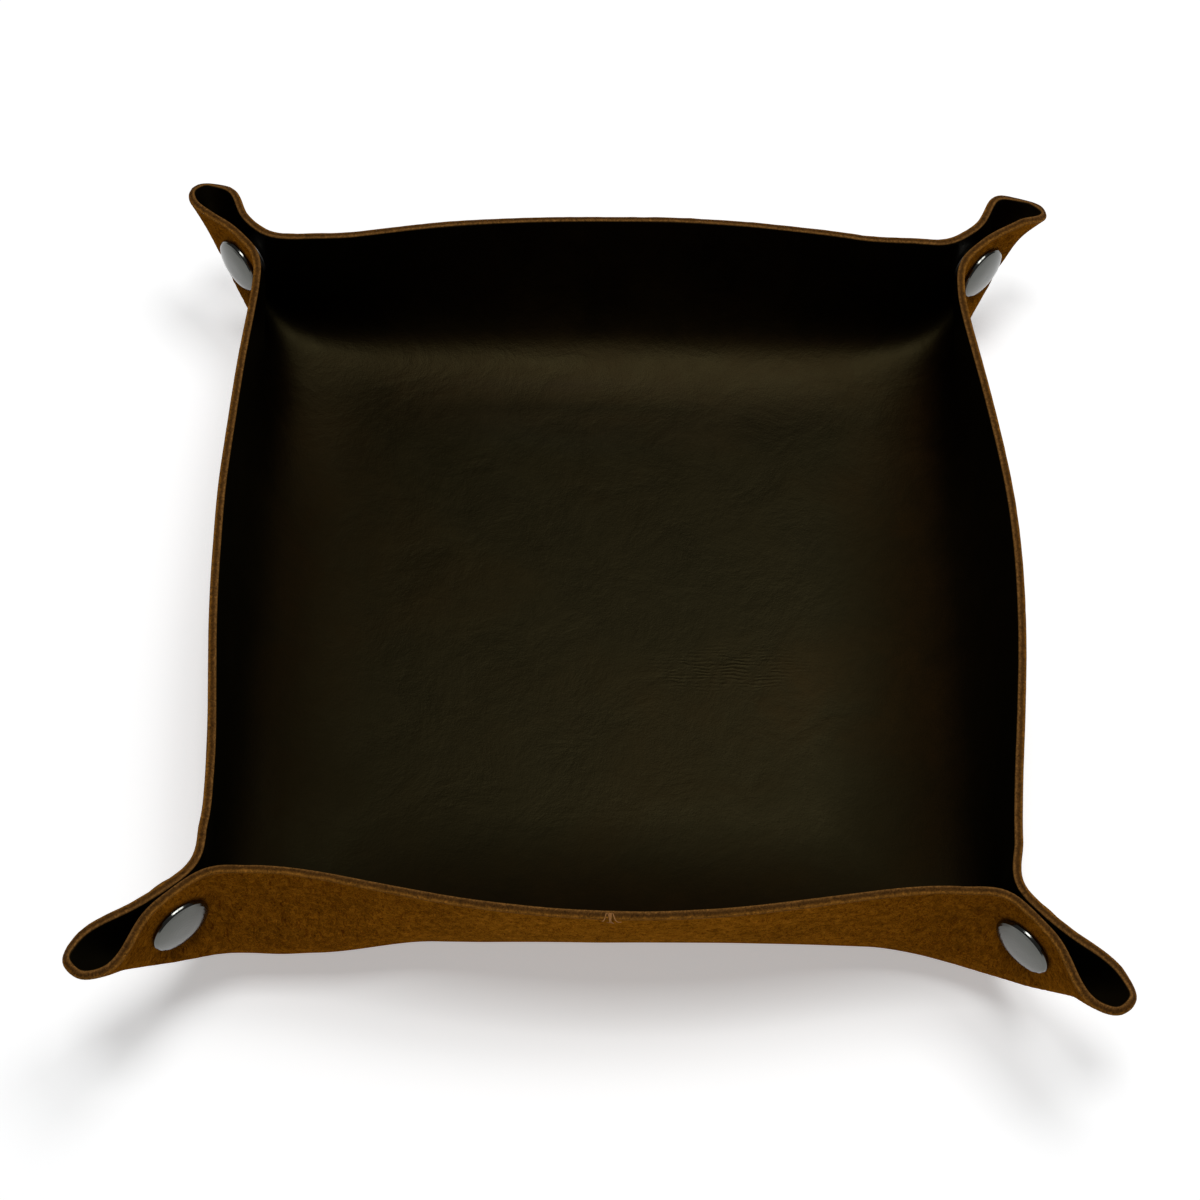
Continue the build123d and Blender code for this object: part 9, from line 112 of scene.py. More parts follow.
    ((10264, -11196, 4368), (10288, -11161, 3974), (10321, -11129, 3579), (10436, -11062, 3176), (10661, -10800, 2843), (10670, -10270, 2787), (10219, -10090, 2845), (9975, -9809, 2817), (9711, -9510, 2830), (9363, -9261, 2821), (9316, -8818, 2847), (9262, -8424, 2860), (9255, -8019, 2871), (9266, -7619, 2877), (9293, -7221, 2880), (9325, -6825, 2880), (9358, -6430, 2878), (9390, -6034, 2875), (9418, -5639, 2871), (9444, -5243, 2866), (9469, -4847, 2860), (9491, -4451, 2853), (9513, -4055, 2846), (9534, -3658, 2838), (9553, -3262, 2830), (9570, -2865, 2822), (9585, -2468, 2813), (9597, -2070, 2805), (9606, -1673, 2797), (9613, -1275, 2789), (9617, -877, 2782), (9619, -480, 2775), (9619, -82, 2767), (9617, 316, 2761), (9612, 714, 2754), (9604, 1111, 2748), (9593, 1509, 2742), (9580, 1906, 2736), (9565, 2303, 2730), (9548, 2701, 2724), (9529, 3097, 2718), (9509, 3494, 2711), (9489, 3891, 2704), (9468, 4287, 2697), (9445, 4683, 2689), (9421, 5079, 2680), (9395, 5474, 2671), (9366, 5870, 2661), (9334, 6265, 2650), (9299, 6660, 2637), (9262, 7055, 2623), (9229, 7452, 2606), (9207, 7850, 2588), (9203, 8256, 2567), (9248, 8651, 2546), (9288, 9097, 2513), (9639, 9343, 2530), (9905, 9641, 2521), (10154, 9914, 2558), (10613, 10087, 2504), (10600, 10617, 2573), (10380, 10868, 2906), (10251, 10939, 3301), (10190, 10975, 3694), (10138, 11017, 4086)),
    ((10518, -11516, 4349), (10579, -11447, 3965), (10709, -11329, 3583), (10889, -11043, 3288), (10919, -10588, 3181), (10653, -10221, 3206), (10267, -10100, 3214), (10018, -9764, 3227), (9741, -9482, 3228), (9426, -9222, 3235), (9315, -8829, 3242), (9267, -8431, 3255), (9262, -8027, 3264), (9278, -7625, 3270), (9308, -7226, 3274), (9344, -6828, 3275), (9381, -6431, 3273), (9417, -6035, 3270), (9452, -5638, 3266), (9484, -5242, 3260), (9514, -4845, 3254), (9543, -4448, 3246), (9570, -4052, 3238), (9596, -3655, 3230), (9619, -3258, 3221), (9641, -2860, 3212), (9659, -2463, 3203), (9675, -2065, 3194), (9687, -1667, 3185), (9695, -1269, 3177), (9701, -871, 3170), (9703, -473, 3162), (9703, -75, 3155), (9700, 323, 3149), (9692, 722, 3142), (9681, 1120, 3137), (9667, 1517, 3131), (9650, 1915, 3126), (9629, 2313, 3121), (9605, 2710, 3116), (9580, 3107, 3111), (9552, 3504, 3106), (9524, 3901, 3100), (9494, 4297, 3093), (9463, 4694, 3085), (9431, 5090, 3077), (9396, 5486, 3068), (9359, 5882, 3057), (9319, 6278, 3045), (9276, 6674, 3032), (9235, 7070, 3016), (9199, 7469, 2998), (9176, 7869, 2979), (9177, 8273, 2959), (9223, 8672, 2939), (9335, 9067, 2930), (9649, 9329, 2931), (9928, 9605, 2934), (10191, 9928, 2928), (10584, 10025, 2922), (10855, 10394, 2906), (10823, 10837, 3038), (10649, 11113, 3334), (10499, 11241, 3702), (10405, 11325, 4079)),
    ((10846, -11740, 4361), (10978, -11605, 3989), (11131, -11300, 3720), (11174, -10876, 3589), (10987, -10482, 3583), (10657, -10241, 3600), (10252, -10126, 3614), (10019, -9778, 3618), (9746, -9494, 3624), (9411, -9243, 3636), (9326, -8828, 3641), (9279, -8434, 3649), (9278, -8030, 3657), (9297, -7629, 3664), (9328, -7229, 3668), (9365, -6830, 3669), (9404, -6432, 3668), (9443, -6035, 3665), (9481, -5637, 3661), (9517, -5240, 3655), (9552, -4843, 3648), (9586, -4445, 3640), (9619, -4048, 3632), (9650, -3651, 3623), (9678, -3253, 3613), (9703, -2855, 3603), (9726, -2458, 3594), (9744, -2060, 3584), (9759, -1661, 3575), (9770, -1263, 3567), (9776, -865, 3559), (9779, -466, 3551), (9779, -68, 3544), (9775, 331, 3538), (9766, 729, 3532), (9752, 1128, 3527), (9734, 1526, 3522), (9712, 1924, 3518), (9685, 2321, 3514), (9655, 2719, 3510), (9622, 3116, 3505), (9587, 3513, 3501), (9551, 3910, 3495), (9513, 4307, 3489), (9474, 4704, 3482), (9432, 5100, 3473), (9389, 5497, 3464), (9345, 5893, 3453), (9298, 6290, 3440), (9250, 6687, 3426), (9206, 7084, 3409), (9169, 7483, 3391), (9148, 7883, 3371), (9153, 8287, 3352), (9209, 8681, 3337), (9311, 9092, 3331), (9648, 9334, 3326), (9927, 9610, 3325), (10169, 9954, 3329), (10584, 10033, 3316), (10924, 10264, 3301), (11101, 10661, 3333), (11050, 11061, 3497), (10908, 11358, 3765), (10757, 11516, 4119)),
    ((11269, -11876, 4385), (11391, -11578, 4141), (11433, -11161, 3997), (11290, -10757, 3973), (11016, -10454, 3979), (10673, -10246, 3993), (10321, -10062, 4007), (10009, -9806, 4014), (9745, -9510, 4021), (9483, -9206, 4033), (9349, -8828, 4038), (9302, -8431, 4045), (9300, -8031, 4052), (9320, -7631, 4058), (9350, -7232, 4062), (9387, -6832, 4063), (9426, -6433, 4063), (9468, -6035, 4060), (9509, -5636, 4056), (9549, -5238, 4050), (9589, -4840, 4043), (9627, -4442, 4034), (9664, -4044, 4025), (9700, -3646, 4016), (9733, -3248, 4005), (9762, -2850, 3995), (9788, -2452, 3985), (9809, -2054, 3975), (9827, -1655, 3966), (9839, -1257, 3957), (9847, -858, 3949), (9851, -459, 3941), (9851, -60, 3934), (9846, 338, 3928), (9836, 737, 3922), (9819, 1136, 3917), (9798, 1534, 3913), (9770, 1932, 3910), (9738, 2330, 3906), (9701, 2728, 3903), (9660, 3125, 3900), (9618, 3522, 3895), (9574, 3919, 3890), (9528, 4316, 3884), (9480, 4713, 3877), (9431, 5110, 3869), (9380, 5507, 3860), (9328, 5904, 3848), (9274, 6301, 3835), (9222, 6699, 3820), (9175, 7097, 3802), (9138, 7495, 3784), (9121, 7895, 3764), (9137, 8295, 3747), (9206, 8688, 3735), (9365, 9058, 3729), (9651, 9338, 3724), (9917, 9631, 3722), (10241, 9870, 3722), (10606, 10018, 3707), (10960, 10203, 3694), (11230, 10509, 3700), (11349, 10918, 3763), (11260, 11267, 3965), (11168, 11577, 4206)),
    ((11525, -11725, 4692), (11687, -11466, 4393), (11564, -11040, 4373), (11355, -10703, 4358), (11047, -10433, 4374), (10700, -10233, 4387), (10347, -10046, 4402), (10033, -9798, 4410), (9757, -9514, 4418), (9505, -9205, 4430), (9371, -8827, 4435), (9325, -8432, 4441), (9328, -8034, 4447), (9346, -7635, 4452), (9374, -7235, 4456), (9411, -6835, 4458), (9449, -6434, 4457), (9493, -6034, 4455), (9537, -5635, 4450), (9581, -5236, 4444), (9624, -4837, 4437), (9667, -4438, 4428), (9709, -4040, 4419), (9749, -3641, 4408), (9786, -3243, 4398), (9819, -2845, 4387), (9849, -2446, 4376), (9873, -2048, 4366), (9893, -1649, 4356), (9907, -1250, 4347), (9916, -851, 4339), (9921, -452, 4331), (9922, -53, 4324), (9917, 346, 4317), (9905, 745, 4312), (9887, 1144, 4308), (9861, 1542, 4304), (9830, 1940, 4301), (9789, 2338, 4299), (9746, 2736, 4296), (9697, 3133, 4294), (9647, 3530, 4290), (9596, 3928, 4285), (9542, 4325, 4280), (9486, 4722, 4273), (9428, 5120, 4265), (9368, 5517, 4255), (9310, 5915, 4243), (9250, 6313, 4229), (9192, 6711, 4213), (9144, 7110, 4196), (9102, 7509, 4177), (9094, 7910, 4159), (9120, 8308, 4143), (9200, 8697, 4132), (9370, 9061, 4127), (9649, 9345, 4121), (9938, 9615, 4120), (10269, 9838, 4116), (10641, 9981, 4101), (11003, 10150, 4086), (11314, 10414, 4077), (11509, 10764, 4115), (11570, 11174, 4205), (11434, 11439, 4493)),
)

HALF = 127.0           # half the flat sheet, mm
THICK = 2.0            # leather
CORNER_R = 6.0         # rounding of the sheet's own corners
FOLD_Y, CORNER_Y, FOLD_X = 88.0, 92.0, 76.0
EAR_IN, EAR_OUT = 82.0, 90.5
LIP_IN, LIP_OUT = 87.0, 119.5
HOLE = (97.0, 116.0)
SNAP_GAP = 2.7
SEAT_IN, SEAT_OUT = 7.9, 10.5
MM = 0.001

CORNERS = {"fl": ("front", "left"), "fr": ("front", "right"), "br": ("right", "back"), "bl": ("left", "back")}
WALLS = {"back": (1, 0), "left": (0, 1), "front": (-1, 0), "right": (0, -1)}
ENDS = {
    ("back", 1): "br", ("back", -1): "bl", ("left", 1): "bl", ("left", -1): "fl",
    ("front", 1): "fl", ("front", -1): "fr", ("right", 1): "fr", ("right", -1): "br",
}

# ------------------------------------------------------------ sheet surface
C0 = np.array(NET, float) / 100.0
SIZE = len(NET)
STEP = 2 * HALF / (SIZE - 1)
C1 = np.concatenate([2 * C0[:, :1] - C0[:, 1:2], C0, 2 * C0[:, -1:] - C0[:, -2:-1]], 1)
GRID = np.concatenate([2 * C1[:1] - C1[1:2], C1, 2 * C1[-1:] - C1[-2:-1]], 0)


def weights(a):
    return np.stack([(1 - a) ** 3, 3 * a ** 3 - 6 * a ** 2 + 4, -3 * a ** 3 + 3 * a ** 2 + 3 * a + 1, a ** 3], -1) / 6


def net_point(u, v):
    """Mid-surface points of the folded sheet for flat positions, in mm."""
    x, y = (u + HALF) / STEP, (v + HALF) / STEP
    i, j = np.clip(x.astype(int), 0, SIZE - 2), np.clip(y.astype(int), 0, SIZE - 2)
    wa, wb = weights(x - i), weights(y - j)
    p = np.zeros(u.shape + (3,))
    for k in range(4):
        for m in range(4):
            p += (wa[..., k] * wb[..., m])[..., None] * GRID[i + k, j + m]
    return p


def unit(a):
    return a / np.linalg.norm(a, axis=-1, keepdims=True)


def frame_of(u, v, fn, d=0.05):
    tu, tv = fn(u + d, v) - fn(u - d, v), fn(u, v + d) - fn(u, v - d)
    return unit(tu), unit(tv), unit(np.cross(tu, tv))


def flat(wall, x, y):
    c, s = WALLS[wall]
    return c * x - s * y, s * x + c * y


SEATS, SNAPS = [], {}
for corner, pair in CORNERS.items():
    found = []
    for wall in pair:
        sx = 1 if ENDS[(wall, 1)] == corner else -1
        u, v = (np.array(float(k)) for k in flat(wall, sx * HOLE[0], HOLE[1]))
        found.append((u, v, net_point(u, v), frame_of(u, v, net_point)))
    (ua, va, pa, fa), (ub, vb, pb, fb) = found
    axis, mid = unit(fa[2] - fb[2]), (pa + pb) / 2
    SNAPS[corner] = (mid, axis)
    for (u, v, p, (tu, tv, _)), sign in ((found[0], -1), (found[1], 1)):
        nn = -sign * axis
        tu = unit(tu - (tu @ nn) * nn)
        tv2 = np.cross(nn, tu)
        if tv2 @ tv < 0:
            tv2 = -tv2
        h = (unit(tv - (tv @ nn) * nn) @ tu) / 2
        tu = unit(tu + h * tv2)
        SEATS.append((u, v, mid + axis * sign * (SNAP_GAP + THICK) / 2, tu, np.cross(nn, tu)))


def seated(u, v):
    """The same with flat seats under the snaps."""
    p = net_point(u, v)
    for u0, v0, c, tu, tv in SEATS:
        du, dv = u - u0, v - v0
        r = np.hypot(du, dv)
        k = np.clip((SEAT_OUT - r) / (SEAT_OUT - SEAT_IN), 0, 1)
        k = k ** 3 * (k * (6 * k - 15) + 10)
        q = c + tu * du[..., None] + tv * dv[..., None]
        p = p + (q - p) * k[..., None]
    return p


def rise(a, b, x):
    k = np.clip((x - a) / (b - a), 0, 1)
    return k * k * (3 - 2 * k)


# how each corner has settled, in mm: the loop's drop, the crease at its end, the
# heel under it, then how far the plies are pinched and the loop drawn in
SETTLED = {
    (-1, -1): ((-0.7, -0.6, -3.4), (0.0, 0.0, 0.0), (0.0, -2.2, -1.9), 1.0, 0.06),
    (1, -1): ((0.2, -0.6, -3.8), (0.0, 0.0, 0.0), (0.3, -1.2, -3.0), 0.9, 0.08),
    (-1, 1): ((0.6, 0.4, 0.2), (0.2, -2.4, -3.0), (0.0, 0.0, 0.0), 0.12, 0.20),
    (1, 1): ((-0.4, 0.8, 1.0), (1.0, -4.2, -5.8), (0.0, 0.0, 0.0), 0.16, 0.12),
}


def sheet(u, v):
    """The leather as it lies: plies pinched together above the snaps, loops drawn in."""
    su, sv = np.where(u < 0, -1.0, 1.0), np.where(v < 0, -1.0, 1.0)
    x, y = np.minimum(np.abs(u), np.abs(v)), np.maximum(np.abs(u), np.abs(v))
    p = seated(u, v)
    q = seated(su * np.abs(v), sv * np.abs(u))
    free = rise(8.0, 10.9, np.hypot(x - HOLE[0], y - HOLE[1]))
    middle, e = (p + q) / 2, q - p
    gap = np.linalg.norm(e, axis=-1)
    near = np.minimum(gap, THICK + 0.25)
    close = np.where(gap > 0, 1 - near / np.maximum(gap, 1e-6), 0)
    lift = rise(1.0, 7.0, p[..., 2])
    loop_w, tip_w, crease_w = rise(98, 118, x), rise(101, 120, x) * free, rise(109, 125, x) * free
    pinch = rise(79, 93, x) * (1 - rise(94, 118, x)) * rise(104, 119, y) * free
    heel_w = np.where(su > 0, rise(62, 92, x), rise(38, 66, x) * (1 - 0.55 * rise(72, 92, x))) * (1 - rise(103, 117, y)) * lift * free
    shut, move = np.zeros_like(gap), np.zeros_like(p)
    for (a, b), (tip, crease, heel, press, k) in SETTLED.items():
        on = (su == a) & (sv == b)
        shut = np.where(on, close * pinch * press + k * loop_w * free, shut)
        # the back rim stands a little higher beside its corners
        neck = rise(66, 86, x) * (1 - rise(90, 104, x)) * rise(98, 122, y) * free * ((v > np.abs(u)) & (v > 0))
        here = neck[..., None] * np.array((0.0, 0.5, 1.7)) + tip_w[..., None] * np.array(tip) + crease_w[..., None] * np.array(crease) + heel_w[..., None] * np.array(heel)
        move = np.where(on[..., None], here, move)
    p = np.where((gap > 1e-6)[..., None], middle - e / 2 * (1 - shut)[..., None], p)
    return p + move


def fold_line(x):
    k = np.maximum(0.0, np.abs(x) - FOLD_X) / (CORNER_Y - FOLD_X)
    return FOLD_Y + (CORNER_Y - FOLD_Y) * k * k


# ------------------------------------------------------------ whole mesh
N = 184                # cells along a side of the sheet
INSET = 0.5            # where the faces give way to the rounded cut edge
RIM = [(-0.26, 0.985), (-0.06, 0.87), (0.05, 0.62), (0.08, 0.25), (0.07, -0.15), (0.03, -0.55), (-0.05, -0.82), (-0.22, -0.97)]

h1, r1 = HALF - INSET, CORNER_R - INSET
line = np.linspace(-1, 1, N + 1)
# closer rows at the rim, where the edge is cut
line = np.sign(line) * (1 - (1 - np.abs(line)) ** 1.12 * 1.0)
A, B = np.meshgrid(line * h1, line * h1, indexing="ij")
ca, cb = np.clip((np.abs(A) - (h1 - r1)) / r1, 0, 1), np.clip((np.abs(B) - (h1 - r1)) / r1, 0, 1)
in_corner = (ca > 0) & (cb > 0)
U = np.where(in_corner, np.sign(A) * (h1 - r1 + r1 * ca * np.sqrt(1 - cb ** 2 / 2)), A)
V = np.where(in_corner, np.sign(B) * (h1 - r1 + r1 * cb * np.sqrt(1 - ca ** 2 / 2)), B)

M = N + 1
loop = ([(i, 0) for i in range(N)] + [(N, j) for j in range(N)] + [(i, N) for i in range(N, 0, -1)] + [(0, j) for j in range(N, 0, -1)])
loop = np.array(loop)
lu, lv = U[loop[:, 0], loop[:, 1]], V[loop[:, 0], loop[:, 1]]
cu, cv = np.clip(lu, -(h1 - r1), h1 - r1), np.clip(lv, -(h1 - r1), h1 - r1)
out = np.stack([lu - cu, lv - cv], -1)
out = out / np.maximum(np.linalg.norm(out, axis=1, keepdims=True), 1e-9)
L = len(loop)

# a hand-cut edge wanders a little, and its fibres stand out more at the back
rng = np.random.default_rng(7)


def wander(n, parts, amount):
    t = np.arange(n) / n * 2 * np.pi
    s = sum(rng.normal() * np.sin(k * t + rng.uniform(0, 6.28)) / (1 + 0.02 * k) for k in parts)
    return amount * s / max(1e-9, np.abs(s).max())


cut = wander(L, rng.integers(6, 60, 24), 0.16)
fuzz = wander(L, rng.integers(120, 360, 40), 0.10)

pts, uvs, hh = [], [], []
NRM = frame_of(U, V, sheet)[2]
MID = sheet(U, V)
for side in (1, -1):
    pts.append((MID + NRM * side * THICK / 2).reshape(-1, 3))
    uvs.append(np.stack([U, V], -1).reshape(-1, 2))
    hh.append(np.full(M * M, float(side)))
for o, h in RIM:
    share = (1 - h) / 2
    extra = INSET + o + cut * (1 - 0.0 * share) + fuzz * share ** 2
    uu, vv = lu + out[:, 0] * extra, lv + out[:, 1] * extra
    n = frame_of(uu, vv, sheet)[2]
    pts.append(sheet(uu, vv) + n * h * THICK / 2)
    uvs.append(np.stack([uu, vv], -1))
    hh.append(np.full(L, h))
PTS, UVS, HH = np.concatenate(pts), np.concatenate(uvs), np.concatenate(hh)
TOP = np.arange(M * M).reshape(M, M)
LOW = TOP + M * M
ROWS = [TOP[loop[:, 0], loop[:, 1]]] + [2 * M * M + k * L + np.arange(L) for k in range(len(RIM))] + [LOW[loop[:, 0], loop[:, 1]]]

q_top = np.stack([TOP[:-1, :-1], TOP[1:, :-1], TOP[1:, 1:], TOP[:-1, 1:]], -1)
q_low = np.stack([LOW[:-1, :-1], LOW[:-1, 1:], LOW[1:, 1:], LOW[1:, :-1]], -1)
nxt = np.roll(np.arange(L), -1)
q_rim = np.stack([np.stack([ROWS[k], ROWS[k + 1], ROWS[k + 1][nxt], ROWS[k][nxt]], -1) for k in range(len(ROWS) - 1)])
rim_cell = np.array([(min(a, c), min(b, d)) for (a, b), (c, d) in zip(loop, loop[nxt])])
rim_cell = np.minimum(rim_cell, N - 1)


def vertex_normals(points, quads):
    q = quads.reshape(-1, 4)
    n = np.cross(points[q[:, 2]] - points[q[:, 0]], points[q[:, 3]] - points[q[:, 1]])
    total = np.zeros_like(points)
    for k in range(4):
        np.add.at(total, q[:, k], n)
    return unit(total + 1e-12)


VN = vertex_normals(PTS, np.concatenate([q_top.reshape(-1, 4), q_low.reshape(-1, 4), q_rim.reshape(-1, 4)]))

# ------------------------------------------------------------ which piece a cell is in
uc, vc = (U[:-1, :-1] + U[1:, 1:]) / 2, (V[:-1, :-1] + V[1:, 1:]) / 2
LABEL = np.zeros((N, N), int)
PIECES = [("leather_base", "base", None, ["base_panel"], None)]


def piece(name, body, other=None, stands_for=(), ends=None):
    PIECES.append((name, body, other, list(stands_for), ends))
    return len(PIECES) - 1


def across(wall, sx, line_x, y, ux, uy, reach):
    """Start and end of a bend: two points of the sheet on either side of a fold."""
    got = []
    for k in (-1, 1):
        u, v = flat(wall, sx * (line_x + k * reach * ux), y + k * reach * uy)
        got.append(sheet(np.array(float(u)), np.array(float(v))))
    return got


BAND = 4.2             # half-width of a fold's bending strip, on the flat sheet
for wall, (c, s) in WALLS.items():
    x, y = c * uc + s * vc, -s * uc + c * vc
    sector = y >= np.abs(x)
    ax = np.abs(x)
    fy = fold_line(np.clip(x, -CORNER_Y, CORNER_Y))
    d1 = y - fy
    t = np.clip((y - fold_line(np.full_like(x, EAR_IN))) / (HALF - fold_line(np.array(EAR_IN))), 0, 1)
    x2, x3 = EAR_IN + (EAR_OUT - EAR_IN) * t, LIP_IN + (LIP_OUT - LIP_IN) * t
    d2 = (ax - x2) * 0.98
    d3 = (ax - x3) * 0.77
    room = 0.42 * (x3 - x2)
    b2, b3 = np.minimum(BAND, room), np.minimum(BAND, room * 0.77)
    up = sector & (d1 > 0)
    LABEL[up & (d2 <= 0)] = piece("leather_wall_" + wall, "wall_" + wall, None, ["wall_" + wall])
    for sx in (1, -1):
        corner = ENDS[(wall, sx)]
        mine = up & (x * sx > 0)
        key = corner + "_" + wall
        ear, lip = "ear_" + key, "lip_" + key
        LABEL[mine & (d2 > 0) & (d3 <= 0)] = piece("leather_" + ear, ear, None, [ear])
        for k, (t0, t1) in enumerate(((-1, 0.34), (0.34, 0.67), (0.67, 2))):
            tm = (max(t0, 0.1) + min(t1, 1)) / 2
            ym = float(fold_line(np.array(EAR_IN))) + (HALF - float(fold_line(np.array(EAR_IN)))) * tm
            part = mine & (t > t0) & (t <= t1)
            w2 = 0.55 * float(min(BAND, 0.42 * ((LIP_IN - EAR_IN) + (LIP_OUT - LIP_IN - EAR_OUT + EAR_IN) * tm)))
            e2 = across(wall, sx, EAR_IN + (EAR_OUT - EAR_IN) * tm, ym, 0.98, -0.2, w2)
            e3 = across(wall, sx, LIP_IN + (LIP_OUT - LIP_IN) * tm, ym, 0.77, -0.64, w2)
            LABEL[part & (np.abs(d2) < b2)] = piece("leather_bend_%s_%d" % (key, k + 1), "wall_" + wall, ear, (), e2)
            LABEL[part & (d3 > -b3)] = piece("leather_curl_%s_%d" % (key, k + 1), ear, lip, [lip] if k == 2 else (), e3)
    near = (y > 60) & (np.abs(d1) < BAND) & (ax < EAR_IN - 1.5)
    for k, (x0, x1) in enumerate(((-90, -66), (-66, 66), (66, 90))):
        xm = float(np.clip((x0 + x1) / 2, -72, 72))
        got = []
        for m in (-1, 1):
            u, v = flat(wall, xm, FOLD_Y + m * 0.6 * BAND)
            got.append(sheet(np.array(float(u)), np.array(float(v))))
        LABEL[near & (x > x0) & (x <= x1)] = piece("leather_fold_%s_%d" % (wall, k + 1), "base", "wall_" + wall, (), got)
    # the heel of each ear, where base, wall and ear meet
    for sx in (1, -1):
        corner = ENDS[(wall, sx)]
        key = corner + "_" + wall
        at = sector & (x * sx > 0) & (ax >= EAR_IN - 1.5) & (np.abs(d1) < BAND) & (y > 60) & ((ax < 87.0) | (d1 < 0))
        got = []
        for m in (-1, 1):
            u, v = flat(wall, sx * 83.0, float(fold_line(np.array(83.0))) + m * 0.7 * BAND)
            got.append(sheet(np.array(float(u)), np.array(float(v))))
        LABEL[at] = piece("leather_heel_" + key, "base", "wall_" + wall, (), got)

# ------------------------------------------------------------ materials


def nodes_of(name):
    m = bpy.data.materials.new(name)
    m.use_nodes = True
    nt = m.node_tree
    return m, nt, nt.nodes["Principled BSDF"]


def node(nt, kind, **values):
    n = nt.nodes.new(kind)
    for k, v in values.items():
        if k in n.inputs:
            n.inputs[k].default_value = v
        else:
            setattr(n, k, v)
    return n


def ramp(nt, source, stops):
    r = nt.nodes.new("ShaderNodeValToRGB")
    el = r.color_ramp.elements
    while len(el) > len(stops):
        el.remove(el[-1])
    while len(el) < len(stops):
        el.new(0.5)
    for e, (p, c) in zip(el, stops):
        e.position, e.color = p, (c[0], c[1], c[2], 1)
    nt.links.new(source, r.inputs["Fac"])
    return r


def grey(v):
    return (v, v, v)


def mixed(nt, a, b, fac, how="MIX"):
    m = nt.nodes.new("ShaderNodeMix")
    m.data_type, m.blend_type = "RGBA", how
    for sock, val in ((m.inputs[6], a), (m.inputs[7], b)):
        if hasattr(val, "links"):
            nt.links.new(val, sock)
        else:
            sock.default_value = (*val, 1)
    if hasattr(fac, "links"):
        nt.links.new(fac, m.inputs[0])
    else:
        m.inputs[0].default_value = fac
    return m.outputs[2]


def flat_coords(nt):
    """The flat pattern in centimetres from its middle, so a texture stays on the leather."""
    uv = node(nt, "ShaderNodeUVMap", uv_map="flat")
    mp = node(nt, "ShaderNodeMapping")
    mp.inputs["Scale"].default_value = (25.4, 25.4, 25.4)
    mp.inputs["Location"].default_value = (-12.7, -12.7, 0)
    nt.links.new(uv.outputs["UV"], mp.inputs["Vector"])
    return mp.outputs["Vector"]


def noise(nt, vec, scale, detail=4.0, rough=0.55, distortion=0.0):
    n = node(nt, "ShaderNodeTexNoise", Scale=scale, Detail=detail, Roughness=rough, Distortion=distortion)
    nt.links.new(vec, n.inputs["Vector"])
    return n.outputs["Fac"]


def patch(nt, vec, centre, radius, stops):
    """A soft oval patch on the leather: its mask, 1 inside and 0 outside."""
    mp = node(nt, "ShaderNodeMapping")
    mp.inputs["Scale"].default_value = (1 / radius[0], 1 / radius[1], 1)
    mp.inputs["Location"].default_value = (-centre[0] / radius[0], -centre[1] / radius[1], 0)
    nt.links.new(vec, mp.inputs["Vector"])
    ln = node(nt, "ShaderNodeVectorMath", operation="LENGTH")
    nt.links.new(mp.outputs["Vector"], ln.inputs[0])
    return ramp(nt, ln.outputs["Value"], [(stops[0], grey(1.0)), (stops[1], grey(0.0))]).outputs["Color"]


def product(nt, a, b, how="MULTIPLY"):
    m = node(nt, "ShaderNodeMath", operation=how)
    for sock, val in ((m.inputs[0], a), (m.inputs[1], b)):
        if hasattr(val, "links"):
            nt.links.new(val, sock)
        else:
            sock.default_value = val
    return m.outputs["Value"]


def bump(nt, height, strength, distance, normal=None):
    b = node(nt, "ShaderNodeBump", Strength=strength, Distance=distance)
    nt.links.new(height, b.inputs["Height"])
    if normal is not None:
        nt.links.new(normal, b.inputs["Normal"])
    return b.outputs["Normal"]


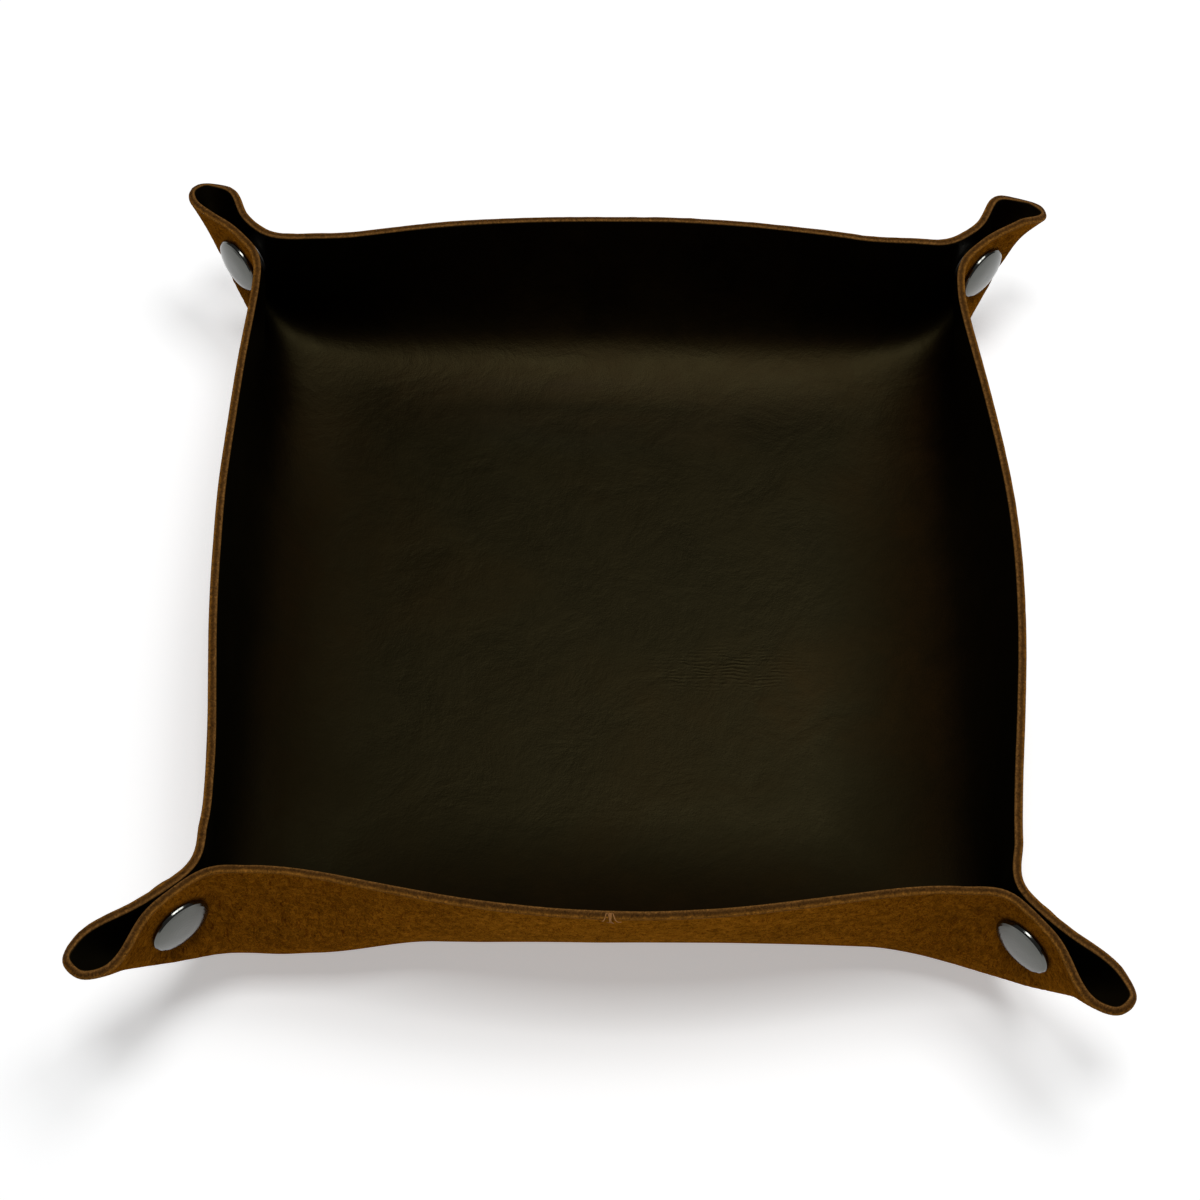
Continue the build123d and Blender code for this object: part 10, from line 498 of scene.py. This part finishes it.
def grain_leather():
    m, nt, p = nodes_of("grain_leather")
    vec = flat_coords(nt)
    broad = noise(nt, vec, 0.16, 4.0, 0.55, 0.5)
    cloudy = noise(nt, vec, 0.55, 6.0, 0.62, 0.4)
    middle = noise(nt, vec, 3.0, 6.0, 0.65, 0.6)
    fine = noise(nt, vec, 30.0, 3.0, 0.65)
    # olive brown in the middle; redder toward the walls, where a reddish sheen is painted into the colour
    tone = ramp(nt, broad, [(0.34, (0.0058, 0.0048, 0.0020)), (0.50, (0.0065, 0.0050, 0.0019)), (0.66, (0.0085, 0.0050, 0.0014))])
    xyz = node(nt, "ShaderNodeSeparateXYZ")
    nt.links.new(vec, xyz.inputs["Vector"])
    ax = product(nt, xyz.outputs["X"], 0.0, "ABSOLUTE")
    ay = product(nt, xyz.outputs["Y"], 0.0, "ABSOLUTE")
    far = product(nt, product(nt, ax, ay, "MAXIMUM"), product(nt, broad, 3.0), "ADD")
    # painted sheen: a brighter, redder colour in a band toward the walls
    painted_sheen_ring = ramp(nt, product(nt, far, 0.1), [(0.72, grey(0.0)), (0.96, grey(1.0))]).outputs["Color"]
    col = mixed(nt, tone.outputs["Color"], (0.0105, 0.0045, 0.0012), product(nt, painted_sheen_ring, 0.85))
    high = product(nt, ax, ay, "MAXIMUM")
    # painted shade: the colour darkens up the walls, past the floor's edge
    painted_wall_shade = ramp(nt, product(nt, high, 0.1), [(0.835, grey(1.0)), (0.93, grey(0.36))]).outputs["Color"]
    # painted shade: darker along the left and front of the floor, and a little toward the right wall, fitted to the
    # tones seen there
    left = ramp(nt, product(nt, product(nt, xyz.outputs["X"], 12.7, "ADD"), 0.0394), [(0.14, (0.36, 0.30, 0.16)), (0.42, grey(1.0)), (0.70, grey(1.0)), (0.92, (0.80, 0.70, 0.42))])
    front = ramp(nt, product(nt, product(nt, xyz.outputs["Y"], 12.7, "ADD"), 0.0394), [(0.16, (0.48, 0.44, 0.28)), (0.42, grey(1.0))])
    # painted sheen: a brighter, redder patch right of the middle of the floor
    painted_copper_sheen = patch(nt, vec, (5.2, -1.8), (3.6, 2.4), (0.15, 1.0))
    painted_copper_sheen = product(nt, painted_copper_sheen, ramp(nt, cloudy, [(0.35, grey(0.0)), (0.6, grey(1.0))]).outputs["Color"])
    col = mixed(nt, col, (0.0140, 0.0072, 0.0019), product(nt, painted_copper_sheen, 0.7))
    cloud = ramp(nt, cloudy, [(0.30, (0.62, 0.60, 0.58)), (0.70, (1.42, 1.36, 1.30))])
    col = mixed(nt, col, cloud.outputs["Color"], 1.0, "MULTIPLY")
    speck = ramp(nt, middle, [(0.3, grey(0.84)), (0.7, grey(1.16))])
    col = mixed(nt, col, speck.outputs["Color"], 1.0, "MULTIPLY")
    dust = ramp(nt, fine, [(0.3, grey(0.66)), (0.52, grey(1.0)), (0.72, grey(1.45))])
    col = mixed(nt, col, dust.outputs["Color"], 1.0, "MULTIPLY")
    col = mixed(nt, col, painted_wall_shade, 1.0, "MULTIPLY")
    # painted shade toward the left, and slightly toward the right wall
    col = mixed(nt, col, left.outputs["Color"], 1.0, "MULTIPLY")
    # painted highlight: a paler crescent where the floor turns up to the back wall, with a painted darker streak in it
    painted_highlight_crescent = patch(nt, vec, (0.3, 7.2), (6.6, 2.0), (0.75, 1.0))
    col = mixed(nt, col, (1.10, 1.18, 1.50), product(nt, painted_highlight_crescent, ramp(nt, cloudy, [(0.25, grey(0.55)), (0.6, grey(1.0))]).outputs["Color"]), "MULTIPLY")
    # painted shade: a darker streak between the painted highlights
    painted_dark_streak = patch(nt, vec, (-0.4, 6.95), (4.6, 0.34), (0.2, 1.0))
    col = mixed(nt, col, (0.40, 0.38, 0.40), painted_dark_streak, "MULTIPLY")
    # painted highlight: a second pale band, higher up the back
    painted_highlight_band = patch(nt, vec, (-1.2, 7.7), (4.6, 0.30), (0.1, 1.0))
    col = mixed(nt, col, (1.10, 1.15, 1.7), painted_highlight_band, "MULTIPLY")
    # painted shade toward the front of the floor
    col = mixed(nt, col, front.outputs["Color"], 1.0, "MULTIPLY")
    col = mixed(nt, col, grey(0.88), 1.0, "MULTIPLY")
    nt.links.new(col, p.inputs["Base Color"])
    rough = ramp(nt, cloudy, [(0.3, grey(0.38)), (0.7, grey(0.50))])
    sides = product(nt, ramp(nt, product(nt, high, 0.1), [(0.52, grey(0.0)), (0.80, grey(1.0))]).outputs["Color"],
                    ramp(nt, product(nt, product(nt, xyz.outputs["Y"], 12.7, "ADD"), 0.0394), [(0.62, grey(1.0)), (0.76, grey(0.0))]).outputs["Color"])
    nt.links.new(product(nt, rough.outputs["Color"], product(nt, sides, 0.30), "ADD"), p.inputs["Roughness"])
    p.inputs["Specular IOR Level"].default_value = 0.11
    p.inputs["Specular Tint"].default_value = (1.0, 0.82, 0.34, 1)
    cells = node(nt, "ShaderNodeTexVoronoi", feature="F1", Scale=21.0, Randomness=1.0)
    nt.links.new(vec, cells.inputs["Vector"])
    n1 = bump(nt, cells.outputs["Distance"], 0.14, 0.0001)
    n2 = bump(nt, fine, 0.22, 0.0001, n1)
    n3 = bump(nt, cloudy, 0.30, 0.0012, bump(nt, middle, 0.16, 0.0004, n2))
    # a few fine stretch wrinkles right of the middle of the floor
    wave = node(nt, "ShaderNodeTexWave", wave_type="BANDS", bands_direction="Y", Scale=2.9, Distortion=7.0, Detail=3.0)
    wave.inputs["Detail Scale"].default_value = 1.1
    mp = node(nt, "ShaderNodeMapping")
    mp.inputs["Scale"].default_value = (0.45, 1.0, 1.0)
    nt.links.new(vec, mp.inputs["Vector"])
    nt.links.new(mp.outputs["Vector"], wave.inputs["Vector"])
    crease = product(nt, wave.outputs["Fac"], patch(nt, vec, (3.2, -1.15), (2.3, 0.8), (0.15, 1.0)))
    crease = product(nt, crease, ramp(nt, noise(nt, vec, 2.2, 3.0, 0.6, 0.8), [(0.42, grey(0.0)), (0.62, grey(1.0))]).outputs["Color"])
    n4 = bump(nt, crease, 0.42, 0.0002, n3)
    nt.links.new(n4, p.inputs["Normal"])
    return m


def flesh_leather():
    m, nt, p = nodes_of("flesh_leather")
    vec = flat_coords(nt)
    broad = noise(nt, vec, 0.7, 4.0, 0.6, 0.4)
    mott = noise(nt, vec, 4.5, 6.0, 0.65, 0.8)
    nap = noise(nt, vec, 12.0, 6.0, 0.8, 1.8)
    base = ramp(nt, mott, [(0.28, (0.106, 0.0352, 0.0015)), (0.5, (0.164, 0.0570, 0.0030)), (0.75, (0.246, 0.090, 0.0064))])
    long = node(nt, "ShaderNodeMapping")
    long.inputs["Rotation"].default_value = (0, 0, 0.5)
    long.inputs["Scale"].default_value = (1.0, 0.42, 1.0)
    nt.links.new(vec, long.inputs["Vector"])
    fleck = ramp(nt, noise(nt, long.outputs["Vector"], 13.0, 3.0, 0.6, 1.6), [(0.36, (0.50, 0.36, 0.28)), (0.47, grey(1.0))])
    lint = ramp(nt, noise(nt, long.outputs["Vector"], 24.0, 4.0, 0.7, 2.2), [(0.60, grey(1.0)), (0.72, (1.75, 1.7, 1.5))])
    shade = ramp(nt, broad, [(0.3, grey(0.84)), (0.7, grey(1.14))])
    speck = ramp(nt, nap, [(0.34, grey(0.42)), (0.5, grey(1.0)), (0.64, grey(1.65))])
    col = mixed(nt, base.outputs["Color"], shade.outputs["Color"], 1.0, "MULTIPLY")
    col = mixed(nt, col, speck.outputs["Color"], 1.0, "MULTIPLY")
    col = mixed(nt, col, fleck.outputs["Color"], 0.8, "MULTIPLY")
    col = mixed(nt, col, lint.outputs["Color"], 0.8, "MULTIPLY")
    # paler in the middle of the front wall's outer face
    front_middle_paler = patch(nt, vec, (0.5, -11.0), (6.5, 5.0), (0.35, 1.0))
    col = mixed(nt, col, (1.22, 1.28, 1.5), front_middle_paler, "MULTIPLY")
    nt.links.new(col, p.inputs["Base Color"])
    p.inputs["Roughness"].default_value = 0.93
    p.inputs["Specular IOR Level"].default_value = 0.0
    p.inputs["Sheen Weight"].default_value = 0.01
    p.inputs["Sheen Roughness"].default_value = 0.5
    p.inputs["Sheen Tint"].default_value = (1.0, 0.5, 0.12, 1)
    n1 = bump(nt, nap, 0.7, 0.0004)
    n2 = bump(nt, mott, 0.30, 0.0004, n1)
    nt.links.new(n2, p.inputs["Normal"])
    return m


def edge_leather():
    m, nt, p = nodes_of("edge_leather")
    vec = flat_coords(nt)
    att = node(nt, "ShaderNodeAttribute", attribute_name="edge_h")
    # place on the cut: along the rim in the flat pattern, and through the thickness
    xyz = node(nt, "ShaderNodeSeparateXYZ")
    nt.links.new(vec, xyz.inputs["Vector"])
    deep = node(nt, "ShaderNodeCombineXYZ")
    nt.links.new(xyz.outputs["X"], deep.inputs["X"])
    nt.links.new(xyz.outputs["Y"], deep.inputs["Y"])
    nt.links.new(product(nt, att.outputs["Fac"], 0.1), deep.inputs["Z"])
    fib = noise(nt, deep.outputs["Vector"], 13.0, 5.0, 0.75, 1.4)
    ragged = noise(nt, deep.outputs["Vector"], 6.0, 4.0, 0.65, 0.8)
    shifted = product(nt, att.outputs["Fac"], product(nt, product(nt, ragged, -0.5, "ADD"), 0.9), "ADD")
    h = node(nt, "ShaderNodeMapRange")
    h.inputs["From Min"].default_value, h.inputs["From Max"].default_value = -1.0, 1.0
    nt.links.new(shifted, h.inputs["Value"])
    layers = ramp(nt, h.outputs["Result"], [
        (0.0, (0.150, 0.058, 0.006)), (0.12, (0.205, 0.086, 0.012)), (0.26, (0.125, 0.050, 0.007)), (0.42, (0.066, 0.027, 0.005)),
        (0.58, (0.062, 0.026, 0.005)), (0.74, (0.105, 0.045, 0.010)), (0.88, (0.175, 0.080, 0.019)), (1.0, (0.140, 0.064, 0.015))])
    speck = ramp(nt, fib, [(0.32, grey(0.35)), (0.5, grey(1.0)), (0.67, grey(1.9))])
    col = mixed(nt, layers.outputs["Color"], speck.outputs["Color"], 1.0, "MULTIPLY")
    skin = ramp(nt, att.outputs["Fac"], [(0.955, grey(0.0)), (1.0, grey(1.0))])
    col = mixed(nt, col, (0.012, 0.008, 0.003), skin.outputs["Color"])
    nt.links.new(col, p.inputs["Base Color"])
    p.inputs["Roughness"].default_value = 0.75
    p.inputs["Specular IOR Level"].default_value = 0.03
    nt.links.new(bump(nt, fib, 0.5, 0.0002), p.inputs["Normal"])
    return m


def nickel(name, tint, rough0, rough1, scratch):
    m, nt, p = nodes_of(name)
    tc = node(nt, "ShaderNodeTexCoord")
    p.inputs["Metallic"].default_value = 1.0
    cloud = node(nt, "ShaderNodeTexNoise", Scale=420.0, Detail=5.0, Roughness=0.6)
    nt.links.new(tc.outputs["Object"], cloud.inputs["Vector"])
    col = ramp(nt, cloud.outputs["Fac"], [(0.3, tuple(k * 0.93 for k in tint)), (0.7, tint)])
    nt.links.new(col.outputs["Color"], p.inputs["Base Color"])
    r = ramp(nt, cloud.outputs["Fac"], [(0.3, grey(rough0)), (0.7, grey(rough1))])
    nt.links.new(r.outputs["Color"], p.inputs["Roughness"])
    fine = node(nt, "ShaderNodeTexNoise", Scale=2600.0, Detail=3.0, Roughness=0.7)
    nt.links.new(tc.outputs["Object"], fine.inputs["Vector"])
    nt.links.new(bump(nt, fine.outputs["Fac"], scratch, 0.00003), p.inputs["Normal"])
    return m


GRAIN, FLESH, EDGE = grain_leather(), flesh_leather(), edge_leather()
CAP_METAL = nickel("cap_nickel", (0.118, 0.119, 0.110), 0.12, 0.19, 0.05)
SNAP_METAL = nickel("snap_nickel", (0.36, 0.35, 0.33), 0.36, 0.48, 0.12)

# ------------------------------------------------------------ pieces of leather


def build_piece(index, name):
    cells = LABEL == index
    if not cells.any():
        return None
    quads = [q_top[cells], q_low[cells]]
    mats = [np.zeros(len(quads[0]), int), np.ones(len(quads[1]), int)]
    rim_on = cells[rim_cell[:, 0], rim_cell[:, 1]]
    if rim_on.any():
        q = q_rim[:, rim_on].reshape(-1, 4)
        quads.append(q)
        mats.append(np.full(len(q), 2))
    caps = []
    # walls of the cut between this piece and its neighbours, inside the leather
    full = np.zeros((N + 2, N + 2), bool)
    full[1:-1, 1:-1] = cells
    # cells (i, j) and (i, j - 1) share the edge from (i, j) to (i + 1, j)
    for di, dj in ((-1, 0), (1, 0), (0, -1), (0, 1)):
        ii, jj = np.nonzero(cells)
        ni, nj = ii + di, jj + dj
        inside = (ni >= 0) & (ni < N) & (nj >= 0) & (nj < N)
        ii, jj, ni, nj = ii[inside], jj[inside], ni[inside], nj[inside]
        other = ~cells[ni, nj]
        ii, jj = ii[other], jj[other]
        if di == -1:
            a, b = (ii, jj), (ii, jj + 1)
        elif di == 1:
            a, b = (ii + 1, jj + 1), (ii + 1, jj)
        elif dj == -1:
            a, b = (ii + 1, jj), (ii, jj)
        else:
            a, b = (ii, jj + 1), (ii + 1, jj + 1)
        # a to b runs against the top face's own direction there
        caps.append(np.stack([TOP[a], TOP[b], LOW[b], LOW[a]], -1))
    caps = np.concatenate(caps) if caps else np.zeros((0, 4), int)
    gons = []
    for k in range(L):
        if rim_on[k] != rim_on[k - 1]:
            chain = [int(r[k]) for r in ROWS]
            gons.append(chain if rim_on[k] else chain[::-1])
    allq = np.concatenate(quads + [caps])
    mat = np.concatenate(mats + [np.full(len(caps), 0)])
    smooth = np.concatenate([np.ones(sum(len(q) for q in quads), bool), np.zeros(len(caps), bool)])
    used = np.unique(np.concatenate([allq.ravel()] + [np.array(g) for g in gons]))
    index_of = np.full(len(PTS), -1)
    index_of[used] = np.arange(len(used))
    faces = index_of[allq].tolist() + [[int(index_of[x]) for x in g] for g in gons]
    me = bpy.data.meshes.new(name)
    me.from_pydata((PTS[used] * MM).tolist(), [], faces)
    mat = np.concatenate([mat, np.full(len(gons), 0)]).astype(np.int32)
    smooth = np.concatenate([smooth, np.zeros(len(gons), bool)])
    me.polygons.foreach_set("material_index", mat)
    me.polygons.foreach_set("use_smooth", smooth)
    for mm in (GRAIN, FLESH, EDGE):
        me.materials.append(mm)
    uv = me.uv_layers.new(name="flat")
    vi = np.zeros(len(me.loops), np.int32)
    me.loops.foreach_get("vertex_index", vi)
    uv.data.foreach_set("uv", (UVS[used][vi] / (2 * HALF) + 0.5).astype(np.float32).ravel())
    att = me.attributes.new("edge_h", "FLOAT", "POINT")
    att.data.foreach_set("value", HH[used].astype(np.float32))
    me.update()
    # normals of the whole sheet, so that no seam shows where pieces meet
    tot = np.zeros(len(me.polygons), np.int32)
    me.polygons.foreach_get("loop_total", tot)
    per_loop = np.repeat(smooth, tot)
    pn = np.zeros(len(me.polygons) * 3, np.float32)
    me.polygons.foreach_get("normal", pn)
    ln = np.repeat(pn.reshape(-1, 3), tot, axis=0)
    ln[per_loop] = VN[used][vi][per_loop]
    me.normals_split_custom_set(ln.tolist())
    o = bpy.data.objects.new(name, me)
    bpy.context.scene.collection.objects.link(o)
    return o


made, number = {}, {}
for index, (name, body, other, stands_for, ends) in enumerate(PIECES):
    o = build_piece(index, name)
    if o is None:
        continue
    made[name] = o
    number[name] = index
    if other is None:
        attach(o, body)
        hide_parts(*stands_for)
    else:
        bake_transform(o)
        if stands_for:
            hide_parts(*stands_for)

# one cut of leather, 254 x 254 mm flat; each panel's neighbouring pieces are listed here but not used
for name in sorted(made):
    parts = name.split("_")
    if parts[1] not in ("base", "wall", "ear"):
        continue
    if parts[1] == "base":
        near = []
    elif parts[1] == "wall":
        near = ["leather_fold_%s_" % parts[2]]
    else:
        key = parts[2] + "_" + parts[3]
        near = ["leather_bend_" + key, "leather_curl_" + key, "leather_heel_" + key]

# ------------------------------------------------------------ a frayed tuft at the front rim
m, nt, p = nodes_of("fray_fibre")
tc = node(nt, "ShaderNodeTexCoord")
tone = node(nt, "ShaderNodeTexNoise", Scale=900.0, Detail=3.0, Roughness=0.6)
nt.links.new(tc.outputs["Object"], tone.inputs["Vector"])
nt.links.new(ramp(nt, tone.outputs["Fac"], [(0.3, (0.26, 0.11, 0.03)), (0.7, (0.48, 0.24, 0.09))]).outputs["Color"], p.inputs["Base Color"])
p.inputs["Roughness"].default_value = 0.85
p.inputs["Specular IOR Level"].default_value = 0.05
root_uv = (np.array(1.5), np.array(-126.6))
root = sheet(*root_uv)
ru, rv, rn = frame_of(root_uv[0], root_uv[1], sheet)
verts, faces = [], []
for dx, along, down, out_by, bow in ((-0.5, 1.4, 3.0, 0.2, 0.3), (0.3, 0.4, 2.6, 0.3, -0.3), (-0.1, -0.6, 2.0, 0.4, 0.3), (0.6, 2.0, 1.6, 0.3, 0.2), (-0.8, -1.0, 1.2, 0.2, -0.2), (0.1, 0.9, 3.4, 0.15, -0.25)):
    base = len(verts)
    start = root + ru * dx - rv * 0.75 + rn * 0.3
    for k in range(6):
        t = k / 5
        c = start + ru * (along * t + bow * math.sin(math.pi * t)) + rv * (down * max(0.0, t - 0.15) / 0.85) - rn * (1.5 * min(1.0, t / 0.25) + out_by * math.sin(math.pi * t))
        r = 0.13 * (1 - 0.5 * t)
        for q in range(5):
            a = 2 * math.pi * q / 5
            verts.append(((c + r * (math.cos(a) * rn + math.sin(a) * ru)) * MM).tolist())
    for k in range(5):
        for q in range(5):
            a, b = base + 5 * k + q, base + 5 * k + (q + 1) % 5
            faces.append((a, b, b + 5, a + 5))
    faces.append(tuple(base + q for q in range(5))[::-1])
    faces.append(tuple(base + 25 + q for q in range(5)))
me = bpy.data.meshes.new("leather_fray")
me.from_pydata(verts, [], faces)
me.materials.append(m)
me.polygons.foreach_set("use_smooth", [True] * len(me.polygons))
me.update()
fray = bpy.data.objects.new("leather_fray", me)
bpy.context.scene.collection.objects.link(fray)
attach(fray, "wall_front")

# ------------------------------------------------------------ metal
for corner in CORNERS:
    for kind, metal, slot in (("cap", CAP_METAL, "cap_metal"), ("socket", SNAP_METAL, "snap_metal"), ("stud", SNAP_METAL, "snap_metal"), ("post", SNAP_METAL, "snap_metal")):
        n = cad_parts[kind + "_" + corner]
        n.data.materials.clear()
        n.data.materials.append(metal)

# ------------------------------------------------------------ floor, light, camera
me = bpy.data.meshes.new("floor")
me.from_pydata([(-3, -3, 0), (3, -3, 0), (3, 3, 0), (-3, 3, 0)], [], [(0, 1, 2, 3)])
floor = bpy.data.objects.new("floor", me)
bpy.context.scene.collection.objects.link(floor)
m, nt, p = nodes_of("floor_paper")
p.inputs["Base Color"].default_value = (0.925, 0.935, 0.94, 1)
p.inputs["Emission Color"].default_value = (1, 1, 1, 1)
p.inputs["Emission Strength"].default_value = 0.385
p.inputs["Roughness"].default_value = 0.9
p.inputs["Specular IOR Level"].default_value = 0.1
me.materials.append(m)

world = bpy.data.worlds.new("studio")
bpy.context.scene.world = world
world.use_nodes = True
bg = world.node_tree.nodes["Background"]
bg.inputs["Color"].default_value = (1, 1, 1, 1)
bg.inputs["Strength"].default_value = 0.10


def area(name, place, aim, size, power, sy=None):
    d = bpy.data.lights.new(name, "AREA")
    d.energy = power
    d.shape = "RECTANGLE"
    d.size, d.size_y = size, sy or size
    o = bpy.data.objects.new(name, d)
    o.location = place
    o.rotation_mode = "QUATERNION"
    o.rotation_quaternion = (Vector(aim) - Vector(place)).to_track_quat("-Z", "Y")
    bpy.context.scene.collection.objects.link(o)
    return o


area("key", (0.42, 0.42, 1.5), (0, 0.0, 0), 0.7, 8.4, 0.5)
area("top", (0.0, 0.02, 1.8), (0, 0, 0), 0.55, 10.8)

cam_data = bpy.data.cameras.new("camera")
cam = bpy.data.objects.new("camera", cam_data)
bpy.context.scene.collection.objects.link(cam)
cam_data.sensor_fit = "HORIZONTAL"
cam_data.sensor_width = 36.0
cam_data.lens = 2373.45 / 1200 * 36.0
az, el, roll = math.radians(1.022), math.radians(59.056), math.radians(-0.284)
back = Vector((math.sin(az) * math.cos(el), -math.cos(az) * math.cos(el), math.sin(el)))
right = (-back).cross(Vector((0, 0, 1))).normalized()
upv = right.cross(-back)
r2 = right * math.cos(roll) + upv * math.sin(roll)
u2 = upv * math.cos(roll) - right * math.sin(roll)
from mathutils import Matrix
mat = Matrix(((r2.x, u2.x, back.x), (r2.y, u2.y, back.y), (r2.z, u2.z, back.z)))
cam.rotation_mode = "QUATERNION"
cam.rotation_quaternion = mat.to_quaternion()
cam.location = (3.528 * MM, -308.697 * MM, 529.255 * MM)
cam_data.clip_start, cam_data.clip_end = 0.01, 20
bpy.context.scene.camera = cam
bpy.context.scene.view_settings.view_transform = "Standard"

bpy.context.view_layer.update()
